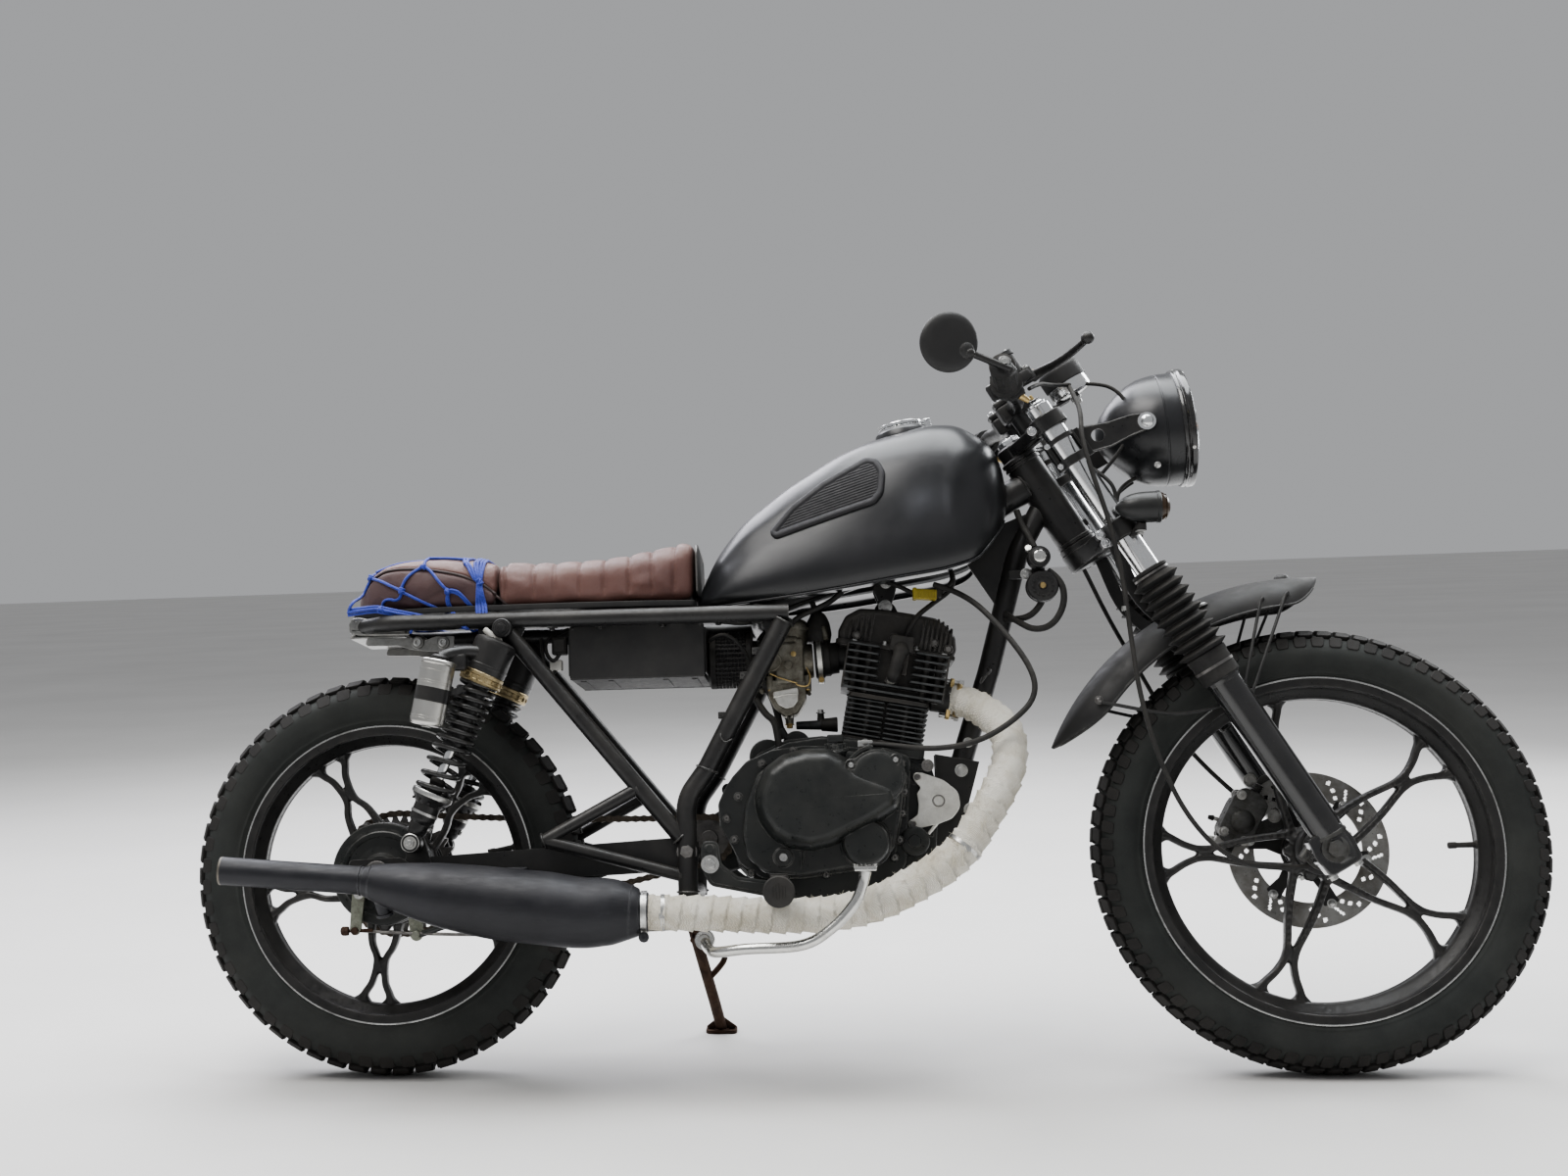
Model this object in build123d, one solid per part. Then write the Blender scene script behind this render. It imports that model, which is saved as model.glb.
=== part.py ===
from build123d import *
from math import sin, cos, tan, radians, degrees, pi, atan2, hypot
import os

# ------------------------------------------------------------------
# Cafe racer motorcycle, leaning to its left on its side stand.
# It is drawn upright in the machine frame: X forward, Y to the
# machine's left, Z up, origin under the rear axle at the tyre's foot.
# The last step leans everything over and sets it on the floor.
# ------------------------------------------------------------------

LEAN = 9.0            # lean to the left on the side stand, degrees
WHEELBASE = 1318.0
RAKE = 30.3           # steering axis from the vertical, degrees
FORK_OFFSET = 45.0    # fork legs ahead of the steering axis
FORK_HALF = 92.0      # fork legs from the middle plane
LEG_LEAD = 7.4        # leg centre line ahead of the axle

TYRE_F_R, TYRE_F_SEC, RIM_F_R, RIM_F_W = 307.3, 50.0, 239.5, 37.0
TYRE_R_R, TYRE_R_SEC, RIM_R_R, RIM_R_W = 293.0, 54.0, 218.6, 38.0
STANCHION_R, SLIDER_R, BOOT_R = 17.5, 23.5, 37.0
TUBE_R = 14.0         # frame side tubes
RAIL_Y = 112.0        # seat rails and side tubes from the middle
ARM_Y = 86.0          # swingarm legs from the middle
SHOCK_Y = 128.0
CHAIN_Y = 66.0
SEAT_Z0 = 674.0       # underside of the seat
SHIFT_X, SHIFT_Y = -666.15, -121.87   # to the middle of the bounding box

cL, sL = cos(radians(LEAN)), sin(radians(LEAN))
ZF = TYRE_F_R - TYRE_F_SEC + TYRE_F_SEC / cL
ZR = TYRE_R_R - TYRE_R_SEC + TYRE_R_SEC / cL
AXLE_F = (WHEELBASE, 0.0, ZF)
AXLE_R = (0.0, 0.0, ZR)

# steering axis: unit vectors along it (up) and across it (forward)
sa, ca = sin(radians(RAKE)), cos(radians(RAKE))
A = (-sa, 0.0, ca)
F = (ca, 0.0, sa)
LEG0 = (WHEELBASE + LEG_LEAD * ca, ZF + LEG_LEAD * sa)


def st(f, y, t):
    """Point f ahead of the steering axis, y left, t up along it."""
    b = FORK_OFFSET
    return (LEG0[0] + (f - b) * F[0] + t * A[0], y,
            LEG0[1] + (f - b) * F[2] + t * A[2])


def rod(p, q, r, r2=None):
    p, q = Vector(*p), Vector(*q)
    d = q - p
    pl = Plane(origin=p, z_dir=d)
    if r2 is None:
        return pl * extrude(Circle(r), d.length)
    return pl * Cone(r, r2, d.length,
                     align=(Align.CENTER, Align.CENTER, Align.MIN))


def pipe(pts, r, rads):
    """Tube of radius r through straight runs joined by tangent arcs."""
    path = FilletPolyline(*[Vector(*p) for p in pts], radius=rads)
    return sweep(Plane(origin=path @ 0, z_dir=path % 0) * Circle(r), path=path)


def bend(pts, k=0.45):
    """Largest tangent-arc radius at each inner point of a route."""
    v = [Vector(*p) for p in pts]
    out = []
    for a, b, c in zip(v, v[1:], v[2:]):
        turn = (b - a).get_angle(c - b)
        out.append(k * min((b - a).length, (c - b).length)
                   / tan(radians(turn) / 2))
    return out


def cord(name, pts, r):
    rads = bend(pts)
    s = pipe(pts, r, rads)
    print(name, "length", round(s.volume / (pi * r * r)), "radii",
          [round(x) for x in rads])
    return s


def box(x, y, z, dx, dy, dz):
    return Pos(x, y, z) * Box(dx, dy, dz)


def disc(p, axis, r, h, r_in=0.0):
    """Cylinder or ring centred on p, along axis."""
    pl = Plane(origin=Vector(*p), z_dir=Vector(*axis))
    s = Circle(r) - Circle(r_in) if r_in else Circle(r)
    return pl * Pos(0, 0, -h / 2) * extrude(s, h)


def slab(pts, y0, y1):
    """Outline in the XZ plane, from y0 to y1."""
    f = make_face(Polyline(*[(x, z) for x, z in pts], close=True))
    pl = Plane(origin=(0, y0, 0), x_dir=(1, 0, 0), z_dir=(0, -1, 0))
    return pl * extrude(f, -(y1 - y0))


def spun(pts, axis_pt, axis_dir, x_dir):
    """Outline (radius, distance along the axis) spun round the axis."""
    f = make_face(Polyline(*pts, close=True))
    s = revolve(f, Axis.Y, 360)
    z = Vector(*x_dir).cross(Vector(*axis_dir))
    return Plane(origin=Vector(*axis_pt), x_dir=Vector(*x_dir), z_dir=z) * s


def both(fn):
    return fn(-1) + fn(1)


N = {}                # node name -> shape in the machine frame

# ---------------------------------------------------------------- wheels


def tyre(R, sec, rim_r, rim_w, axle):
    rc = R - sec
    a = radians(65)
    e = (rc + sec * cos(a), sec * sin(a))
    w = rim_w - 5.5
    prof = [Polyline((e[0], -e[1]), (rim_r + 1.5, -w), (rim_r - 10, -w),
                     (rim_r - 10, w), (rim_r + 1.5, w), (e[0], e[1])),
            ThreePointArc((e[0], e[1]), (R, 0), (e[0], -e[1]))]
    return Pos(*axle) * revolve(make_face(prof), Axis.Y, 360)


def cast_wheel(rim_r, rim_w, inner, hub_r, hub_y0, hub_y1, bore, turn0, axle):
    w = rim_w
    rim = revolve(make_face(Polyline(
        (rim_r, w), (rim_r, w - 4), (rim_r - 10.5, w - 5), (rim_r - 10.5, -w + 5),
        (rim_r, -w + 4), (rim_r, -w), (rim_r - 14, -w), (inner, -14),
        (inner, 14), (rim_r - 14, w), close=True)), Axis.Y, 360)
    hub = Pos(0, (hub_y0 + hub_y1) / 2, 0) * Rot(90, 0, 0) * Cylinder(
        hub_r, hub_y1 - hub_y0)
    s = rim + hub
    fork_r = inner * 0.70          # where a spoke divides
    for i in range(5):
        # twin bars out of the hub, then a V to the rim
        sp = (rod((hub_r - 6, 0, 12), (fork_r, 0, 3), 6.5)
              + rod((hub_r - 6, 0, -12), (fork_r, 0, -3), 6.5)
              + rod((fork_r - 4, 0, 2), (inner + 3, 0, 30), 7)
              + rod((fork_r - 4, 0, -2), (inner + 3, 0, -30), 7))
        s += Rot(0, -(turn0 + 72 * i), 0) * sp
    s -= Pos(0, (hub_y0 + hub_y1) / 2, 0) * Rot(90, 0, 0) * Cylinder(
        bore, hub_y1 - hub_y0 + 2)
    return Pos(*axle) * s


N["front_tyre"] = tyre(TYRE_F_R, TYRE_F_SEC, RIM_F_R, RIM_F_W, AXLE_F)
N["rear_tyre"] = tyre(TYRE_R_R, TYRE_R_SEC, RIM_R_R, RIM_R_W, AXLE_R)
N["front_wheel_casting"] = cast_wheel(RIM_F_R, RIM_F_W, 210, 34, -44, 51,
                                      8.0, 37, AXLE_F)
N["rear_wheel_casting"] = cast_wheel(RIM_R_R, RIM_R_W, 190, 74, -50, 40,
                                     9.0, 47, AXLE_R)
DISC_Y, DISC_T, DISC_R = 54.0, 4.5, 110.0
brake = disc((AXLE_F[0], DISC_Y, ZF), (0, 1, 0), DISC_R, DISC_T, 20)
for i in range(6):                 # windows between rotor and carrier
    a = radians(60 * i + 20)
    brake -= disc((AXLE_F[0] + 58 * cos(a), DISC_Y, ZF + 58 * sin(a)),
                  (0, 1, 0), 17, DISC_T + 2)
N["front_brake_disc"] = brake
sprocket = disc((0, CHAIN_Y, ZR), (0, 1, 0), 80, 6, 12)
for i in range(5):
    a = radians(72 * i)
    sprocket -= disc((52 * cos(a), CHAIN_Y, ZR + 52 * sin(a)), (0, 1, 0), 14, 8)
sprocket += disc((0, 52.5, ZR), (0, 1, 0), 30, 25, 12)
N["rear_sprocket"] = sprocket

# ---------------------------------------------------------------- frame
HEAD_T0, HEAD_T1 = 537.0, 680.0    # head tube along the steering axis
head = rod(st(0, 0, HEAD_T0), st(0, 0, HEAD_T1), 26)
down_pts = [st(-6, 0, 612), (930, 0, 740), (882, 0, 570), (826, 0, 405)]
down = pipe(down_pts, 15.5, [150, 300])
back_pts = [st(0, 0, 645), (800, 0, 752), (560, 0, 676)]
back = pipe(back_pts, 22, [200])
cross_top = rod((556, -RAIL_Y, 652), (556, RAIL_Y, 652), 14)
mid_post = rod((556, 0, 654), (556, 0, 690), 14)
gusset = slab([(840, 757), (950, 800), (932, 752), (905, 650)], -3, 3)
plates = both(lambda s: slab(
    [(800, 452), (862, 440), (842, 372), (782, 262), (756, 275), (800, 400)],
    s * 15 - 3, s * 15 + 3))
N["main_frame"] = (head + down + back + cross_top + mid_post + gusset + plates
                   - rod(st(0, 0, 500), st(0, 0, 720), 15))

rails = pipe([(600, -RAIL_Y, 652), (20, -RAIL_Y, 655), (-38, -60, 655),
              (-38, 60, 655), (20, RAIL_Y, 655), (600, RAIL_Y, 652)],
             12, [60, 40, 40, 60])
for x in (175, 455):
    rails += rod((x, -RAIL_Y, 654), (x, RAIL_Y, 654), 9)
SEAT_RAILS = rails


def side_tubes(s):
    y = s * RAIL_Y
    t = pipe([(592, y, 640), (479, y, 433), (448, y, 392), (448, y, 255)],
             TUBE_R, [80, 60])
    t += rod((192, y, 643), (440, y, 338), TUBE_R - 2)
    t += rod((380, y, 408), (246, y * 1.12, 336), 9)
    t += rod((246, y * 1.12, 336), (440, y, 285), 9)
    return t


cross_low = rod((448, -RAIL_Y, 262), (448, RAIL_Y, 262), 13)
pivot = rod((448, -RAIL_Y, 318), (448, RAIL_Y, 318), 11)
N["side_tubes"] = side_tubes(-1) + side_tubes(1) + cross_low + pivot
N["seat_rails"] = SEAT_RAILS - N["side_tubes"] - N["main_frame"]

# engine -----------------------------------------------------------
case_pts = [(520, 300), (560, 252), (740, 240), (792, 300), (800, 400),
            (760, 452), (640, 470), (556, 455), (516, 400)]
crank = slab(case_pts, -82, 92)
crank += disc((690, 100, 350), (0, 1, 0), 78, 46)            # generator cover
crank += slab([(468, 300), (490, 286), (540, 300), (560, 400), (500, 390),
               (468, 372)], 88, 110)                        # sprocket cover
crank += rod((462, 0, 318), (530, 0, 330), 18)
CYL_X, CYL_Z, CYL_TILT = 728.0, 468.0, 11.0       # foot of the barrel


def cyl(u, w, y=0.0):
    """u forward along the fins, w up along the barrel."""
    c, s = cos(radians(CYL_TILT)), sin(radians(CYL_TILT))
    return (CYL_X + u * c + w * s, y, CYL_Z - u * s + w * c)


deck = [cyl(u, w) for u, w in ((-74, -16), (-74, 0), (60, 0), (60, -18))]
crank += slab([(p[0], p[2]) for p in deck], -62, 62)
N["crankcase"] = crank - N["side_tubes"]
N["main_frame"] -= N["crankcase"]
cover = slab([(516, 330), (545, 286), (700, 262), (742, 300), (750, 400),
              (720, 452), (640, 466), (570, 452), (524, 410)], -118, -82.3)
cover += disc((622, -130, 380), (0, 1, 0), 74, 44)
cover += disc((716, -128, 416), (0, 1, 0), 38, 30)
cover += disc((700, -124, 322), (0, 1, 0), 36, 22)
cover += rod((660, -104, 450), (664, -108, 476), 14)
N["clutch_cover"] = cover

cyl_pl = Pos(CYL_X, 0, CYL_Z) * Rot(0, CYL_TILT, 0)
fins = Pos(-3.5, 0, 30) * Box(117, 118, 60)
for i in range(7):
    fins -= Pos(-3.5, 0, 6 + 7.6 * i) * (Box(170, 170, 3.6) - Box(97, 96, 3.6))
N["cylinder"] = cyl_pl * fins
hd = Pos(0, 0, 94.5) * Box(148, 132, 69)
for i in range(6):
    hd -= Pos(0, 0, 68.7 + 10.7 * i) * (Box(190, 190, 6.5) - Box(118, 104, 6.5))
hd = cyl_pl * hd
top = [cyl(u, w) for u, w in ((-88, 129), (-90, 160), (-82, 178), (0, 188),
                              (45, 189), (62, 183), (80, 160), (76, 129))]
hd += slab([(p[0], p[2]) for p in top], -52, 52)
hd += rod(cyl(66, 79, -25), cyl(90, 79, -25), 22)            # exhaust port
hd += rod((658.2, -10, 598), (690, -10, 598), 20)            # inlet port
N["cylinder_head"] = hd

carb = box(600, -12, 585, 56, 62, 92)
carb += disc((600, -12, 636), (0, 0, 1), 26, 36)
carb += disc((598, -12, 530), (0, 0, 1), 22, 40)
carb += disc((638, -10, 598), (1, 0, 0), 21, 40)
carb += disc((562, -12, 596), (1, 0, 0), 24, 26)
N["carburettor"] = carb
N["air_filter"] = disc((513, -12, 596), (1, 0, 0), 42, 63) + disc(
    (546.6, -12, 596), (1, 0, 0), 27, 4)

# exhaust ----------------------------------------------------------
EX_R = 23.0
ex_pts = [(824, -22, 530), (853.6, -45, 522), (898, -105.5, 479.3),
          (891.7, -136.4, 421.9), (854.3, -153.6, 359), (815, -160.3, 299.2),
          (673.1, -157.7, 224.3), (486.2, -159.2, 233.6), (385.5, -165, 235)]
N["exhaust_header"] = pipe(ex_pts, EX_R, bend(ex_pts)) - N["cylinder_head"]
MUF = [(384, -166, 236, 33), (352, -167, 237, 44), (300, -169, 236, 49),
       (200, -171, 242, 52.5), (100, -172, 255, 46), (10, -172, 280, 29),
       (-4, -172, 284, 22.5)]            # x, y, z, radius
muf = loft([Plane(origin=(x, y, z), x_dir=(0, 1, 0), z_dir=(-1, 0, 0))
            * Circle(r) for x, y, z, r in MUF], ruled=True)
N["muffler"] = muf
# the outlet: a short solid stub, then an open tube rolled from four strips
OUT_A, OUT_B = (-60, -172, 288.709), (-212, -172, 301)
tube_pl = Plane(origin=OUT_A, z_dir=Vector(*OUT_B) - Vector(*OUT_A))
stub = (rod((-3, -172, 284.1), OUT_A, 20) - box(20, -172, 284, 48, 80, 80))
tube = rod(OUT_A, OUT_B, 20) - rod(OUT_A, OUT_B, 17.5)
strips = [tube & (tube_pl * Pos(25 * i, 25 * j, 80) * Box(50, 50, 200))
          for i in (-1, 1) for j in (-1, 1)]
N["tail_pipe"] = Compound([stub.solids()[0]] + [s.solids()[0] for s in strips])
N["exhaust_header"] -= N["muffler"]

# tank -------------------------------------------------------------
# x, bottom z, top z, half width at the shoulder, half width at the foot
TANK = [(471, 668, 690, 52, 66), (520, 670, 778, 76, 96),
        (600, 675, 846, 98, 118), (680, 684, 893, 112, 130),
        (760, 694, 922, 118, 134), (830, 706, 931, 112, 128),
        (880, 722, 911, 92, 104), (912, 762, 858, 56, 66)]


def tank_body(g=0.0):
    secs = []
    for x, z0, z1, wt, wb in TANK:
        h = z1 - z0
        m = z0 + 0.42 * h
        k = 0.62
        pts = [(-(wb - 10) - g, z0 - g), (-wb - g, z0 + 0.18 * h),
               (-wt - g, m + 0.16 * h), (-wt * k - g, z1 - 0.08 * h + g),
               (0, z1 + g),
               (wt * k + g, z1 - 0.08 * h + g), (wt + g, m + 0.16 * h),
               (wb + g, z0 + 0.18 * h), (wb - 10 + g, z0 - g)]
        f = make_face(Polyline(*pts, close=True))
        secs.append(Plane(origin=(x, 0, 0), x_dir=(0, 1, 0),
                          z_dir=(1, 0, 0)) * f)
    return loft(secs, ruled=True)


tank = tank_body()
tank -= rod(st(0, 0, 600), st(0, 0, 800), 38)        # nose hollow at the head
tunnel = pipe([st(0, 0, 645), (800, 0, 752), (560, 0, 676), (430, 0, 640)],
              25, [200, 200]) + pipe([(x, y, z - 20) for x, y, z in [
                  st(0, 0, 645), (800, 0, 752), (560, 0, 676), (430, 0, 640)]],
                  25, [200, 200])
tank -= tunnel
CAP_X, CAP_TILT = 772.0, 9.0
cap_pl = Pos(CAP_X, 0, 928.5) * Rot(0, -CAP_TILT, 0)
tank += cap_pl * Pos(0, 0, -2) * (Cylinder(34, 14) - Pos(0, 0, 6) * Cylinder(26, 8))
tank += cap_pl * (Pos(38, 0, 3) * Box(10, 20, 12))
tank -= cap_pl * (Pos(38, 0, 8.5) * Rot(90, 0, 0) * Cylinder(5.5, 10.6))
tank -= cap_pl * (Pos(36, 0, 9.2) * Box(13, 10.8, 8))
tank += cap_pl * (Pos(38, 0, 8.5) * Rot(90, 0, 0) * Cylinder(2, 14))
N["fuel_tank"] = tank - N["main_frame"]
lid = Pos(0, 0, 8.5) * Cylinder(32, 6) + Pos(29, 0, 8.5) * Box(18, 10, 6) \
    + Pos(38, 0, 8.5) * Rot(90, 0, 0) * Cylinder(4.6, 10)
lid -= Pos(38, 0, 8.5) * Rot(90, 0, 0) * Cylinder(2.4, 12)
N["fuel_cap"] = cap_pl * lid

PAD = [(579, 768), (676, 786), (735, 810), (743, 828), (742, 858), (730, 870),
       (697, 867), (640, 830), (600, 800)]
grown = tank_body(5.0) - tank_body(0.0)
N["knee_pads"] = both(lambda s: grown & slab(PAD, min(s * 40, s * 200),
                                             max(s * 40, s * 200)))

# seat -------------------------------------------------------------
# x, bottom z, top z, half width
SEAT = [(468.5, 676, 766, 92), (440, 674, 761, 100), (360, 673, 746, 112),
        (260, 672, 741, 118), (181, 672, 746, 118)]
HUMP = [(180.4, 672, 746, 118), (82, 670, 758, 112), (15, 670, 752, 96),
        (-24, 674, 732, 76), (-46, 678, 704, 52)]


def pad_loft(rows, r):
    secs = []
    for x, z0, z1, w in rows:
        h = z1 - z0
        f = Pos(0, (z0 + z1) / 2) * RectangleRounded(2 * w, h, min(r, h * 0.42))
        secs.append(Plane(origin=(x, 0, 0), x_dir=(0, 1, 0),
                          z_dir=(1, 0, 0)) * f)
    return loft(secs, ruled=True)


N["seat"] = pad_loft(SEAT, 24)
N["seat_hump"] = pad_loft(HUMP, 26)

TRAY = [(40, 642), (110, 616), (112, 606), (30, 626), (-46, 632), (-46, 642)]
N["tail_bracket"] = box(-3, 0, 640, 86, 150, 4.6) + slab(
    TRAY, -76, -71) + slab(TRAY, 71, 76)
N["battery_box"] = box(381, 0, 606, 196, 180, 78)

# rear suspension --------------------------------------------------


def arm(s):
    y = s * ARM_Y
    a = slab([(-38, ZR - 18), (-38, ZR + 18), (60, ZR + 22), (430, 338),
              (462, 332), (462, 302), (430, 292), (60, ZR - 20)],
             y - 11, y + 11)
    a -= disc((448, y, 318), (0, 1, 0), 11.3, 40)
    a += rod((57, y + s * 8, 336), (57, s * (SHOCK_Y + 13), 336), 7)
    a += slab([(40, 305), (46, 345), (68, 345), (80, 305)],
              min(y + s * 2, y + s * 12), max(y + s * 2, y + s * 12))
    return a


swing = arm(-1) + arm(1) + rod((384, -ARM_Y, 320), (384, ARM_Y, 320), 14)
axle = rod((0, -ARM_Y - 30, ZR), (0, ARM_Y + 30, ZR), 7.5)
axle += disc((0, -ARM_Y - 24, ZR), (0, 1, 0), 13, 12)
axle += disc((0, ARM_Y + 24, ZR), (0, 1, 0), 13, 12)
N["swingarm"] = swing + axle
bp = disc((0, -61, ZR), (0, 1, 0), 74, 12, 7.8)
bp += disc((0, -70, ZR), (0, 1, 0), 26, 7, 7.8)
bp += slab([(-38, 276), (-22, 276), (-32, 206), (-44, 206)], -73, -66.5)
bp += slab([(46, 250), (62, 250), (62, 196), (46, 196)], -72, -66.5)
N["rear_brake_plate"] = bp

SH_LO, SH_HI = (57, 336), (192, 640)      # x, z of the two eyes
sdx, sdz = SH_HI[0] - SH_LO[0], SH_HI[1] - SH_LO[1]
SH_L = hypot(sdx, sdz)
SH_D = (sdx / SH_L, 0, sdz / SH_L)


def on_shock(y, t):
    return (SH_LO[0] + SH_D[0] * t, y, SH_LO[1] + SH_D[2] * t)


def shock(s):
    y = s * SHOCK_Y
    b = disc(on_shock(y, 0), (0, 1, 0), 15, 22, 7.3)
    b += rod(on_shock(y, 13), on_shock(y, 120), 9)
    b += rod(on_shock(y, 44), on_shock(y, 62), 30)           # spring seat
    b += rod(on_shock(y, 118), on_shock(y, 248), 15)
    b += rod(on_shock(y, 246), on_shock(y, 312), 31)         # top shroud
    b += disc(on_shock(y, SH_L), (0, 1, 0), 14, 22)
    b += rod((SH_HI[0], y, SH_HI[1]), (SH_HI[0], s * (RAIL_Y - 2), SH_HI[1]), 7)
    p, q = (98, s * 176, 594), (98, s * 176, 497)
    b += rod(q, p, 25)
    b += rod((110, s * 172, 588), (156, s * 134, 580), 9)
    return b


shocks = shock(-1) + shock(1)
N["shock_absorbers"] = shocks - N["seat_rails"] - N["side_tubes"]
spring = Part()
for s in (-1, 1):
    for i in range(9):
        t = 68 + i * 20.5
        p = on_shock(s * SHOCK_Y, t)
        spring += disc(p, SH_D, 28, 9, 21)
        if i < 8:
            q = on_shock(s * SHOCK_Y, t + 10.2)
            spring += disc(q, SH_D, 25, 13, 22)
N["shock_springs"] = spring

# chain ------------------------------------------------------------
FS, RS = (470.0, 338.0, 34.0), (0.0, ZR, 92.0)     # x, z, radius
d = hypot(FS[0] - RS[0], FS[1] - RS[1])
th = atan2(FS[1] - RS[1], FS[0] - RS[0])


def loop(extra):
    r1, r2 = RS[2] + extra, FS[2] + extra
    be = pi / 2 - (r1 - r2) / d
    u1, u2 = th + be, th - be
    pt = lambda c, r, a: (c[0] + r * cos(a), c[1] + r * sin(a))
    prof = [Line(pt(RS, r1, u1), pt(FS, r2, u1)),
            ThreePointArc(pt(FS, r2, u1), pt(FS, r2, th), pt(FS, r2, u2)),
            Line(pt(FS, r2, u2), pt(RS, r1, u2)),
            ThreePointArc(pt(RS, r1, u2), pt(RS, r1, th + pi),
                          pt(RS, r1, u1))]
    return make_face(prof)


pl = Plane(origin=(0, CHAIN_Y - 6.5, 0), x_dir=(1, 0, 0), z_dir=(0, -1, 0))
N["chain"] = pl * extrude(loop(5.5) - loop(-5.5), -13) - N["swingarm"]

# footrests and levers ---------------------------------------------


def peg(s):
    y = s * 128
    b = slab([(470, 330), (492, 330), (496, 292), (566, 276), (588, 268),
              (588, 252), (500, 268), (470, 270)],
             min(y, y + s * 9), max(y, y + s * 9))
    b += rod((577, s * 130, 262), (577, s * 186, 262), 8)
    b += rod((577, s * 184, 256), (577, s * 250, 256), 18)
    b += rod((481, s * 108, 300), (481, s * 140, 300), 8)
    return b


N["footpegs"] = (peg(-1) + peg(1) - N["side_tubes"] - N["crankcase"]
                 - N["exhaust_header"])
pedal = pipe([(470, -128, 194), (480, -178, 180), (530, -202, 186),
              (604, -204, 190), (645, -205, 214), (684, -206, 252),
              (692, -206, 292)], 7.5, [24, 24, 40, 40, 30])
pedal += box(692, -212, 294, 30, 40, 12)
pedal += rod((470, -100, 198), (470, -134, 194), 9)
pedal += rod((470, -104, 190), (455, -104, 255), 7)
shift = pipe([(480, 146, 236), (530, 170, 222), (620, 176, 222),
              (690, 182, 262)], 6.5, [40, 80])
shift += rod((690, 170, 262), (690, 222, 262), 9)
shift += rod((484, 90, 236), (484, 150, 236), 8)
N["foot_levers"] = pedal + shift - N["side_tubes"]

# lock, horn and the clutch cable under the tank --------------------
N["ignition_lock"] = (disc((954, -60, 725), (0, 1, 0), 15, 34)
                      + disc((957, -52, 684), (0, 1, 0), 22, 40)
                      + box(955, -36, 705, 22, 12, 66)
                      + box(940, -24, 705, 40, 14, 14)) - N["main_frame"]
N["clutch_cable"] = cord("clutch_cable", [
    (806, -66, 691), (846, -84, 676), (892, -118, 622), (930, -143, 560),
    (933, -147, 520), (900, -151, 487), (850, -149, 459), (790, -134, 452),
    (729, -124, 461), (700, -123, 463)], 4.0)

# ---------------------------------------------------------------- steering
UP_T, LO_T = (686.0, 708.0), (502.0, 530.0)       # yokes along the axis


def yoke(t0, t1, r_stem, r_leg):
    pl = Plane(origin=Vector(*st(0, 0, t0)), x_dir=Vector(*F),
               z_dir=Vector(*A))
    s = Circle(r_stem)
    for k in (-1, 1):
        s += Pos(FORK_OFFSET, k * FORK_HALF) * Circle(r_leg)
        s += make_face(Polyline(
            (-r_stem * 0.4, k * r_stem * 0.9), (FORK_OFFSET - r_leg + 4, k * 92),
            (FORK_OFFSET + r_leg - 6, k * 80), (FORK_OFFSET - 8, 0),
            (0, 0), close=True))
    return pl * extrude(s, t1 - t0)


def legs(t0, t1, r, grow=0.0):
    return both(lambda s: rod(st(FORK_OFFSET, s * FORK_HALF, t0),
                              st(FORK_OFFSET, s * FORK_HALF, t1), r + grow))


yokes = yoke(*UP_T, 24, 26) + yoke(*LO_T, 30, 28)
yokes += rod(st(0, 0, LO_T[0]), st(0, 0, UP_T[1] + 8), 12)
yokes += both(lambda s: rod(st(25, s * 42, UP_T[0] + 4),
                            st(25, s * 42, 758), 15))     # handlebar risers
yokes -= legs(480, 760, STANCHION_R)
bar_mid, bar_knee, bar_end = (25, 62, 745), (12, 150, 756), (-14, 345, 759)
bar_pts = [st(f, -y, t) for f, y, t in (bar_end, bar_knee, bar_mid)] + \
          [st(f, y, t) for f, y, t in (bar_mid, bar_knee, bar_end)]
bar = pipe(bar_pts, 11, [120, 120, 120, 120])
N["handlebar"] = bar
yokes -= pipe(bar_pts, 11, [120, 120, 120, 120])
N["fork_yokes"] = yokes
N["fork_stanchions"] = legs(232, 724, STANCHION_R)
boots = Part()
for s in (-1, 1):
    boots += rod(st(FORK_OFFSET, s * FORK_HALF, 270),
                 st(FORK_OFFSET, s * FORK_HALF, 440), 30)
    for i in range(9):
        t = 274 + 18.6 * i
        boots += rod(st(FORK_OFFSET, s * FORK_HALF, t),
                     st(FORK_OFFSET, s * FORK_HALF, t + 10), BOOT_R)
N["fork_boots"] = boots - legs(200, 724, STANCHION_R)
sliders = legs(-22, 269.5, SLIDER_R) - legs(231.5, 300, STANCHION_R)
sliders += rod((WHEELBASE, -118, ZF), (WHEELBASE, 118, ZF), 7.5)
sliders += both(lambda s: disc((WHEELBASE, s * 114, ZF), (0, 1, 0), 13, 10))
sliders += both(lambda s: disc((WHEELBASE, s * 92, ZF), (0, 1, 0), 30, 42))
sliders += disc((WHEELBASE, -56, ZF), (0, 1, 0), 30, 14)     # speedometer drive
N["fork_sliders"] = sliders


def grip_span(s, d0, d1, r):
    a, b = Vector(*st(bar_knee[0], s * bar_knee[1], bar_knee[2])), \
        Vector(*st(bar_end[0], s * bar_end[1], bar_end[2]))
    u = (b - a).normalized()
    p, q = a + u * d0, a + u * d1
    return rod((p.X, p.Y, p.Z), (q.X, q.Y, q.Z), r)


bar_cut = pipe([st(f, y, t) for f, y, t in (
    (-18, -375, 759.3), (12, -150, 756), (25, -62, 745), (25, 62, 745),
    (12, 150, 756), (-18, 375, 759.3))], 11, [120, 120, 120, 120])
bar_hole = both(lambda s: grip_span(s, -20, 230, 11.0))
N["grips"] = both(lambda s: grip_span(s, 78, 202, 17)) - bar_hole


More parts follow.
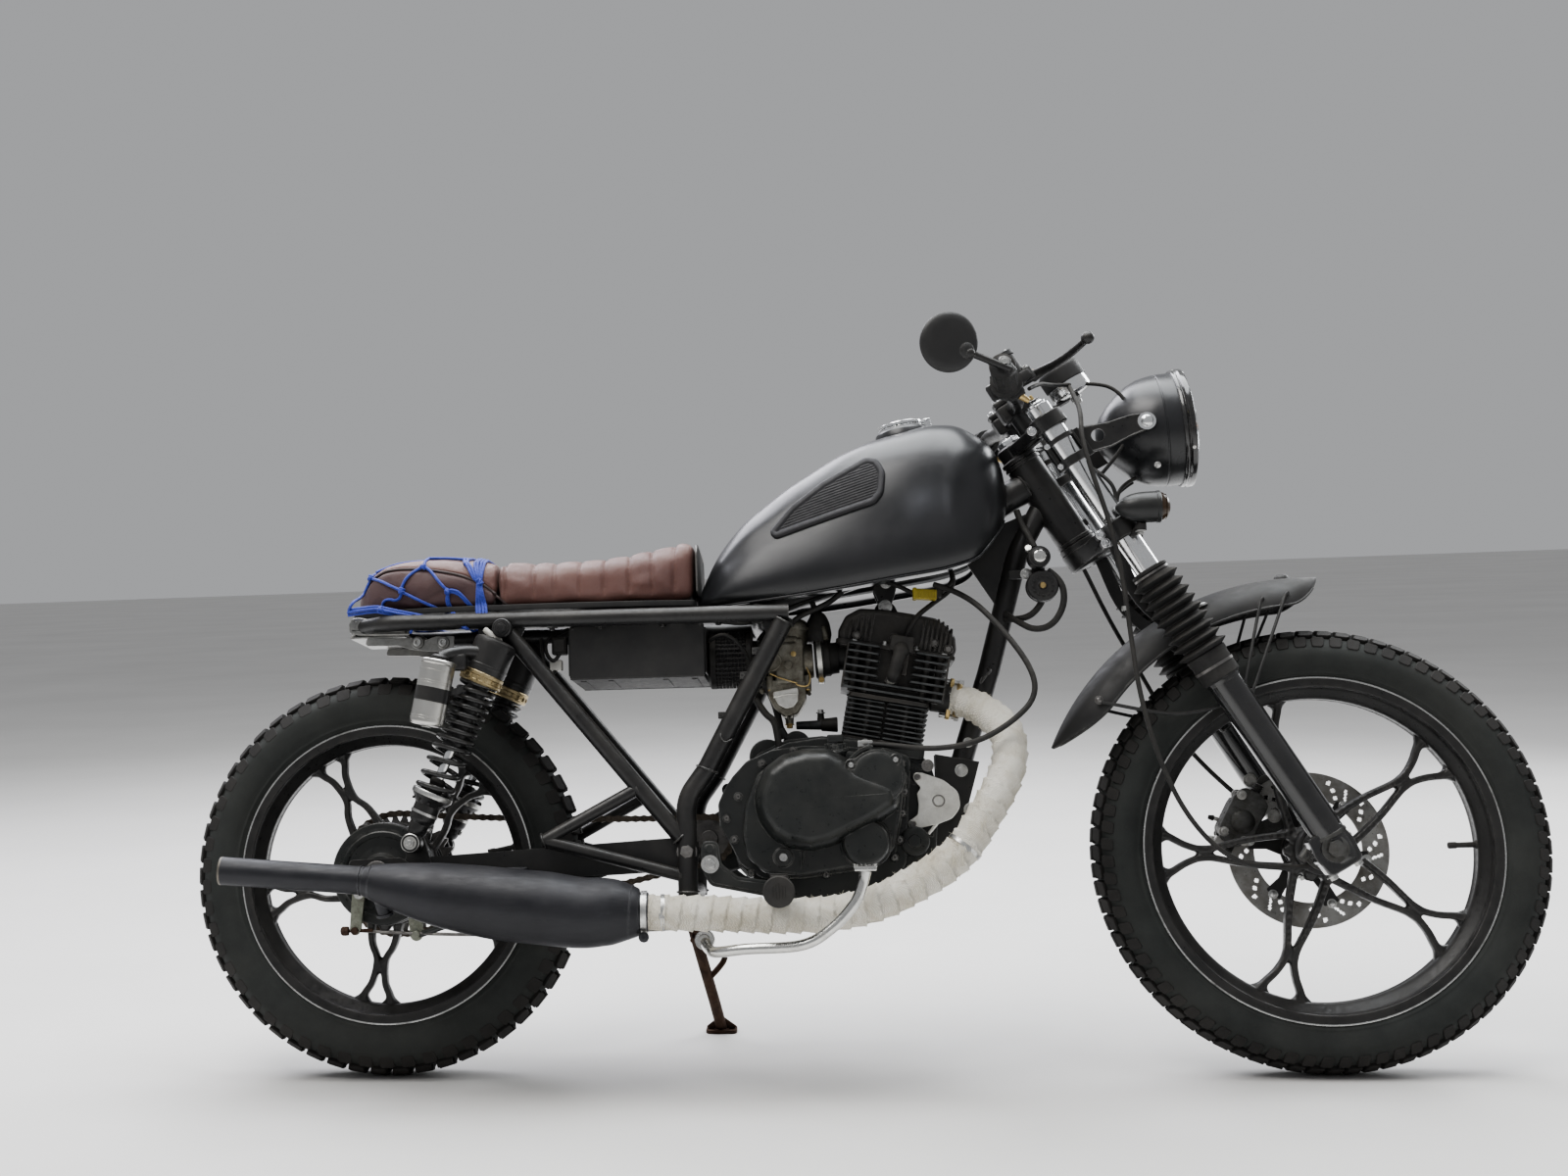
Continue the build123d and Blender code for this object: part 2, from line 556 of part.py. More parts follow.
def lever(s):
    c = grip_span(s, 34, 74, 22)
    c += rod(st(0, s * 196, 757), st(46, s * 184, 752), 11)
    c += pipe([st(44, s * 178, 752), st(74, s * 215, 744),
               st(92, s * 280, 737), st(100, s * 332, 734)], 6,
              [30, 60])
    c += Pos(*st(100, s * 334, 734)) * Sphere(9)
    return c


levers = lever(-1) + lever(1)
levers += rod(st(24, -176, 766), st(34, -176, 800), 17)      # fluid pot
N["hand_levers"] = levers - bar_hole

SPD = st(112, -22, 742)
spd = disc(SPD, A, 31, 46)
spd += rod(st(112, -22, 722), st(60, -16, 700), 6)
spd += rod(st(64, -16, 702), st(40, -10, 702), 6)
N["speedometer"] = spd - N["fork_yokes"]

MIR, MIRN = (821, -392, 962), (0.30, -0.93, -0.18)
mir = disc(MIR, MIRN, 39, 9)
mir += rod((846, -382, 948), st(-12, -372, 744), 5)
mir += rod(st(-14, -346, 759), st(-14, -372, 759), 9)
mir += rod(st(-14, -368, 759), st(-12, -370, 742), 7)
N["mirror"] = mir - N["handlebar"]

LAMP_C = (1175.0, 916.0)       # x, z of the middle of the rim
lx, lz = 0.9965, 0.0836        # the way the lamp points
LR = [(0, 0), (0, 86), (-14, 86), (-16, 82), (-40, 80), (-70, 72),
      (-98, 58), (-120, 38), (-134, 12), (-134, 0)]     # along, radius
N["headlight_bucket"] = spun(
    [(r, s) for s, r in LR], (LAMP_C[0], 0, LAMP_C[1]), (lx, 0, lz), (0, -1, 0))
lens = disc((LAMP_C[0] + 5.5 * lx, 0, LAMP_C[1] + 5.5 * lz), (lx, 0, lz), 80, 10)
N["headlight_lens"] = lens
HB = [(988, 862), (1004, 838), (1050, 868), (1128, 902), (1134, 924),
      (1108, 930), (1036, 908)]
ear = both(lambda s: slab(HB, min(s * 84, s * 88), max(s * 84, s * 88)))
ear -= rod((1040, -100, 889), (1040, 100, 889), 8)
ear += both(lambda s: rod((1120, s * 92, 916), (1120, s * 70, 916), 7))
ear += legs(606, 644, 23)
ear -= legs(560, 700, STANCHION_R)
N["headlight_bracket"] = ear - N["headlight_bucket"]
ind = Part()
for s in (-1, 1):
    ind += rod((1060, s * 128, 779), (1112, s * 128, 778), 22, 18)
    ind += disc((1114, s * 128, 778), (1, 0, 0), 21, 12)
    ind += rod((1068, s * 106, 779), (1062, s * 66, 772), 6)
N["front_indicators"] = ind - legs(480, 620, STANCHION_R) - N["fork_yokes"]

# front fender: an arc round the axle, high above the tyre
FEND_R, FEND_W = 380.0, 50.0
a0, a1 = radians(89), radians(156)


pa = lambda r, a: (WHEELBASE + r * cos(a), ZF + r * sin(a))
am = (a0 + a1) / 2
fprof = [ThreePointArc(pa(FEND_R, a0), pa(FEND_R, am), pa(FEND_R, a1)),
         Line(pa(FEND_R, a1), pa(FEND_R + 4, a1)),
         ThreePointArc(pa(FEND_R + 4, a1), pa(FEND_R + 4, am),
                       pa(FEND_R + 4, a0)),
         Line(pa(FEND_R + 4, a0), pa(FEND_R, a0))]
plf = Plane(origin=(0, -FEND_W, 0), x_dir=(1, 0, 0), z_dir=(0, -1, 0))
fender = plf * extrude(make_face(fprof), -2 * FEND_W)
sprof = [ThreePointArc(pa(FEND_R - 18, a0), pa(FEND_R - 18, am),
                       pa(FEND_R - 18, a1)),
         Line(pa(FEND_R - 18, a1), pa(FEND_R + 1, a1)),
         ThreePointArc(pa(FEND_R + 1, a1), pa(FEND_R + 1, am),
                       pa(FEND_R + 1, a0)),
         Line(pa(FEND_R + 1, a0), pa(FEND_R - 18, a0))]
for s in (-1, 1):
    pls = Plane(origin=(0, s * FEND_W - 1.5, 0), x_dir=(1, 0, 0),
                z_dir=(0, -1, 0))
    fender += pls * extrude(make_face(sprof), -3)
m0 = pa(FEND_R + 2, radians(119))
fender += rod((m0[0], 0, m0[1]), st(45, 0, 508), 9)
fender -= N["fork_yokes"]
for s in (-1, 1):
    fender += rod((1024, s * 50, 530), st(FORK_OFFSET, s * 72, 215), 4)
for x, z in ((1250, 679), (1282, 683)):
    fender += rod((x, 49, z), st(FORK_OFFSET + 18, 75, 180), 3)
fender -= legs(-22, 269.5, SLIDER_R)
N["front_fender"] = fender

# brake caliper on the left leg, open to the disc
cang = 152.0
cp = Pos(WHEELBASE, DISC_Y, ZF) * Rot(0, -cang, 0)
cal = Pos(98, 0, 0) * Box(54, 44, 92)
cal -= Pos(46, 0, 0) * Box(142, DISC_T + 10.6, 120)
cal = cp * cal
cal += rod((1244, 66, 372), st(FORK_OFFSET, 84, 110), 9)
cal += rod((1222, 66, 322), st(FORK_OFFSET, 84, 50), 9)
N["brake_caliper"] = cal - legs(-22, 269.5, SLIDER_R) - disc(
    (WHEELBASE, DISC_Y, ZF), (0, 1, 0), DISC_R + 6, DISC_T + 10.6)

N["front_cables"] = cord("speedometer_cable", [
    (1292, -60, 285), (1236, -78, 282), (1176, -100, 300), (1126, -118, 356),
    (1094, -126, 430), (1072, -130, 520), (1064, -131, 610),
    (1058, -130, 690), (1044, -132, 764), (1024, -131, 834),
    (1014, -121, 886), (1018, -98, 926), (1014, -68, 956), (1009, -50, 974)], 3.0)
N["front_cables"] += cord("brake_hose", [
    (1228, 66, 388), (1184, 94, 436), (1148, 124, 500), (1110, 131, 580),
    (1070, 133, 660), (1036, 131, 742), (1000, 129, 818), (970, 128, 880),
    (946, 116, 944), (930, 74, 984), (924, 14, 1000), (926, -56, 998),
    (934, -116, 988), (926, -160, 978)], 3.5)

N["front_cables"] = (N["front_cables"] - N["speedometer"] - N["hand_levers"]
                     - N["brake_caliper"])

# ---------------------------------------------------------------- side stand
# foot on the floor, given in the leaned frame: x, y, half length, half width
FOOT = (470.0, 268.0, 24.0, 18.0)
piv = (430.0, 118.0, 226.0)


def to_machine(x, y, z):
    """Leaned point (floor at z = 0) to the upright machine frame."""
    return (x, y * cL - z * sL, y * sL + z * cL)


foot_top = to_machine(FOOT[0], FOOT[1] - 4, 10)
# the pivot pin stands square to the leg when it is down and when it is up
down_way = Vector(*foot_top) - Vector(*piv)
PIN = down_way.cross(Vector(-230, 30, -6)).normalized()


def on_pin(h):
    p = Vector(*piv) + PIN * h
    return (p.X, p.Y, p.Z)


stand = rod(on_pin(11), foot_top, 9)
pl_foot = Plane(origin=Vector(*to_machine(FOOT[0], FOOT[1], 0)),
                x_dir=(1, 0, 0), z_dir=Vector(0, -sL, cL))
stand += pl_foot * extrude(RectangleRounded(2 * FOOT[2], 2 * FOOT[3], 8), 6)
stand += disc(on_pin(11), PIN, 15, 10)
mid = tuple(0.42 * p + 0.58 * q for p, q in zip(piv, foot_top))
stand += rod(mid, (mid[0] + 28, mid[1] + 8, mid[2] + 34), 5)   # toe prong
stand -= disc(on_pin(11), PIN, 5.4, 40)
N["side_stand"] = stand
lug = disc(on_pin(-6), PIN, 15, 12)
lug += rod(on_pin(-7), (448, 90, 262), 8)
lug += rod(on_pin(-8), on_pin(20), 5)
N["stand_lug"] = lug - N["side_tubes"]

# luggage net over the hump ----------------------------------------
NET = [
    [(165, -124, 668), (150, -126, 730), (128, -96, 764), (104, -30, 766),
     (96, 40, 766), (110, 100, 764), (124, 126, 724), (130, 124, 668)],
    [(60, -124, 664), (52, -122, 736), (30, -88, 764), (20, -20, 764),
     (24, 50, 764), (40, 104, 752), (60, 122, 716), (70, 122, 664)],
]
net = Part()
for i, pts in enumerate(NET):
    net += cord("net", pts, 3.0)
N["luggage_net"] = net - N["seat_hump"] - N["seat_rails"]

# ---------------------------------------------------------------- place
os.makedirs("parts", exist_ok=True)
place = Pos(SHIFT_X, SHIFT_Y, 0) * Rot(-LEAN, 0, 0)
only = None
lo, hi = [1e9] * 3, [-1e9] * 3
for name, shape in N.items():
    s = place * shape
    b = s.bounding_box()
    lo = [min(p, q) for p, q in zip(lo, (b.min.X, b.min.Y, b.min.Z))]
    hi = [max(p, q) for p, q in zip(hi, (b.max.X, b.max.Y, b.max.Z))]
    export_step(s, "parts/%s.step" % name)
print("box", [round(v, 2) for v in lo], [round(v, 2) for v in hi],
      "centre", round((lo[0] + hi[0]) / 2, 3), round((lo[1] + hi[1]) / 2, 3))
print("nodes", len(N))
print("steer axis", st(0, 0, 610), "stand pivot", piv)
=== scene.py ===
import bpy
import bmesh
import math
import numpy as np
from math import sin, cos, tan, radians, degrees, pi, atan2, hypot, sqrt
from mathutils import Vector, Matrix


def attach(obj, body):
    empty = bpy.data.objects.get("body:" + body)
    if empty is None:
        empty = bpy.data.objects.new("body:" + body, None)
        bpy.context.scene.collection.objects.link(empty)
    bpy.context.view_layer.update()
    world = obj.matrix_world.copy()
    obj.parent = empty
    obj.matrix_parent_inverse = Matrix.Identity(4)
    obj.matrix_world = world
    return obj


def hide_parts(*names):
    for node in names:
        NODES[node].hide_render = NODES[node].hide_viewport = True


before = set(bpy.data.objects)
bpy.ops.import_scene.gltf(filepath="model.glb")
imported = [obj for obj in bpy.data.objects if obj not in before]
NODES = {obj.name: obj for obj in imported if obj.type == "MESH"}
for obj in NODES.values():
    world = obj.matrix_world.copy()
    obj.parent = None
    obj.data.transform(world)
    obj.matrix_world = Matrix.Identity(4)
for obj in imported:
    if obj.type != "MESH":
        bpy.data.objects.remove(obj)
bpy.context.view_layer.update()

rng = np.random.default_rng(7)

# ------------------------------------------------------------------
# Everything is drawn in the upright machine frame in millimetres,
# X forward, Y to the machine's left, Z up, and put into the row
# frame by TO_ROW, which leans it over on its stand.
# ------------------------------------------------------------------
LEAN = radians(9.0)
CL, SL = cos(LEAN), sin(LEAN)
SHIFT = (-666.15, -121.87)
TO_ROW = (Matrix.Translation((SHIFT[0] / 1000, SHIFT[1] / 1000, 0))
          @ Matrix.Rotation(-LEAN, 4, "X") @ Matrix.Scale(0.001, 4))
ROW = np.array(TO_ROW, float)


def to_row(p):
    p = np.asarray(p, float).reshape(-1, 3)
    return p @ ROW[:3, :3].T + ROW[:3, 3]


WHEELBASE, RAKE, LEG_LEAD, FORK_OFFSET, FORK_HALF = 1318.0, 30.3, 7.4, 45.0, 92.0
TYRE_F_R, TYRE_F_SEC = 307.3, 50.0
TYRE_R_R, TYRE_R_SEC = 293.0, 54.0
ZF = TYRE_F_R - TYRE_F_SEC + TYRE_F_SEC / CL
ZR = TYRE_R_R - TYRE_R_SEC + TYRE_R_SEC / CL
AXLE_F, AXLE_R = (WHEELBASE, 0.0, ZF), (0.0, 0.0, ZR)
sa, ca = sin(radians(RAKE)), cos(radians(RAKE))
AX = (-sa, 0.0, ca)
FX = (ca, 0.0, sa)
LEG0 = (WHEELBASE + LEG_LEAD * ca, ZF + LEG_LEAD * sa)


def st(f, y, t):
    """Point f ahead of the steering axis, y left, t up along it."""
    return (LEG0[0] + (f - FORK_OFFSET) * FX[0] + t * AX[0], y,
            LEG0[1] + (f - FORK_OFFSET) * FX[2] + t * AX[2])


# ---------------------------------------------------------- camera
cam_data = bpy.data.cameras.new("camera")
cam = bpy.data.objects.new("camera", cam_data)
bpy.context.scene.collection.objects.link(cam)
cam_data.sensor_width = 36.0
cam_data.lens = 2118.42 / 1600 * 36.0
cam_data.shift_x = 0.175
cam_data.clip_start, cam_data.clip_end = 0.05, 200
yaw, pitch, roll = 0.1473, -0.0184, -0.0377
R = Matrix.Rotation(yaw, 3, "Z") @ Matrix.Rotation(pitch, 3, "X")
right, ahead, up = R @ Vector((1, 0, 0)), R @ Vector((0, 1, 0)), R @ Vector((0, 0, 1))
r2 = cos(roll) * right + sin(roll) * up
u2 = -sin(roll) * right + cos(roll) * up
cam.matrix_world = Matrix.Translation((-0.02397, -3.09709, 0.76514)) @ Matrix((
    (r2.x, u2.x, -ahead.x), (r2.y, u2.y, -ahead.y), (r2.z, u2.z, -ahead.z))).to_4x4()
bpy.context.scene.camera = cam

# ---------------------------------------------------------- shapes


def unit(v):
    v = np.asarray(v, float)
    return v / max(np.linalg.norm(v), 1e-12)


def basis(d, x=None):
    """Two unit vectors across d."""
    d = unit(d)
    if x is None:
        x = (0, 1, 0) if abs(d[1]) < 0.9 else (1, 0, 0)
    x = np.asarray(x, float)
    u = unit(x - d * (x @ d))
    return u, np.cross(d, u)


def nurbs(points, res=8, closed=False):
    """Points along a smooth route with these control points."""
    cu = bpy.data.curves.new("route", "CURVE")
    cu.dimensions = "3D"
    sp = cu.splines.new("NURBS")
    sp.points.add(len(points) - 1)
    for p, q in zip(sp.points, points):
        p.co = (q[0], q[1], q[2], 1)
    sp.order_u = 3
    if closed:
        sp.use_cyclic_u = True
    else:
        sp.use_endpoint_u = True
    sp.resolution_u = res
    o = bpy.data.objects.new("route", cu)
    me = bpy.data.meshes.new_from_object(o)
    out = np.array([v.co[:] for v in me.vertices], float)
    bpy.data.meshes.remove(me)
    bpy.data.objects.remove(o)
    bpy.data.curves.remove(cu)
    return out


def resample(pts, step):
    pts = np.asarray(pts, float)
    d = np.r_[0, np.cumsum(np.linalg.norm(np.diff(pts, axis=0), axis=1))]
    n = max(2, int(round(d[-1] / step)) + 1)
    s = np.linspace(0, d[-1], n)
    return np.stack([np.interp(s, d, pts[:, k]) for k in range(pts.shape[1])], 1)


def catmull(pts, n=8, closed=False):
    """Smooth curve through the points."""
    p = np.asarray(pts, float)
    if closed:
        p = np.vstack([p[-1:], p, p[:2]])
    else:
        p = np.vstack([2 * p[0] - p[1], p, 2 * p[-1] - p[-2]])
    out = []
    for i in range(1, len(p) - 2):
        a, b, c, d = p[i - 1], p[i], p[i + 1], p[i + 2]
        for k in range(n):
            t = k / n
            out.append(0.5 * (2 * b + (c - a) * t + (2 * a - 5 * b + 4 * c - d) * t * t
                              + (3 * b - a - 3 * c + d) * t ** 3))
    if not closed:
        out.append(p[-2])
    return np.array(out)


def rounded(pts, r, n=5):
    """Closed 2-D outline with its corners rounded; r is one radius or one a corner."""
    p = np.asarray(pts, float)
    m = len(p)
    rs = [r] * m if np.isscalar(r) else list(r)
    out = []
    for i in range(m):
        a, b, c = p[i - 1], p[i], p[(i + 1) % m]
        u, v = a - b, c - b
        lu, lv = np.linalg.norm(u), np.linalg.norm(v)
        u, v = u / lu, v / lv
        ang = math.acos(max(-1, min(1, float(u @ v))))
        if rs[i] <= 0 or ang > pi - 0.02:
            out.append(b)
            continue
        k = rs[i] / tan(ang / 2)
        k = min(k, 0.48 * lu, 0.48 * lv)
        rr = k * tan(ang / 2)
        centre = b + unit(u + v) * rr / sin(ang / 2)
        s, e = b + u * k - centre, b + v * k - centre
        a0, a1 = atan2(s[1], s[0]), atan2(e[1], e[0])
        d = (a1 - a0 + pi) % (2 * pi) - pi
        for j in range(n + 1):
            t = a0 + d * j / n
            out.append(centre + rr * np.array([cos(t), sin(t)]))
    return np.array(out)


def inset(poly, d):
    """Closed 2-D outline moved inwards by d (outline anticlockwise)."""
    p = np.asarray(poly, float)
    nx = np.roll(p, -1, 0) - p
    nx = nx / np.maximum(np.linalg.norm(nx, axis=1, keepdims=True), 1e-9)
    nrm = np.stack([-nx[:, 1], nx[:, 0]], 1)
    m = nrm + np.roll(nrm, 1, 0)
    den = np.maximum((m * nrm).sum(1, keepdims=True), 0.35)
    return p + m / den * d


def area2(p):
    p = np.asarray(p, float)
    q = np.roll(p, -1, 0)
    return 0.5 * float((p[:, 0] * q[:, 1] - q[:, 0] * p[:, 1]).sum())


class Shape:
    def __init__(self):
        self.v, self.f, self.m, self.n = [], [], [], 0

    def add(self, verts, faces, mat=0):
        verts = np.asarray(verts, float).reshape(-1, 3)
        self.v.append(verts)
        k = self.n
        self.f += [tuple(i + k for i in f) for f in faces]
        self.m += [mat] * len(faces)
        self.n += len(verts)
        return self

    def merge(self, other, fn=None, mat=None):
        v = np.vstack(other.v)
        if fn is not None:
            v = fn(v)
        k = self.n
        self.v.append(v)
        self.f += [tuple(i + k for i in f) for f in other.f]
        self.m += other.m if mat is None else [mat] * len(other.m)
        self.n += len(v)
        return self

    def rings(self, rings, mat=0, closed=False, caps=(True, True), wrap=True):
        """Skin over rings of equal count; wrap joins each ring's ends."""
        rs = [np.asarray(r, float) for r in rings]
        m, n = len(rs), len(rs[0])
        v = np.vstack(rs)
        f = []
        for i in range(m if closed else m - 1):
            a, b = i * n, ((i + 1) % m) * n
            for j in range(n if wrap else n - 1):
                k = (j + 1) % n
                f.append((a + j, a + k, b + k, b + j))
        if not closed and wrap:
            if caps[0]:
                f.append(tuple(range(n - 1, -1, -1)))
            if caps[1]:
                f.append(tuple((m - 1) * n + j for j in range(n)))
        return self.add(v, f, mat)

    def tube(self, pts, r, n=16, mat=0, caps=(True, True), section=None, up=None,
             closed=False):
        """Sweep a circle (or a section outline) along points."""
        p = np.asarray(pts, float)
        m = len(p)
        if closed:
            t = np.roll(p, -1, 0) - np.roll(p, 1, 0)
        else:
            t = np.gradient(p, axis=0)
        t = t / np.maximum(np.linalg.norm(t, axis=1, keepdims=True), 1e-9)
        rad = np.full(m, float(r)) if np.isscalar(r) else np.asarray(r, float)
        u, _ = basis(t[0], up)
        out = []
        if section is None:
            a = np.arange(n) * 2 * pi / n
            section = np.stack([np.cos(a), np.sin(a)], 1)
            scale = True
        else:
            section, scale = np.asarray(section, float), False
        for i in range(m):
            if up is not None:
                u, w = basis(t[i], up)
            else:
                u = unit(u - t[i] * (u @ t[i]))
                w = np.cross(t[i], u)
            s = section * rad[i] if scale else section * (rad[i] if not np.isscalar(r) else 1)
            out.append(p[i] + s[:, :1] * u + s[:, 1:] * w)
        return self.rings(out, mat, closed=closed, caps=caps)

    def lathe(self, prof, o, d, n=48, mat=0, x=None, closed=False, a0=0.0, a1=360.0):
        """Spin (radius, distance) points round the axis from o along d."""
        if n >= 36:
            n = int(n * 0.8) // 2 * 2
        o, d = np.asarray(o, float), unit(d)
        u, w = basis(d, x)
        full = abs(a1 - a0 - 360) < 1e-6
        k = n if full else n + 1
        ang = radians(a0) + np.arange(k) * radians(a1 - a0) / n
        pr = np.asarray(prof, float)
        c, s = np.cos(ang), np.sin(ang)
        dirs = c[:, None] * u + s[:, None] * w
        v, f = [], []
        m = len(pr)
        idx = []
        cnt = 0
        for r, h in pr:
            if abs(r) < 1e-6:
                v.append((o + d * h)[None])
                idx.append([cnt] * k)
                cnt += 1
            else:
                v.append(o + d * h + dirs * r)
                idx.append(list(range(cnt, cnt + k)))
                cnt += k
        rng_i = range(m if closed else m - 1)
        for i in rng_i:
            a, b = idx[i], idx[(i + 1) % m]
            for j in range(k if full else k - 1):
                q = (j + 1) % k
                face = []
                for e in (a[j], a[q], b[q], b[j]):
                    if not face or (face[-1] != e and face[0] != e):
                        face.append(e)
                if len(face) > 2:
                    f.append(tuple(face))
        return self.add(np.vstack(v), f, mat)

    def rod(self, p, q, r, r2=None, n=24, mat=0, b=1.0):
        """Round bar with small rounded ends."""
        p, q = np.asarray(p, float), np.asarray(q, float)
        L = np.linalg.norm(q - p)
        r2 = r if r2 is None else r2
        b = min(b, r * 0.45, r2 * 0.45, L * 0.3)
        e = 0.3 * b
        return self.lathe([(0, 0), (r - b, 0), (r - e, e), (r, b), (r2, L - b),
                           (r2 - e, L - e), (r2 - b, L), (0, L)], p, q - p, n, mat)

    def prism(self, poly, o, u, w, h0, h1, mat=0, b=1.5, steps=2, flat0=True, flat1=True):
        """Flat outline in the plane (o, u, w), from h0 to h1 along u x w, edges rounded."""
        poly = np.asarray(poly, float)
        if area2(poly) < 0:
            poly = poly[::-1]
        o, u, w = (np.asarray(a, float) for a in (o, u, w))
        nrm = np.cross(u, w)
        b = min(b, abs(h1 - h0) * 0.45)
        rows = []
        for k in range(steps + 1):
            a = pi / 2 * k / steps
            rows.append((b * (1 - sin(a)), h0 + b * (1 - cos(a))))
        rows += [(x, h1 - (h - h0)) for x, h in rows[::-1]]
        rings = []
        for x, h in rows:
            q = inset(poly, x) if x > 1e-9 else poly
            rings.append(o + q[:, :1] * u + q[:, 1:] * w + nrm * h)
        return self.rings(rings, mat, caps=(flat0, flat1))

    def slab(self, xz, y0, y1, mat=0, b=1.5, r=0, steps=2):
        """Outline in the XZ plane, from y0 to y1."""
        p = rounded(xz, r) if (not np.isscalar(r) or r > 0) else np.asarray(xz, float)
        # u x w = (1,0,0) x (0,0,1) = -Y
        lo, hi = min(y0, y1), max(y0, y1)
        return self.prism(p, (0, 0, 0), (1, 0, 0), (0, 0, 1), -hi, -lo, mat, b, steps)

    def box(self, c, size, mat=0, b=1.5, R=None, r=None, steps=2):
        """Rounded block; R turns it about its centre."""
        dx, dy, dz = (s / 2 for s in size)
        r = b if r is None else r
        p = rounded([(-dx, -dy), (dx, -dy), (dx, dy), (-dx, dy)], max(r, 0.01), 3)
        s = Shape().prism(p, (0, 0, 0), (1, 0, 0), (0, 1, 0), -dz, dz, mat, b, steps)
        c = np.asarray(c, float)
        Rm = np.eye(3) if R is None else np.array(R, float)[:3, :3]
        return self.merge(s, lambda v: v @ Rm.T + c)

    def bolt(self, p, d, r=5.0, h=4.0, mat=0, kind="hex", washer=True, turn=0.3):
        p, d = np.asarray(p, float), unit(d)
        u, w = basis(d)
        z = 0.0
        if washer:
            self.lathe([(0, -0.6), (r * 1.45, -0.6), (r * 1.45, 0.9), (r * 1.35, 1.2), (0, 1.2)],
                       p, d, 20, mat)
            z = 1.1
        if kind == "hex":
            a = turn + np.arange(6) * pi / 3
            hexa = np.stack([np.cos(a), np.sin(a)], 1) * r
            self.prism(rounded(hexa, r * 0.12, 2), p, u, w, z - 0.5, z + h, mat, b=r * 0.12)
            self.lathe([(0, z + h + 0.25), (r * 0.62, z + h + 0.25), (r * 0.7, z + h - 0.1)],
                       p, d, 16, mat)
        elif kind == "cap":
            self.lathe([(r * 0.45, z + h * 0.35), (r * 0.5, z + h * 0.9), (r * 0.55, z + h),
                        (r * 0.9, z + h), (r, z + h * 0.88), (r, z - 0.4)][::-1], p, d, 20, mat)
            a = turn + np.arange(6) * pi / 3
            hexa = np.stack([np.cos(a), np.sin(a)], 1) * r * 0.5
            self.prism(hexa, p, u, w, z, z + h * 0.36, mat, b=0.1)
        else:
            self.lathe([(r, z - 0.4), (r, z + h * 0.25), (r * 0.9, z + h * 0.62),
                        (r * 0.6, z + h * 0.9), (0, z + h)], p, d, 20, mat)
        return self


def mesh_of(name, shape, mats, angle=34.0, weld=True, flip=False):
    v = to_row(np.vstack(shape.v))
    me = bpy.data.meshes.new(name)
    me.from_pydata(v.tolist(), [], shape.f)
    for m in mats:
        me.materials.append(m)
    me.polygons.foreach_set("material_index", np.array(shape.m, np.int32))
    bm = bmesh.new()
    bm.from_mesh(me)
    if weld:
        bmesh.ops.remove_doubles(bm, verts=bm.verts, dist=2e-5)
    bmesh.ops.recalc_face_normals(bm, faces=bm.faces)
    bm.to_mesh(me)
    bm.free()
    me.shade_smooth()
    if angle < 179:
        me.set_sharp_from_angle(angle=radians(angle))
    me.update()
    return me


def piece(name, shape, mats, body, replaces=(), angle=34.0, weighted=True,
          bevel=0.0, subdiv=0, weld=True):
    """A finished piece of the object, riding on a CAD body."""
    mats = mats if isinstance(mats, (list, tuple)) else [mats]
    me = shape if isinstance(shape, bpy.types.Mesh) else mesh_of(name, shape, mats, angle, weld)
    me.name = name
    o = bpy.data.objects.new(name, me)
    bpy.context.scene.collection.objects.link(o)
    if bevel:
        md = o.modifiers.new("edges", "BEVEL")
        md.width, md.segments, md.limit_method = bevel / 1000, 2, "ANGLE"
        md.angle_limit = radians(30)
    if subdiv:
        md = o.modifiers.new("smooth", "SUBSURF")
        md.levels = md.render_levels = subdiv
    if weighted:
        md = o.modifiers.new("normals", "WEIGHTED_NORMAL")
        md.keep_sharp = True
    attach(o, body)
    if replaces:
        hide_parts(*([replaces] if isinstance(replaces, str) else replaces))
    return o


def cable(name, pts, r, mat, body, replaces=(), res=7, n=4):
    """A held cord on one smooth curve with these control points."""
    cu = bpy.data.curves.new(name, "CURVE")
    cu.dimensions = "3D"
    cu.bevel_depth = r / 1000
    cu.bevel_resolution = n
    cu.use_fill_caps = True
    sp = cu.splines.new("NURBS")
    q = to_row(pts)
    sp.points.add(len(q) - 1)
    for a, b in zip(sp.points, q):
        a.co = (*b, 1)
    sp.order_u = 3
    sp.use_endpoint_u = True
    sp.resolution_u = res
    cu.materials.append(mat)
    o = bpy.data.objects.new(name, cu)
    bpy.context.scene.collection.objects.link(o)
    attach(o, body)
    if replaces:
        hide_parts(*([replaces] if isinstance(replaces, str) else replaces))
    return o


def applied(me, mods, mats=None):
    """A mesh after modifiers given as (type, {setting: value})."""
    o = bpy.data.objects.new("work", me)
    bpy.context.scene.collection.objects.link(o)
    for kind, sets in mods:
        md = o.modifiers.new(kind, kind)
        for k, val in sets.items():
            setattr(md, k, val)
    dg = bpy.context.evaluated_depsgraph_get()
    out = bpy.data.meshes.new_from_object(o.evaluated_get(dg))
    bpy.data.objects.remove(o)
    if mats:
        out.materials.clear()
        for m in mats:
            out.materials.append(m)
    return out


def mesh_co(me):
    co = np.zeros(len(me.vertices) * 3)
    me.vertices.foreach_get("co", co)
    return co.reshape(-1, 3)


def set_co(me, co):
    me.vertices.foreach_set("co", co.astype(np.float32).ravel())
    me.update()


INV = np.linalg.inv(ROW)


def from_row(p):
    return np.asarray(p, float) @ INV[:3, :3].T + INV[:3, 3]


def sstep(a, b, x):
    t = np.clip((x - a) / (b - a), 0, 1)
    return t * t * (3 - 2 * t)
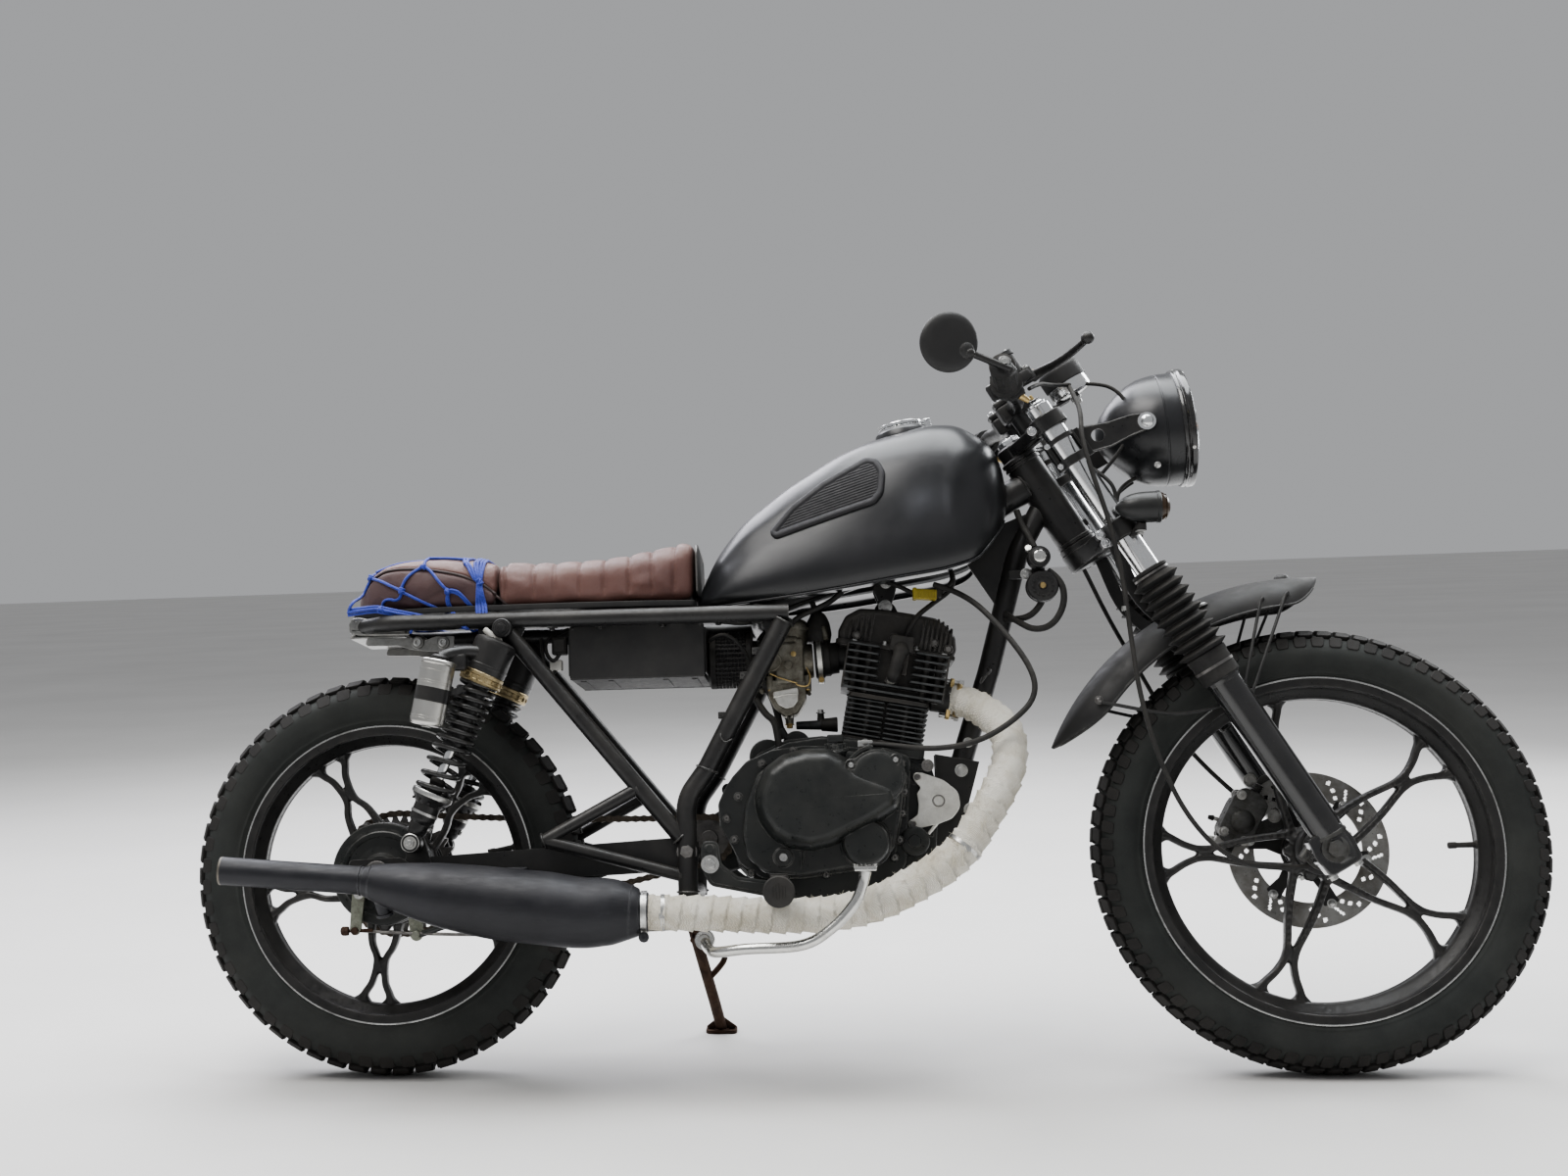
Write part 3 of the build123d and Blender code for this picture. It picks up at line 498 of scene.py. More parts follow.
# ------------------------------------------------------- materials
class Mat:
    """A procedural material; every pattern reads the piece's own coordinates."""

    def __init__(s, name, rough=0.5, metal=0.0, **sockets):
        s.m = bpy.data.materials.new(name)
        s.m.use_nodes = True
        s.n, s.l = s.m.node_tree.nodes, s.m.node_tree.links
        s.n.clear()
        s.out = s.n.new("ShaderNodeOutputMaterial")
        s.b = s.n.new("ShaderNodeBsdfPrincipled")
        s.l.new(s.b.outputs[0], s.out.inputs[0])
        s.b.inputs["Roughness"].default_value = rough
        s.b.inputs["Metallic"].default_value = metal
        for k, v in sockets.items():
            s.b.inputs[k.replace("_", " ")].default_value = v
        s.co = s.n.new("ShaderNodeTexCoord").outputs["Object"]

    def link(s, a, b):
        s.l.new(a, b)

    def put(s, value, socket):
        if isinstance(value, bpy.types.NodeSocket):
            s.l.new(value, socket)
        else:
            if hasattr(socket.default_value, "__len__") and len(socket.default_value) == 4 \
                    and len(value) == 3:
                value = (*value, 1)
            socket.default_value = value

    def noise(s, scale, detail=3.0, rough=0.55, distort=0.0, co=None):
        n = s.n.new("ShaderNodeTexNoise")
        n.inputs["Scale"].default_value = scale
        n.inputs["Detail"].default_value = detail
        n.inputs["Roughness"].default_value = rough
        n.inputs["Distortion"].default_value = distort
        s.link(co or s.co, n.inputs["Vector"])
        return n.outputs["Fac"]

    def voronoi(s, scale, feature="F1", co=None, out="Distance"):
        n = s.n.new("ShaderNodeTexVoronoi")
        n.feature = feature
        n.inputs["Scale"].default_value = scale
        s.link(co or s.co, n.inputs["Vector"])
        return n.outputs[out]

    def wave(s, scale, distort=0.0, direction="X", co=None, detail=2.0, kind="BANDS"):
        n = s.n.new("ShaderNodeTexWave")
        n.wave_type = kind
        if kind == "BANDS":
            n.bands_direction = direction
        else:
            n.rings_direction = direction
        n.inputs["Scale"].default_value = scale
        n.inputs["Distortion"].default_value = distort
        n.inputs["Detail"].default_value = detail
        s.link(co or s.co, n.inputs["Vector"])
        return n.outputs["Fac"]

    def mapped(s, scale=(1, 1, 1), rot=(0, 0, 0), loc=(0, 0, 0), co=None):
        n = s.n.new("ShaderNodeMapping")
        n.inputs["Scale"].default_value = scale
        n.inputs["Rotation"].default_value = rot
        n.inputs["Location"].default_value = loc
        s.link(co or s.co, n.inputs["Vector"])
        return n.outputs[0]

    def ramp(s, fac, *stops):
        n = s.n.new("ShaderNodeValToRGB")
        e = n.color_ramp.elements
        while len(e) < len(stops):
            e.new(0.5)
        for el, (p, c) in zip(e, stops):
            el.position = p
            el.color = (c, c, c, 1) if np.isscalar(c) else (*c, 1)
        s.link(fac, n.inputs[0])
        return n.outputs[0]

    def map(s, v, a, b, c=0.0, d=1.0):
        n = s.n.new("ShaderNodeMapRange")
        n.clamp = True
        s.link(v, n.inputs[0])
        for i, x in zip((1, 2, 3, 4), (a, b, c, d)):
            n.inputs[i].default_value = x
        return n.outputs[0]

    def math(s, op, a, b=0.0, c=None, clamp=False):
        n = s.n.new("ShaderNodeMath")
        n.operation = op
        n.use_clamp = clamp
        s.put(a, n.inputs[0])
        s.put(b, n.inputs[1])
        if c is not None:
            s.put(c, n.inputs[2])
        return n.outputs[0]

    def mix(s, fac, a, b, blend="MIX"):
        n = s.n.new("ShaderNodeMix")
        n.data_type = "RGBA"
        n.blend_type = blend
        s.put(fac, n.inputs[0])
        s.put(a, n.inputs[6])
        s.put(b, n.inputs[7])
        return n.outputs[2]

    def bump(s, height, strength=0.3, dist=0.001, normal=None):
        n = s.n.new("ShaderNodeBump")
        n.inputs["Strength"].default_value = strength
        n.inputs["Distance"].default_value = dist
        s.link(height, n.inputs["Height"])
        if normal is not None:
            s.link(normal, n.inputs["Normal"])
        s.link(n.outputs[0], s.b.inputs["Normal"])
        return n.outputs[0]

    def upward(s, a=0.2, b=0.95):
        """How much the surface faces up."""
        g = s.n.new("ShaderNodeNewGeometry")
        x = s.n.new("ShaderNodeSeparateXYZ")
        s.link(g.outputs["Normal"], x.inputs[0])
        return s.map(x.outputs[2], a, b)

    def edge(s, radius=0.002, k=6.0):
        """Near 1 along edges."""
        bv = s.n.new("ShaderNodeBevel")
        bv.samples = 4
        bv.inputs["Radius"].default_value = radius
        g = s.n.new("ShaderNodeNewGeometry")
        d = s.n.new("ShaderNodeVectorMath")
        d.operation = "DOT_PRODUCT"
        s.link(bv.outputs[0], d.inputs[0])
        s.link(g.outputs["True Normal"], d.inputs[1])
        return s.math("MULTIPLY", s.math("SUBTRACT", 1.0, d.outputs["Value"]), k, clamp=True)

    def color(s, v):
        s.put(v, s.b.inputs["Base Color"])

    def rough(s, v):
        s.put(v, s.b.inputs["Roughness"])

    def metal(s, v):
        s.put(v, s.b.inputs["Metallic"])


def paint(name, c1, c2, rough=0.4, vary=0.12, dust=0.3, dust_and_sheen_c=(0.17, 0.155, 0.135),
          grain=900.0, bump=0.12, metal=0.0, mottle=14.0, wear=0.0, wear_c=(0.4, 0.39, 0.37),
          wear_r=0.0022, specks=0.0, **kw):
    """Painted or moulded surface with mottling, dust on top faces (its colour can also carry a painted top highlight)
    and worn edges.
    """
    m = Mat(name, rough, metal, **kw)
    big = m.noise(mottle, 4, 0.6)
    fine = m.noise(mottle * 9, 3, 0.6)
    base = m.mix(m.map(big, 0.35, 0.68), c1, c2)
    r = m.math("ADD", m.map(fine, 0.3, 0.7, -vary, vary), rough)
    if dust:
        d = m.math("MULTIPLY", m.upward(-0.5, 0.95), m.map(m.noise(mottle * 2.2, 4, 0.5), 0.2, 0.8))
        d = m.math("MULTIPLY", d, dust, clamp=True)
        base = m.mix(d, base, dust_and_sheen_c)
        r = m.math("ADD", r, m.math("MULTIPLY", d, 0.5), clamp=True)
    if specks:
        v = m.map(m.noise(420.0, 2, 0.7), 0.66, 0.72)
        base = m.mix(m.math("MULTIPLY", v, specks), base, dust_and_sheen_c)
    if wear:
        e = m.math("MULTIPLY", m.edge(wear_r, 5.0), m.map(m.noise(60.0, 5, 0.7), 0.42, 0.62), clamp=True)
        e = m.math("MULTIPLY", e, wear)
        base = m.mix(e, base, wear_c)
        r = m.math("SUBTRACT", r, m.math("MULTIPLY", e, 0.1))
        m.metal(m.math("ADD", m.math("MULTIPLY", e, 0.8), metal, clamp=True))
    m.color(base)
    m.rough(r)
    m.bump(m.noise(grain, 3, 0.6), bump, 0.0005)
    return m.m


def metal_mat(name, c1, c2, rough=0.35, vary=0.12, grime=0.3, grime_c=(0.06, 0.05, 0.04),
              scale=30.0, brushed=None, bump=0.08, **kw):
    """Bare metal with stains in patches and fine scratches."""
    m = Mat(name, rough, 1.0, **kw)
    big = m.noise(scale, 5, 0.65)
    base = m.mix(m.map(big, 0.35, 0.65), c1, c2)
    g = m.math("MULTIPLY", m.map(m.noise(scale * 1.7, 6, 0.7, 0.4), 0.48, 0.72), grime)
    base = m.mix(g, base, grime_c)
    m.color(base)
    m.metal(m.math("SUBTRACT", 1.0, m.math("MULTIPLY", g, 0.7)))
    fine = m.noise(scale * 16, 3, 0.6, co=m.mapped(brushed) if brushed else None)
    m.rough(m.math("ADD", m.map(fine, 0.25, 0.75, rough - vary, rough + vary),
                   m.math("MULTIPLY", g, 0.4), clamp=True))
    m.bump(fine, bump, 0.0004)
    return m.m


BLACK = paint("black frame paint", (0.011, 0.011, 0.012), (0.020, 0.020, 0.020), 0.34, 0.1,
              dust=0.3, wear=0.5, Specular_IOR_Level=0.5)
ENGINE = paint("black engine paint", (0.012, 0.0142, 0.0142), (0.0205, 0.0232, 0.0228), 0.33, 0.10,
               dust=0.24, wear=0.55, bump=0.25, grain=500, specks=0.03)
FINS = paint("black fins", (0.012, 0.012, 0.012), (0.03, 0.026, 0.022), 0.55, 0.12, dust=0.4,
             wear=0.7, wear_c=(0.25, 0.24, 0.23))
# the lavender colour on the tank's up-facing faces is partly dust, partly a painted highlight on the tops
TANKP = paint("satin black tank", (0.0112, 0.0120, 0.0130), (0.0165, 0.0175, 0.0190), 0.30, 0.04,
              dust=0.16, dust_and_sheen_c=(0.16, 0.145, 0.16), mottle=6.0, bump=0.05, Coat_Weight=0.25,
              Coat_Roughness=0.28)
MATT = paint("matt black fender", (0.0165, 0.0165, 0.0175), (0.026, 0.026, 0.026), 0.5, 0.08,
             dust=0.18, mottle=9, grain=700, bump=0.18, wear=0.25)
PLASTIC = paint("black plastic", (0.014, 0.014, 0.015), (0.022, 0.022, 0.022), 0.5, 0.1,
                dust=0.25, grain=1400, bump=0.35)
RUBBER = paint("black rubber", (0.012, 0.012, 0.012), (0.024, 0.023, 0.022), 0.66, 0.1, dust=0.4,
               grain=800, bump=0.3)
PADR = paint("pad rubber", (0.0135, 0.013, 0.0145), (0.021, 0.0205, 0.0225), 0.56, 0.08, dust=0.22,
             dust_and_sheen_c=(0.12, 0.115, 0.13), grain=1200, bump=0.35)
GLOSSB = paint("glossy black slider", (0.009, 0.009, 0.0095), (0.016, 0.016, 0.017), 0.2, 0.06,
               dust=0.15, grain=500, bump=0.05, wear=0.3, Coat_Weight=1.0, Coat_Roughness=0.09)
WHEELP = paint("black wheel paint", (0.011, 0.0112, 0.0112), (0.022, 0.0215, 0.021), 0.36, 0.12,
               dust=0.26, dust_and_sheen_c=(0.105, 0.095, 0.085), mottle=22, bump=0.3, grain=420, wear=0.4,
               wear_c=(0.22, 0.2, 0.18))
SHOCKB = paint("shock black", (0.012, 0.012, 0.013), (0.02, 0.02, 0.02), 0.34, 0.1, dust=0.22,
               wear=0.3)
WHITE = paint("white plastic", (0.66, 0.65, 0.61), (0.55, 0.53, 0.48), 0.42, 0.1, dust=0.3,
              dust_and_sheen_c=(0.3, 0.27, 0.22), bump=0.1)
YELLOW = paint("yellow connector", (0.42, 0.34, 0.045), (0.32, 0.25, 0.03), 0.45, 0.1, dust=0.2)
ALLOY = metal_mat("dull cast alloy", (0.42, 0.41, 0.39), (0.58, 0.57, 0.54), 0.46, 0.12, 0.5,
                  (0.07, 0.06, 0.045), 45, bump=0.25)
POLISH = metal_mat("polished metal", (0.62, 0.62, 0.6), (0.75, 0.74, 0.71), 0.2, 0.1, 0.25,
                   (0.1, 0.09, 0.06), 25)
CHROME = metal_mat("chrome", (0.84, 0.85, 0.86), (0.9, 0.9, 0.9), 0.17, 0.06, 0.15,
                   (0.18, 0.15, 0.11), 60)
STEEL = metal_mat("bright bolt steel", (0.5, 0.5, 0.49), (0.66, 0.66, 0.64), 0.32, 0.12, 0.45,
                  (0.09, 0.065, 0.045), 90)
GOLD = metal_mat("gold anodised", (0.62, 0.42, 0.14), (0.72, 0.52, 0.2), 0.3, 0.1, 0.5,
                 (0.12, 0.085, 0.04), 110)
BRASS = metal_mat("brass", (0.52, 0.38, 0.17), (0.6, 0.47, 0.25), 0.38, 0.1, 0.5,
                  (0.09, 0.06, 0.03), 80)
RESERV = metal_mat("silver reservoir", (0.58, 0.57, 0.54), (0.66, 0.65, 0.62), 0.3, 0.02, 0.10,
                   (0.3, 0.27, 0.22), 12, bump=0.01)
CHAINM = metal_mat("oiled chain steel", (0.10, 0.085, 0.07), (0.2, 0.17, 0.14), 0.42, 0.12, 0.75,
                   (0.015, 0.012, 0.01), 70, bump=0.3)
RUST = metal_mat("rusty stand steel", (0.060, 0.038, 0.030), (0.10, 0.068, 0.052), 0.62, 0.14, 0.8,
                 (0.028, 0.016, 0.012), 38, bump=0.6)
DARKST = metal_mat("dark worn steel", (0.16, 0.155, 0.15), (0.28, 0.27, 0.26), 0.42, 0.12, 0.6,
                   (0.03, 0.027, 0.023), 40, bump=0.25)
# bright metal for the rim lip: partly worn bare metal, partly a painted highlight along the lip
RIMEDGE = metal_mat("rim lip wear and painted highlight", (0.5, 0.5, 0.49), (0.68, 0.68, 0.66), 0.24, 0.08, 1.0,
                    (0.02, 0.02, 0.02), 9)


def brake_steel():
    m = Mat("brake disc steel", 0.34, 1.0, Anisotropic=0.3)
    rings = m.noise(240.0, 3, 0.6, co=m.mapped((1, 1, 1)))
    stain = m.map(m.noise(26.0, 5, 0.7), 0.4, 0.7)
    m.color(m.mix(stain, (0.34, 0.335, 0.32), (0.19, 0.175, 0.155)))
    m.rough(m.map(rings, 0.3, 0.7, 0.26, 0.46))
    m.bump(rings, 0.12, 0.0003)
    return m.m


DISCM = brake_steel()


def muffler_steel():
    m = Mat("satin grey muffler", 0.42, 0.25, Specular_IOR_Level=0.55)
    big = m.noise(11.0, 5, 0.6)
    scr = m.noise(190.0, 4, 0.65, co=m.mapped((0.25, 1, 1)))
    base = m.mix(m.map(big, 0.35, 0.7), (0.017, 0.0175, 0.021), (0.028, 0.0285, 0.034))
    base = m.mix(m.map(scr, 0.6, 0.74, 0, 0.2), base, (0.08, 0.08, 0.085))
    d = m.math("MULTIPLY", m.upward(0.0, 0.9), m.map(m.noise(24.0, 5, 0.7), 0.35, 0.7))
    base = m.mix(m.math("MULTIPLY", d, 0.3), base, (0.085, 0.08, 0.082))
    e = m.math("MULTIPLY", m.edge(0.003, 6.0), m.map(m.noise(70.0, 4, 0.7), 0.3, 0.6), clamp=True)
    m.color(m.mix(m.math("MULTIPLY", e, 0.4), base, (0.2, 0.2, 0.21)))
    m.rough(m.math("ADD", m.map(scr, 0.3, 0.7, 0.33, 0.52), m.math("MULTIPLY", d, 0.2)))
    m.bump(m.noise(600.0, 3, 0.6), 0.2, 0.0005)
    return m.m


MUFFLER = muffler_steel()


def tyre_rubber(name, c1, c2, dust):
    m = Mat(name, 0.78, 0.0, Specular_IOR_Level=0.35)
    big = m.noise(16.0, 5, 0.65)
    base = m.mix(m.map(big, 0.3, 0.7), c1, c2)
    fine = m.noise(320.0, 4, 0.7)
    base = m.mix(m.map(fine, 0.52, 0.75, 0, 0.35), base, dust)
    d = m.map(m.noise(7.0, 4, 0.6), 0.42, 0.66, 0.0, 0.32)
    base = m.mix(d, base, dust)
    m.color(base)
    m.rough(m.map(fine, 0.3, 0.7, 0.68, 0.88))
    m.bump(m.noise(1100.0, 3, 0.65), 0.35, 0.0005)
    return m.m


SIDEWALL = tyre_rubber("tyre sidewall", (0.020, 0.022, 0.021), (0.034, 0.037, 0.035),
                       (0.062, 0.062, 0.056))
TREAD = tyre_rubber("tyre tread", (0.015, 0.0145, 0.014), (0.028, 0.0265, 0.025),
                    (0.062, 0.057, 0.052))


def leather(name, c1, c2, crease_shade_c, top_wear_and_highlight):
    m = Mat(name, 0.42, 0.0, Specular_IOR_Level=0.45, Sheen_Weight=0.08)
    big = m.noise(9.0, 5, 0.6, 0.3)
    base = m.mix(m.map(big, 0.32, 0.68), c1, c2)
    cells = m.voronoi(620.0, "DISTANCE_TO_EDGE")
    crease = m.map(cells, 0.0, 0.12)
    pores = m.noise(900.0, 3, 0.7)
    # the grain creases are coloured darker: painted shade in the creases
    base = m.mix(m.map(crease, 0.0, 1.0, 0.45, 0.0), base, crease_shade_c)
    # lighter pinkish tone on up-facing faces: partly wear, partly a painted highlight on the tops
    w = m.math("MULTIPLY", m.upward(0.15, 0.9), m.map(m.noise(13.0, 5, 0.65, 0.5), 0.36, 0.66))
    base = m.mix(m.math("MULTIPLY", w, top_wear_and_highlight), base, (0.29, 0.185, 0.155))
    m.color(base)
    m.rough(m.math("ADD", m.map(pores, 0.3, 0.7, 0.26, 0.42), m.math("MULTIPLY", w, 0.05)))
    h = m.math("ADD", m.math("MULTIPLY", crease, 0.7), m.math("MULTIPLY", pores, 0.5))
    h = m.math("ADD", h, m.math("MULTIPLY", m.noise(46.0, 4, 0.6), 1.6))
    m.bump(h, 0.45, 0.0009)
    return m.m


LEATHER = leather("brown leather", (0.112, 0.050, 0.042), (0.150, 0.070, 0.057), (0.045, 0.018, 0.014), 0.34)
LEATHER2 = leather("dark brown leather", (0.074, 0.040, 0.042), (0.105, 0.058, 0.056),
                   (0.03, 0.016, 0.014), 0.14)


def tape_mat():
    m = Mat("white heat tape", 0.88, 0.0, Specular_IOR_Level=0.25)
    w1 = m.wave(230.0, 0.6, "DIAGONAL", detail=1.0)
    w2 = m.wave(230.0, 0.6, "X", detail=1.0, co=m.mapped(rot=(0.3, 0.9, -0.8)))
    weave = m.math("MULTIPLY", w1, w2)
    stain = m.noise(17.0, 5, 0.7, 0.6)
    base = m.mix(m.map(stain, 0.42, 0.66), (0.88, 0.85, 0.77), (0.68, 0.63, 0.52))
    base = m.mix(m.map(m.noise(42.0, 5, 0.75), 0.58, 0.72, 0, 0.55), base, (0.33, 0.27, 0.19))
    # darker colour in the weave's low spots between the threads: painted shade
    base = m.mix(m.map(weave, 0.0, 0.3, 0.34, 0.0), base, (0.16, 0.14, 0.11))
    m.color(base)
    h = m.math("ADD", m.math("MULTIPLY", weave, 1.0), m.math("MULTIPLY", m.noise(160.0, 4, 0.7), 1.2))
    m.bump(h, 0.7, 0.0012)
    return m.m


TAPE = tape_mat()


def elastic():
    m = Mat("blue elastic cord", 0.55, 0.0, Sheen_Weight=0.25, Sheen_Roughness=0.4)
    a = m.wave(420.0, 1.0, "DIAGONAL", detail=1.0)
    b = m.wave(420.0, 1.0, "Z", detail=1.0, co=m.mapped(rot=(0.7, -0.6, 0.4)))
    k = m.math("MULTIPLY", a, b)
    # dark where the braid's strands dip, bright on the raised strands: painted shade in the braid
    base = m.mix(m.map(k, 0.0, 0.4), (0.020, 0.030, 0.20), (0.060, 0.105, 0.60))
    base = m.mix(m.map(m.noise(60.0, 4, 0.6), 0.45, 0.7, 0, 0.4), base, (0.10, 0.14, 0.62))
    m.color(base)
    m.bump(k, 0.6, 0.0006)
    return m.m


BLUE = elastic()


def lens_mat(name, tint, rough=0.08):
    m = Mat(name, rough, 0.0, Transmission_Weight=0.92, IOR=1.45)
    m.color(m.mix(m.map(m.noise(30.0, 3, 0.5), 0.4, 0.7), tint, tuple(c * 0.86 for c in tint)))
    ribs = m.wave(70.0, 0.0, "X", detail=0.0, co=m.mapped(rot=(0, 0, radians(90))))
    m.bump(ribs, 0.35, 0.0015)
    return m.m


LENS = lens_mat("fluted lamp glass", (0.92, 0.94, 0.95))
AMBER = lens_mat("smoked amber lens", (0.45, 0.16, 0.03), 0.2)


def mirror_mat():
    m = Mat("mirror glass", 0.04, 1.0)
    m.color(m.mix(m.map(m.noise(40.0, 3, 0.6), 0.4, 0.7), (0.78, 0.8, 0.82), (0.7, 0.72, 0.74)))
    m.rough(m.map(m.noise(60.0, 4, 0.7), 0.4, 0.8, 0.03, 0.12))
    return m.m


MIRROR = mirror_mat()
SPRINGM = paint("black spring", (0.012, 0.012, 0.012), (0.024, 0.024, 0.024), 0.3, 0.1, dust=0.25,
                wear=0.2, Coat_Weight=0.3)
FOAM = paint("dark foam filter", (0.02, 0.02, 0.021), (0.035, 0.033, 0.03), 0.85, 0.08, dust=0.45,
             grain=260, bump=0.9)
# ---------------------------------------------------------- wheels
def polar(axle, r, a, y):
    """Point at radius r and angle a (degrees, from ahead, going up) on the wheel."""
    return (axle[0] + r * cos(radians(a)), y, axle[2] + r * sin(radians(a)))


def tyre_shape(axle, R, sec, half, depth, rows, n_pitch, profile_side):
    """Smooth carcass and its tread blocks. rows: (phi0, phi1, share of pitch, offset, skew, depth scale)."""
    s = Shape()
    prof = [(r, -y) for r, y in profile_side] + [(r, y) for r, y in profile_side[::-1]][1:]
    prof = catmull(prof, 3)
    s.lathe([(p[0], p[1]) for p in prof], axle, (0, 1, 0), 180, 0, x=(1, 0, 0))
    rc = R - sec
    th = 2 * pi / n_pitch
    verts, faces, mats = [], [], []
    ring_h = [(sec - depth - 2.0, 1.10), (sec - 1.6, 1.0), (sec - 0.5, 0.965), (sec, 0.90)]
    wob = rng.normal(0, 1, (len(rows), n_pitch, 2))
    for k, (p0, p1, share, off, skew, dk) in enumerate(rows):
        pc, hp = radians((p0 + p1) / 2), radians(p1 - p0) / 2
        hs = th * share / 2
        for i in range(n_pitch):
            t0 = (i + off) * th + wob[k, i, 0] * th * 0.006
            c = 0.28
            foot = [(-1, -1 + c), (-1 + c, -1), (1 - c, -1), (1, -1 + c),
                    (1, 1 - c), (1 - c, 1), (-1 + c, 1), (-1, 1 - c)]
            base = len(verts)
            for q, g in ring_h:
                if q < sec - 3:
                    q = sec - depth * dk - 2.0
                for a, b in foot:
                    ph = pc + b * hp * g
                    tt = t0 + (a * hs * g + skew * b * th)
                    r = rc + q * cos(ph)
                    verts.append((axle[0] + r * cos(tt), q * sin(ph), axle[2] + r * sin(tt)))
            for m in range(len(ring_h) - 1):
                for j in range(8):
                    a, b = base + m * 8 + j, base + m * 8 + (j + 1) % 8
                    faces.append((a, b, b + 8, a + 8))
            faces.append(tuple(base + 24 + j for j in range(8)))
    s.add(verts, faces, 1)
    return s


REAR_SIDE = [(208, 30), (213, 33.5), (217.5, 35.6), (221, 38.2), (224.5, 41.8), (226.5, 42.2),
             (229, 43.0), (236, 46.6), (244, 48.8), (252, 49.6), (260, 48.6), (266, 45.8),
             (272, 40.0), (277.5, 31), (281.6, 20), (283.6, 9), (284.2, 0)]
FRONT_SIDE = [(229, 29), (234, 32.5), (238.2, 34.4), (241.5, 36.6), (244.5, 39.6), (246.5, 40.0),
              (249, 41.0), (255, 44.2), (262, 46.0), (269, 46.4), (276, 44.8), (283, 40.6),
              (289, 34.0), (294, 25), (298.0, 15), (300.0, 6), (300.4, 0)]
REAR_ROWS = [(-10.5, 10.5, 0.74, 0.0, 0.0, 1.0), (14, 35, 0.72, 0.0, 0.05, 1.0),
             (-35, -14, 0.72, 0.0, -0.05, 1.0), (39, 63, 0.66, 0.5, 0.0, 0.95),
             (-63, -39, 0.66, 0.5, 0.0, 0.95)]
FRONT_ROWS = [(-11, 11, 0.78, 0.0, 0.0, 1.0), (15, 35, 0.78, 0.0, 0.10, 1.0),
              (-35, -15, 0.78, 0.0, -0.10, 1.0), (39, 62, 0.70, 0.5, 0.05, 1.0),
              (-62, -39, 0.70, 0.5, -0.05, 1.0)]
t = tyre_shape(AXLE_F, TYRE_F_R, TYRE_F_SEC, 50, 7.5, FRONT_ROWS, 76, FRONT_SIDE)
piece("front_tyre_tread", t, [SIDEWALL, TREAD], "front_wheel", "front_tyre", angle=40)
t = tyre_shape(AXLE_R, TYRE_R_R, TYRE_R_SEC, 54, 11.0, REAR_ROWS, 54, REAR_SIDE)
piece("rear_tyre_tread", t, [SIDEWALL, TREAD], "rear_wheel", "rear_tyre", angle=40)


def rim_shape(axle, R, w, inner):
    s = Shape()
    # paint, from one lip over the well to the other
    side = [(R - 1.6, w - 3.2), (R - 0.4, w - 2.2), (R, w - 1.1), (R - 0.5, w - 0.2),
            (R - 1.6, w), (R - 9, w - 1.0), (R - 12.4, w - 0.6), (R - 13.8, w - 1.4),
            (R - 14.2, w - 3.2), (R - 14.0, w - 8), (R - 14.6, w - 10.5), (R - 17.5, w - 13.5),
            (inner + 8, 20.5), (inner + 3.6, 16.2), (inner + 1.0, 13.6), (inner, 10.5),
            (inner, 7.2), (inner + 0.8, 5.4)]
    prof = [(r, -y) for r, y in side] + [(r, y) for r, y in side[::-1]]
    s.lathe(prof, axle, (0, 1, 0), 192, 0, x=(1, 0, 0))
    for sg in (-1, 1):
        # worn bare lip, a hair proud of the paint; its bright metal is partly wear, partly a painted highlight along
        # the lip
        lip = [(R - 0.1, sg * (w - 2.3)), (R + 0.35, sg * (w - 1.1)), (R - 0.2, sg * (w + 0.15)),
               (R - 1.5, sg * (w + 0.3)), (R - 2.4, sg * (w + 0.1))]
        s.lathe(lip, axle, (0, 1, 0), 192, 1, x=(1, 0, 0))
    # closed back inside the tyre
    s.lathe([(R - 10, -w + 5), (R - 16, -w + 14), (R - 16, w - 14), (R - 10, w - 5)], axle,
            (0, 1, 0), 96, 0, x=(1, 0, 0))
    return s


def bar_rings(s, pts, hw, hd, y_up=(0, 1, 0)):
    """Cast bar along pts: half width hw across the wheel's plane, half depth hd along the axle."""
    p = np.asarray(pts, float)
    t = np.gradient(p, axis=0)
    out = []
    m = len(p)
    hw = np.interp(np.linspace(0, 1, m), np.linspace(0, 1, len(hw)), hw)
    hd = np.interp(np.linspace(0, 1, m), np.linspace(0, 1, len(hd)), hd)
    a = np.arange(16) * 2 * pi / 16
    ca_, sa_ = np.cos(a), np.sin(a)
    sq = np.stack([np.sign(ca_) * np.abs(ca_) ** 0.55, np.sign(sa_) * np.abs(sa_) ** 0.55], 1)
    for i in range(m):
        d = unit(t[i])
        w = unit(np.cross(d, y_up))
        out.append(p[i] + sq[:, :1] * w * hw[i] + sq[:, 1:] * np.array(y_up) * hd[i])
    s.rings(out)


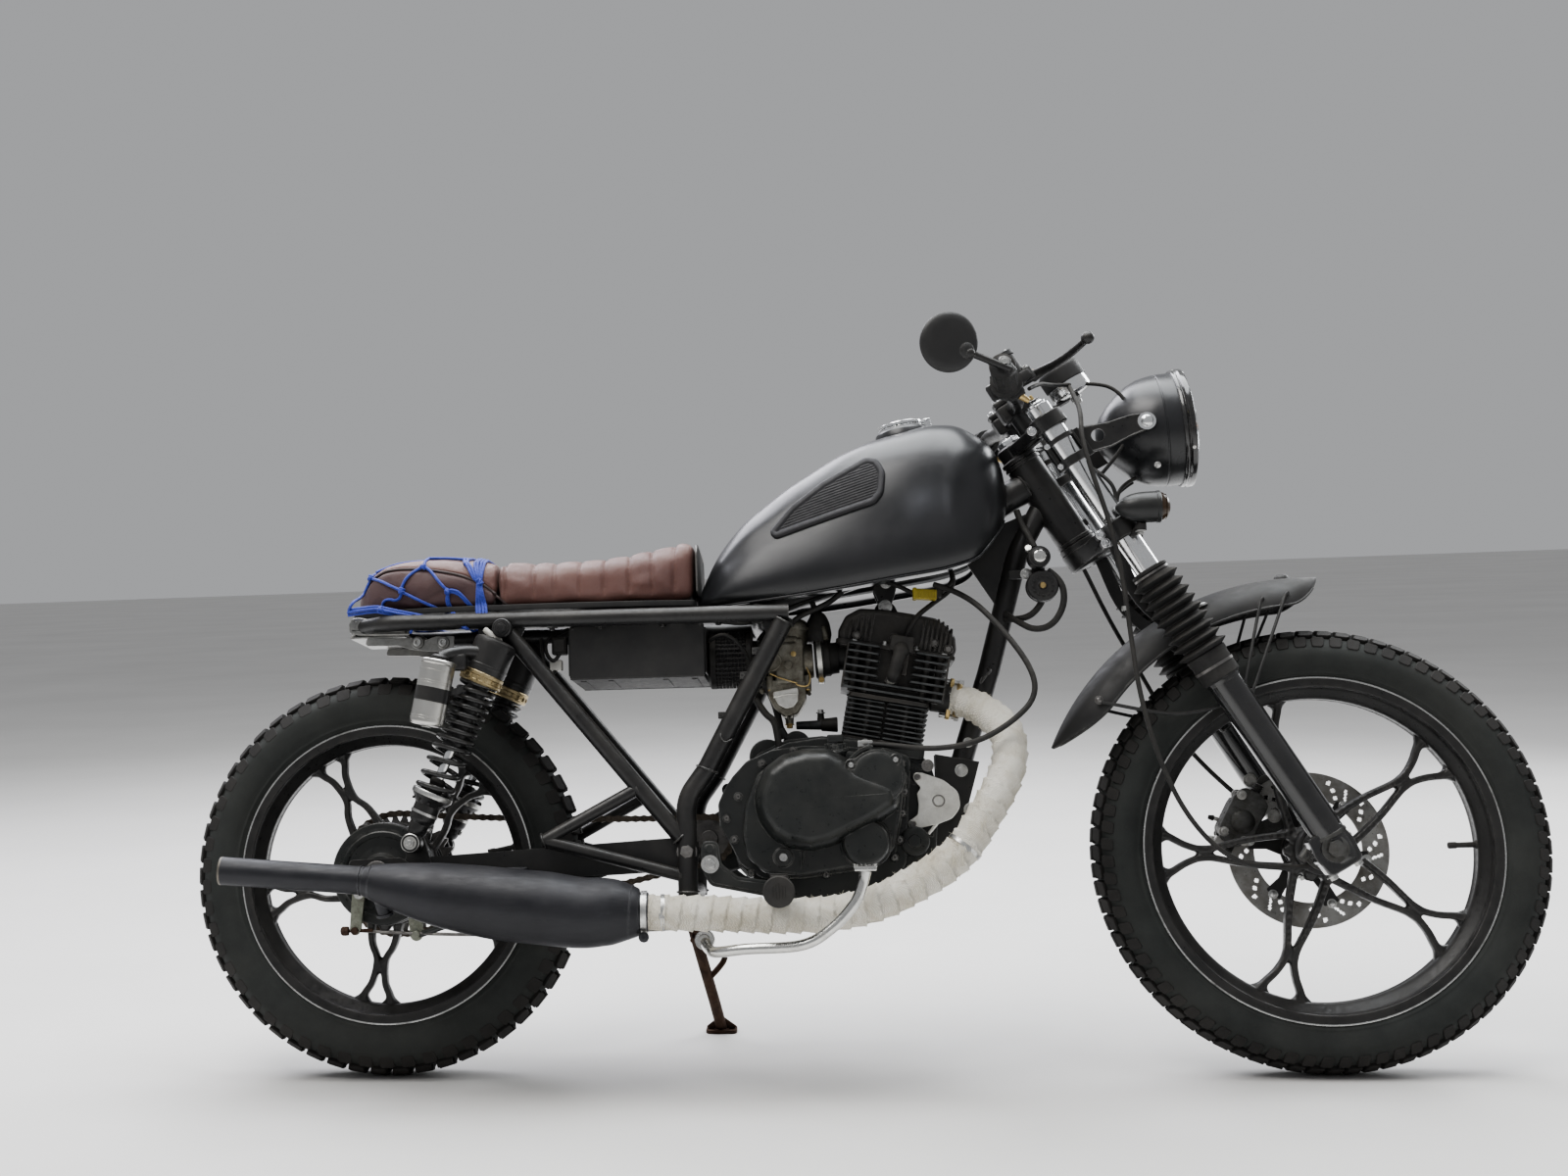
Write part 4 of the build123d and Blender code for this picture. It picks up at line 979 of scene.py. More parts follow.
def spokes_mesh(axle, inner, hub_r, y0, y1, turn0, bore, voxel, zh, zr):
    s = Shape()
    fr = inner * 0.72
    lines = []
    for i in range(5):
        A0 = radians(turn0 + 72 * i)
        ux, uz = np.array([cos(A0), 0, sin(A0)]), np.array([-sin(A0), 0, cos(A0)])
        c = np.array(axle)
        for sg in (-1, 1):
            q = lambda r, z: c + ux * r + uz * z * sg
            bar = catmull([q(hub_r - 14, zh), q(hub_r + 6, zh * 0.93), q((hub_r + fr) / 2, (zh + 8) / 2 + 1.0),
                           q(fr - 14, 7.4), q(fr, 6.2), q(fr + 12, 7.6), q((fr + inner) / 2, zr * 0.5),
                           q(inner - 14, zr * 0.82), q(inner - 2, zr), q(inner + 9, zr * 1.14)], 5)
            bar_rings(s, bar, [8, 5.6, 4.9, 4.8, 5.0, 4.9, 4.9, 5.2, 6.4, 12],
                      [15, 13, 12, 11.5, 11, 11, 11, 11, 11.5, 12.5])
            lines.append(bar)
            # webs that fill the corners at the rim
            for dz in (-1, 1):
                web = [q(inner - 11, zr * 0.86 + dz), q(inner - 3, zr + dz * 6), q(inner + 6, zr * 1.1 + dz * 13)]
                bar_rings(s, catmull(web, 4), [3.5, 5, 8], [7, 7.5, 8])
        # web where the two bars meet
        bar_rings(s, [c + ux * (fr - 12), c + ux * fr, c + ux * (fr + 10)], [4.5, 6, 5], [6, 7, 6])
        bar_rings(s, [c + ux * (hub_r - 8), c + ux * (hub_r + 11)], [16, 6], [10, 8])
    # hub barrel
    h = (y1 - y0) / 2
    s.lathe([(0, -h), (hub_r - 5, -h), (hub_r - 1.5, -h + 1.5), (hub_r, -h + 5), (hub_r - 1, -14),
             (hub_r - 1, 14), (hub_r, h - 5), (hub_r - 1.5, h - 1.5), (hub_r - 5, h), (0, h)],
            (axle[0], (y0 + y1) / 2, axle[2]), (0, 1, 0), 64, x=(1, 0, 0))
    me = bpy.data.meshes.new("spokes_raw")
    me.from_pydata(np.vstack(s.v).tolist(), [], s.f)
    bm = bmesh.new()
    bm.from_mesh(me)
    bmesh.ops.recalc_face_normals(bm, faces=bm.faces)
    bm.to_mesh(me)
    bm.free()
    me = applied(me, [("REMESH", dict(mode="VOXEL", voxel_size=voxel, use_smooth_shade=True)),
                      ("SMOOTH", dict(factor=0.5, iterations=9))])
    co = mesh_co(me)
    # a shallow channel along each bar's face
    L = np.vstack([np.asarray(b)[4:-6] for b in lines])
    from mathutils.kdtree import KDTree
    kd = KDTree(len(L))
    for i, p in enumerate(L):
        kd.insert((p[0], 0, p[2]), i)
    kd.balance()
    yo = co[:, 1].copy()
    for i in np.nonzero((np.abs(co[:, 1]) > 5.0) & (np.abs(co[:, 1]) < 14.5))[0]:
        _, _, d = kd.find((co[i, 0], 0, co[i, 2]))
        if d < 3.2:
            yo[i] = co[i, 1] - np.sign(co[i, 1]) * 1.7 * (1 - (d / 3.2) ** 2)
    co[:, 1] = yo
    set_co(me, to_row(co))
    me.shade_smooth()
    return me


def wheel(name, axle, R, w, inner, hub_r, y0, y1, turn0, bore, body, node, zh, zr):
    s = rim_shape(axle, R, w, inner)
    # the valve
    va = turn0 + 72 * 4 + 36
    v0, v1 = np.array(polar(axle, inner + 2, va, -6)), np.array(polar(axle, inner - 30, va, -12))
    s.rod(v0, v1, 4.2, 3.6, 16, 2, 0.6)
    d = unit(v1 - v0)
    s.rod(v1 - d * 2, v1 + d * 9, 4.6, 4.6, 16, 2, 0.8)
    s.rod(v0 - d * 1, v0 + d * 5, 7.0, 5.0, 18, 2, 0.8)
    o = piece(name + "_rim", s, [WHEELP, RIMEDGE, RUBBER], body, node, angle=50)
    me = spokes_mesh(axle, inner, hub_r, y0, y1, turn0, bore, 2.2, zh, zr)
    me = applied(me, [("DECIMATE", dict(ratio=0.4))])
    me.materials.clear()
    me.materials.append(WHEELP)
    piece(name + "_spokes", me, [WHEELP], body, (), weighted=False)
    return o


wheel("front_wheel", AXLE_F, 239.5, 37.0, 210, 34, -44, 50, 37, 8, "front_wheel", "front_wheel_casting", 24, 29)
wheel("rear_wheel", AXLE_R, 218.6, 38.0, 190, 74, -50, 40, 47, 9, "rear_wheel", "rear_wheel_casting", 22, 22)

# hub faces: raised collars and rings
hs = Shape()
hs.lathe([(9, -44.4), (9, -47), (24, -47), (25.5, -45.5), (26, -43)], AXLE_F, (0, 1, 0), 48, 0)
hs.lathe([(30, -45), (33.6, -44.2), (35.2, -41.5), (35.2, -31), (33.8, -29)], AXLE_F, (0, 1, 0), 48, 1)
hs.lathe([(9, 50), (9, 51), (26, 51), (28, 49), (34.5, 47), (35, 40), (33, 38)], AXLE_F, (0, 1, 0), 48, 0)
piece("front_hub_collars", hs, [WHEELP, PLASTIC], "front_wheel")
rs = Shape()
rs.lathe([(60, -50.5), (68, -50.5), (73.2, -49.4), (75, -46.5), (75, -38), (72.5, -36)], AXLE_R,
         (0, 1, 0), 72, 0)
for k in range(3):
    rs.lathe([(72, 34 - 20 * k), (76.2, 33 - 20 * k), (76.2, 30 - 20 * k), (72, 29 - 20 * k)], AXLE_R,
             (0, 1, 0), 72, 0)
rs.lathe([(12, 40), (12, 42.5), (34, 42.5), (40, 39.6), (66, 39.8), (71, 38.8), (74.4, 35.5)], AXLE_R,
         (0, 1, 0), 64, 0)
piece("rear_hub_rings", rs, [WHEELP], "rear_wheel")

# brake disc: steel rotor with slots and holes on a black carrier
DY, DT, DR = 54.0, 4.5, 110.0


def ring_with_holes(s, axle, y, t, r0, r1, holes, n=240, mat=0):
    """Flat annulus made of small cells, with the cells inside a hole left out and walls added."""
    nr = max(3, int((r1 - r0) / 1.6))
    rr = np.linspace(r0, r1, nr + 1)
    th = np.arange(n) * 2 * pi / n
    rc_, tc = (rr[:-1] + rr[1:]) / 2, th + pi / n
    G = np.ones((nr, n), bool)
    X, Z = rc_[:, None] * np.cos(tc), rc_[:, None] * np.sin(tc)
    for hr, ha, rad in holes:
        G &= np.hypot(X - hr * cos(ha), Z - hr * sin(ha)) > rad
    verts = []
    for sgn in (-1, 1):
        for r in rr:
            verts += [(axle[0] + r * cos(a), y + sgn * t / 2, axle[2] + r * sin(a)) for a in th]
    P = (nr + 1) * n
    vid = lambda side, i, j: side * P + i * n + j % n
    faces = []
    for i in range(nr):
        for j in range(n):
            if not G[i, j]:
                continue
            faces.append((vid(0, i, j), vid(0, i, j + 1), vid(0, i + 1, j + 1), vid(0, i + 1, j)))
            faces.append((vid(1, i, j), vid(1, i + 1, j), vid(1, i + 1, j + 1), vid(1, i, j + 1)))
            for ii, jj, e in ((i - 1, j, ((i, j), (i, j + 1))), (i + 1, j, ((i + 1, j + 1), (i + 1, j))),
                              (i, j - 1, ((i + 1, j), (i, j))), (i, j + 1, ((i, j + 1), (i + 1, j + 1)))):
                if ii < 0 or ii >= nr or not G[ii, jj % n]:
                    (a, b), (c, d) = e
                    faces.append((vid(0, a, b), vid(1, a, b), vid(1, c, d), vid(0, c, d)))
    s.add(verts, faces, mat)


ds = Shape()
holes = []
for k in range(12):
    a = radians(30 * k + 4)
    for j, (r, off) in enumerate(((84, -4), (92, 1), (100, 6))):
        holes.append((r, a + radians(off), 3.4))
    if k % 2:
        for j in range(8):
            holes.append((80 + j * 2.8, a + radians(15 + j * 0.9), 2.1))
ring_with_holes(ds, AXLE_F, DY, DT, 74, DR, holes, 300)
piece("front_disc_rotor", ds, [DISCM], "front_wheel", "front_brake_disc", weighted=False)
cs = Shape()
cs.lathe([(20, DY - 3.5), (36, DY - 3.5), (38, DY - 1.5), (38, DY + 2.5), (36, DY + 3.5), (20, DY + 3.5)],
         AXLE_F, (0, 1, 0), 48, 0, closed=True)
for k in range(6):
    a = 60 * k + 50
    p0, p1 = np.array(polar(AXLE_F, 34, a, DY)), np.array(polar(AXLE_F, 79, a, DY))
    u, w = unit(p1 - p0), np.array((-sin(radians(a)), 0, cos(radians(a))))
    arm_ = rounded([(0, -13), (22, -7.5), (38, -10), (47, -12), (47, 12), (38, 10), (22, 7.5), (0, 13)], 3)
    cs.prism(arm_, p0, u, w, -2.8, 2.8, 0, 0.8)
    cs.bolt(polar(AXLE_F, 80, a, DY - 2.6), (0, -1, 0), 4.6, 2.2, 1, "dome", True)
    cs.bolt(polar(AXLE_F, 28, a + 30, DY - 3), (0, -1, 0), 4.4, 3.5, 1, "cap", False)
piece("front_disc_carrier", cs, [WHEELP, STEEL], "front_wheel")

# sprocket with teeth
sp = Shape()
nt = 36
prof = []
for k in range(nt):
    for f, r in ((0.0, 78.0), (0.18, 82.5), (0.32, 88.0), (0.5, 91.0), (0.68, 88.0), (0.82, 82.5)):
        a = 2 * pi * (k + f) / nt
        prof.append((r * cos(a), r * sin(a)))
outer = np.array(prof)
n_o = len(outer)
ang = np.arctan2(outer[:, 1], outer[:, 0])
inner_ = np.stack([64 * np.cos(ang), 64 * np.sin(ang)], 1)
core = np.stack([38 * np.cos(ang), 38 * np.sin(ang)], 1)
cy = 66.0
ringz = lambda q, y: np.stack([AXLE_R[0] + q[:, 0], np.full(len(q), y), AXLE_R[2] + q[:, 1]], 1)
sp.rings([ringz(inner_, cy - 3), ringz(outer * 0.985, cy - 2.9), ringz(outer, cy - 1.6),
          ringz(outer, cy + 1.6), ringz(outer * 0.985, cy + 2.9), ringz(inner_, cy + 3)], 0, closed=True)
for k in range(5):
    a = radians(72 * k + 36)
    u, w = np.array((cos(a), 0, sin(a))), np.array((-sin(a), 0, cos(a)))
    arm_ = rounded([(24, -15), (45, -8), (66, -13), (66, 13), (45, 8), (24, 15)], 4)
    sp.prism(arm_, (AXLE_R[0], cy, AXLE_R[2]), u, w, -2.8, 2.8, 0, 0.6)
    sp.bolt((AXLE_R[0] + 44 * cos(a), cy + 2.9, AXLE_R[2] + 44 * sin(a)), (0, 1, 0), 6, 4, 1)
sp.lathe([(12, 40), (30, 40), (30, 62), (34, 63), (34, 69), (24, 70), (24, 64), (12, 64)], AXLE_R,
         (0, 1, 0), 48, 0, closed=True)
piece("sprocket_teeth", sp, [DARKST, STEEL], "rear_wheel", "rear_sprocket")
# ------------------------------------------------------------- body
from mathutils.bvhtree import BVHTree

TANK_TOP = [(469, 684), (477, 705), (495, 743), (514, 771), (539, 799), (568, 822), (600, 846),
            (636, 868), (678, 893), (714, 909), (742, 917), (770, 924), (804, 932), (825, 933),
            (849, 930), (872, 918), (892, 903), (905, 883), (914, 854), (917, 826)]
TANK_LOW = [(469, 667), (506, 669), (557, 672), (624, 678), (690, 686), (757, 696), (816, 705),
            (849, 714), (866, 722), (880, 737), (893, 754), (907, 776), (915, 802), (917, 824)]
TANK_W = [(469, 64, 52), (520, 96, 76), (600, 118, 98), (680, 130, 112), (760, 134, 118),
          (822, 130, 114)]


def smooth_line(pts, n=6):
    q = catmull(pts, n)
    return q[np.argsort(q[:, 0])]


TT, TL, TW = smooth_line(TANK_TOP), smooth_line(TANK_LOW), catmull(TANK_W, 8)


def tank_dims(x):
    zt, zb = np.interp(x, TT[:, 0], TT[:, 1]), np.interp(x, TL[:, 0], TL[:, 1])
    wb, wt = np.interp(x, TW[:, 0], TW[:, 1]), np.interp(x, TW[:, 0], TW[:, 2])
    if x > 822:
        g = sqrt(max(0.0, 1 - (min(1.0, (x - 822) / 95.6)) ** 2.3))
        wb, wt = wb * g, wt * g
    return zt, zb, wb, wt


def tank_half(x, n=5):
    """Half section, from the lip up to the top middle: (y, z), y positive."""
    zt, zb, wb, wt = tank_dims(x)
    h = zt - zb
    w = max(wb, 1.0)
    lip = min(9.0, w * 0.2)
    p = [(w - lip, zb), (w - lip * 0.25, zb + 0.07 * h), (w + 0.5, zb + 0.19 * h),
         (w - (w - wt) * 0.34, zb + 0.38 * h), (wt + 1.0, zb + 0.58 * h),
         (wt * 0.86, zb + 0.78 * h), (wt * 0.60, zb + 0.925 * h), (wt * 0.30, zt - 0.018 * h),
         (0.0, zt)]
    q = catmull(p, n)
    return q


def tank_ring(x):
    q = tank_half(x)
    zt, zb, wb, wt = tank_dims(x)
    h = zt - zb
    zc = 676 + (x - 560) * 0.3167 if x < 800 else 752 + (x - 800) * 0.586
    arch = min(max(zc + 26 - zb, 0.0), 0.55 * h)
    k = min(1.0, wb / 60)
    up = min(5.0, h * 0.06)
    low = [(0.0, zb + up + arch), (14 * k, zb + up + arch * 0.93), (25 * k, zb + up + arch * 0.55),
           (30 * k, zb + up + arch * 0.1), (38 * k, zb + up), (max(wb - 16, 40 * k), zb + up),
           (max(wb - 11.5, 41 * k), zb + 1.5)]
    half = np.vstack([low, q])
    r = np.column_stack([np.full(len(half), x), -half[:, 0], half[:, 1]])
    left = r[1:-1][::-1] * (1, -1, 1)
    return np.vstack([r, left])


u = np.linspace(0, 1, 86)
xs = 469 + 448.0 * (1 - np.cos(u * pi * 0.5)) * 0.16 + 448.0 * np.sin(u * pi / 2) * 0.84
xs = np.interp(np.linspace(0, 1, 86), np.linspace(0, 1, 86), xs)
xs[-1] = 916.8
tank_s = Shape()
tank_s.rings([tank_ring(x) for x in xs], 0)
v = np.vstack(tank_s.v)
a0_ = np.array(st(0, 0, 600))
axd = np.array(AX)
tt_ = (v - a0_) @ axd
near = a0_ + tt_[:, None] * axd
dv = v - near
dist = np.linalg.norm(dv, axis=1)
hit = (dist < 39.5) & (tt_ > 20)
v[hit] = near[hit] + dv[hit] / np.maximum(dist[hit], 1e-6)[:, None] * 39.5
tank_s.v = [v]
# filler neck ring and hinge ears
CU, CW = np.array((cos(radians(9)), 0, sin(radians(9)))), np.array((-sin(radians(9)), 0, cos(radians(9))))
CAPO = np.array((772.0, 0.0, 928.5))
cap_at = lambda a, b, c: CAPO + CU * a + np.array((0, 1, 0)) * b + CW * c
tank_s.lathe([(40, -9), (38.5, -2), (36.5, 0.6), (34.6, 1.6)], CAPO, CW, 64, 0)
tank_s.lathe([(25.5, -8), (25.5, 3.6), (26.4, 4.8), (28, 5.0), (33, 4.9), (34.3, 4.0), (34.4, 0.5)],
             CAPO, CW, 64, 1)
for sg in (-1, 1):
    tank_s.box(cap_at(38.5, sg * 8.1, 4.5), (10, 4.0, 13), 1, 1.0,
               np.column_stack([CU, (0, 1, 0), CW]))
tank_s.rod(cap_at(38, -11, 8.5), cap_at(38, 11, 8.5), 2.0, n=16, mat=1)
piece("tank_shell", tank_s, [TANKP, CHROME], "frame", "fuel_tank", angle=50)

lid = Shape()
lid.lathe([(0, 5.6), (30.8, 5.6), (32, 6.4), (32.0, 9.6), (31.2, 11.2), (28.5, 11.9), (25.5, 11.2),
           (24.2, 11.0), (20, 12.2), (12, 13.0), (0, 13.3)], CAPO, CW, 64, 0)
for k in range(28):
    a = 2 * pi * k / 28
    c = CAPO + CU * 31.7 * cos(a) + np.array((0, 31.7 * sin(a), 0)) + CW * 8.1
    if abs(a) > 0.5 and abs(a - 2 * pi) > 0.5:
        lid.rod(c - CW * 2.3, c + CW * 2.3, 1.5, n=8, b=0.5)
lid.box(cap_at(-4, 0, 13.6), (18, 9, 2.6), 0, 1.0, np.column_stack([CU, (0, 1, 0), CW]))
lid.rod(cap_at(-10, 0, 13), cap_at(-10, 0, 15.4), 6.5, n=24)
lid.box(cap_at(31.5, 0, 8.6), (15, 10, 4.6), 0, 1.2, np.column_stack([CU, (0, 1, 0), CW]))
lid.rod(cap_at(38, -4.9, 8.5), cap_at(38, 4.9, 8.5), 4.3, n=20)
piece("filler_cap", lid, [CHROME], "fuel_cap", "fuel_cap", angle=40)

# folded seam flange round the foot of the tank
seam = Shape()
for sg in (-1, 1):
    path = []
    for x in np.r_[np.linspace(470, 860, 60), np.linspace(865, 909, 14)]:
        zt, zb, wb, wt = tank_dims(x)
        path.append((x, sg * (wb - min(9, wb * 0.2) + 0.5), zb - 0.6))
    seam.tube(path, 1, section=rounded([(-3.2, -1.5), (3.2, -1.5), (3.2, 1.5), (-3.2, 1.5)], 1.0, 2),
              up=(0, 1, 0))
seam.tube([(469.5, y, 667.5) for y in np.linspace(-56, 56, 12)], 1,
          section=rounded([(-3, -1.6), (3, -1.6), (3, 1.6), (-3, 1.6)], 1.0, 2), up=(1, 0, 0))
piece("tank_seam", seam, [TANKP], "frame", angle=40)

# ----------------------------------------------------- knee pads
PAD_O = [(576, 770), (584, 759), (727, 801), (739, 816), (743, 849), (733, 869), (716, 873),
         (652, 839), (607, 806)]
PAD_R = [9, 8, 16, 20, 20, 12, 16, 60, 60]


def tank_y(x, z):
    q = tank_half(x)
    k = int(np.argmax(q[:, 1] > z)) if (q[:, 1] > z).any() else len(q) - 1
    k = max(k, 1)
    f = (z - q[k - 1, 1]) / max(q[k, 1] - q[k - 1, 1], 1e-6)
    return q[k - 1, 0] + f * (q[k, 0] - q[k - 1, 0])


def tank_skin(x, z, h):
    """Point h proud of the tank's side."""
    y = tank_y(x, z)
    nz = -(tank_y(x, z + 6) - tank_y(x, z - 6)) / 12
    nx = -(tank_y(x + 6, z) - tank_y(x - 6, z)) / 12
    n = unit((nx, 1, nz))
    return np.array((x, y, z)) + n * h


def cut_line(poly, p, d):
    """Where the line p + t d crosses a closed outline."""
    ts = []
    for a, b in zip(poly, np.roll(poly, -1, 0)):
        e = b - a
        det = d[0] * -e[1] + d[1] * e[0]
        if abs(det) < 1e-9:
            continue
        r = a - p
        t = (r[0] * -e[1] + r[1] * e[0]) / det
        k = (d[0] * r[1] - d[1] * r[0]) / det
        if 0 <= k < 1:
            ts.append(t)
    return sorted(ts)


pads = Shape()
out = rounded(PAD_O, PAD_R, 5)
if area2(out) < 0:
    out = out[::-1]
d0 = np.r_[out, out[:1]]
out = resample(d0, 5.0)[:-1]
for sg in (-1, 1):
    rings = []
    for ins, h in ((0, -1.0), (0.2, 2.4), (1.4, 4.2), (3.4, 5.0), (6.4, 4.9), (8.2, 4.0), (9.4, 2.6), (11, 2.2)):
        q = inset(out, ins)
        rings.append([tank_skin(x, z, h) * (1, sg, 1) for x, z in q])
    q = inset(out, 11)
    c = q.mean(0)
    for f in (0.75, 0.5, 0.25, 0.05):
        rings.append([tank_skin(*(c + (p - c) * f), 2.2) * (1, sg, 1) for p in q])
    pads.rings(rings, 0, caps=(False, True))
    poly = inset(out, 10.0)
    dd = unit((144.0, 42.0))
    nn = np.array((-dd[1], dd[0]))
    base = np.array((660.0, 815.0))
    for k in range(-14, 16):
        p = base + nn * k * 3.9
        t = cut_line(poly, p, dd)
        if len(t) < 2 or t[-1] - t[0] < 8:
            continue
        xs_ = np.linspace(t[0], t[-1], max(3, int((t[-1] - t[0]) / 11)))
        rr = []
        for tt in xs_:
            c = p + dd * tt
            rr.append([tank_skin(*(c + nn * o), h) * (1, sg, 1)
                       for o, h in ((-1.5, 2.0), (-0.8, 3.1), (0.8, 3.1), (1.5, 2.0))])
        pads.rings(rr, 0)
piece("knee_pad_rubber", pads, [PADR], "frame", "knee_pads", angle=50)

# ----------------------------------------------------------- seat


def cushion(name, rows, r_top, grow, voxel, cap, side=0.0):
    """Padded form from rows (x, z0, z1, half width, crown): remeshed, then blown up a little."""
    s = Shape()
    rings = []
    for x, z0, z1, w, crown in rows:
        rt = min(r_top, (z1 - z0) * 0.55, w * 0.8)
        rb = min(9.0, (z1 - z0) * 0.25)
        q = [(-w, z0), (w, z0), (w - side, z1), (w * 0.5, z1 + crown * 0.72), (0, z1 + crown),
             (-w * 0.5, z1 + crown * 0.72), (-w + side, z1)]
        q = rounded(q, [rb, rb, rt, 30, 60, 30, rt], 6)
        q = resample(np.r_[q, q[:1]], 1.0)
        q = q[np.linspace(0, len(q) - 1, 97).astype(int)[:-1]]
        rings.append(np.column_stack([np.full(96, x), q[:, 0], q[:, 1]]))
    s.rings(rings)
    me = bpy.data.meshes.new(name)
    me.from_pydata(to_row(np.vstack(s.v)).tolist(), [], s.f)
    bm = bmesh.new()
    bm.from_mesh(me)
    bmesh.ops.triangulate(bm, faces=[f for f in bm.faces if len(f.verts) > 4])
    bmesh.ops.recalc_face_normals(bm, faces=bm.faces)
    bm.to_mesh(me)
    bm.free()
    me = applied(me, [("REMESH", dict(mode="VOXEL", voxel_size=voxel / 1000)),
                      ("SMOOTH", dict(factor=0.5, iterations=4))])
    start = mesh_co(me)
    o = bpy.data.objects.new("work", me)
    bpy.context.scene.collection.objects.link(o)
    md = o.modifiers.new("cloth", "CLOTH")
    st_ = md.settings
    st_.quality = 5
    st_.mass = 0.3
    st_.use_pressure = True
    st_.uniform_pressure_force = 4.0
    st_.effector_weights.gravity = 0.0
    st_.tension_stiffness = st_.compression_stiffness = 15
    st_.bending_stiffness = 2.0
    md.collision_settings.use_collision = False
    sc = bpy.context.scene
    for fr in range(1, 21):
        sc.frame_set(fr)
    dg = bpy.context.evaluated_depsgraph_get()
    me2 = bpy.data.meshes.new_from_object(o.evaluated_get(dg))
    bpy.data.objects.remove(o)
    sc.frame_set(1)
    co = mesh_co(me2)
    if len(co) == len(start) and np.isfinite(co).all():
        mv = co - start
        ln = np.linalg.norm(mv, axis=1)
        k = np.minimum(1.0, cap / 1000 / np.maximum(ln, 1e-9))
        co = start + mv * k[:, None]
        set_co(me2, co)
        me = me2
    co = from_row(mesh_co(me))
    set_co(me, to_row(co))
    me = applied(me, [("SMOOTH", dict(factor=0.5, iterations=3)), ("SUBSURF", dict(levels=1, render_levels=1))])
    return me


def normals_of(me):
    n = np.zeros(len(me.vertices) * 3)
    me.vertices.foreach_get("normal", n)
    return n.reshape(-1, 3) @ np.linalg.inv(ROW[:3, :3] * 1000).T


def tree_of(me):
    co = from_row(mesh_co(me))
    me.calc_loop_triangles()
    tris = [tuple(t.vertices) for t in me.loop_triangles]
    return BVHTree.FromPolygons(co.tolist(), tris)


SEAT_ROWS = [(465.5, 681, 756, 88, 3), (463, 679, 761, 92, 4), (452, 678, 759, 96, 5),
             (430, 677, 752, 101, 5), (400, 677, 746, 105, 6), (360, 676, 739, 109, 6),
             (320, 676, 735, 112, 6), (260, 675, 733, 114, 6), (210, 675, 734, 114, 6),
             (183, 675, 736, 114, 6)]
GROOVES = [192, 235, 266, 302, 336, 372, 406, 439]
seat_me = cushion("seat_leather", SEAT_ROWS, 26, 4, 4.6, 5.0, side=5)


def sew(me, grooves, deep, x_lo, x_hi, puff=2.0, z_low=676.0):
    co, n = from_row(mesh_co(me)), normals_of(me)
    d = np.zeros(len(co))
    gap = np.full(len(co), 1e3)
    for i, g in enumerate(grooves):
        gx = g + 1.2 * np.sin(co[:, 1] / 31 + i)
        dx = np.abs(co[:, 0] - gx)
        gap = np.minimum(gap, dx)
    d -= deep * np.exp(-(gap / 2.6) ** 2)
    d -= deep * 0.35 * np.exp(-(gap / 9.0) ** 2)
    d += puff * (1 - np.exp(-(gap / 13.0) ** 2))
    # creases that run out from the seams
    d += 0.55 * np.sin(co[:, 1] / 5.2 + co[:, 0] / 9.0) * np.exp(-(gap / 8.0) ** 2)
    low = sstep(z_low + 1, z_low + 24, co[:, 2])
    inside = sstep(x_lo - 3, x_lo + 3, co[:, 0]) * (1 - sstep(x_hi - 3, x_hi + 3, co[:, 0]))
    d *= low * inside
    # pulled in and tacked under along the foot
    foot = np.exp(-((co[:, 2] - z_low - 4) / 5.0) ** 2) * (np.abs(co[:, 1]) > 70)
    d -= 2.4 * foot * (0.7 + 0.3 * np.sin(co[:, 0] / 11))
    co = co + n * d[:, None]
    set_co(me, to_row(co))


sew(seat_me, GROOVES, 2.6, 178, 466, 0.9)
for m in (LEATHER,):
    seat_me.materials.clear()
    seat_me.materials.append(LEATHER)
seat_me.shade_smooth()
seat_me = applied(seat_me, [("DECIMATE", dict(ratio=0.72))])
o = piece("seat_leather", seat_me, [LEATHER], "frame", "seat", weighted=False)

HUMP_ROWS = [(180, 675, 736, 114, 7), (150, 674, 740, 113, 8), (110, 673, 744, 111, 8),
             (70, 673, 746, 107, 8), (35, 673, 745, 101, 7), (8, 674, 740, 94, 6),
             (-14, 676, 728, 84, 5), (-28, 678, 712, 70, 4), (-37, 681, 699, 54, 2)]
hump_me = cushion("hump_leather", HUMP_ROWS, 30, 4, 4.6, 6.0, side=8)
hump_me = applied(hump_me, [("DECIMATE", dict(ratio=0.75))])
SEAMLINE = [(-30, 700), (-14, 722), (0, 731), (14, 736), (41, 737), (74, 734), (111, 727), (135, 720),
            (162, 707), (180, 693)]
co, nn_ = from_row(mesh_co(hump_me)), normals_of(hump_me)
SL_ = catmull(SEAMLINE, 6)
zs_ = np.interp(co[:, 0], SL_[:, 0], SL_[:, 1])
side_ = np.abs(co[:, 1]) > 60
dz = co[:, 2] - zs_
d = -2.6 * np.exp(-(dz / 3.2) ** 2) * side_
foot = np.exp(-((co[:, 2] - 679) / 5.0) ** 2)
d -= 2.0 * foot * (0.7 + 0.3 * np.sin(co[:, 0] / 12))
d += 0.8 * np.sin(co[:, 0] / 17 + co[:, 2] / 23) * (~side_) * 0.6
co = co + nn_ * d[:, None]
set_co(hump_me, to_row(co))
hump_me.materials.clear()
for m in (LEATHER, LEATHER2):
    hump_me.materials.append(m)
pc = np.zeros(len(hump_me.polygons) * 3)
hump_me.polygons.foreach_get("center", pc)
pc = from_row(pc.reshape(-1, 3))
below = (pc[:, 2] < np.interp(pc[:, 0], SL_[:, 0], SL_[:, 1])) & (np.abs(pc[:, 1]) > 50)
hump_me.polygons.foreach_set("material_index", below.astype(np.int32))
hump_me.shade_smooth()
o = piece("hump_leather", hump_me, [LEATHER, LEATHER2], "frame", "seat_hump",
          weighted=False)

SEAT_T, HUMP_T = tree_of(seat_me), tree_of(hump_me)


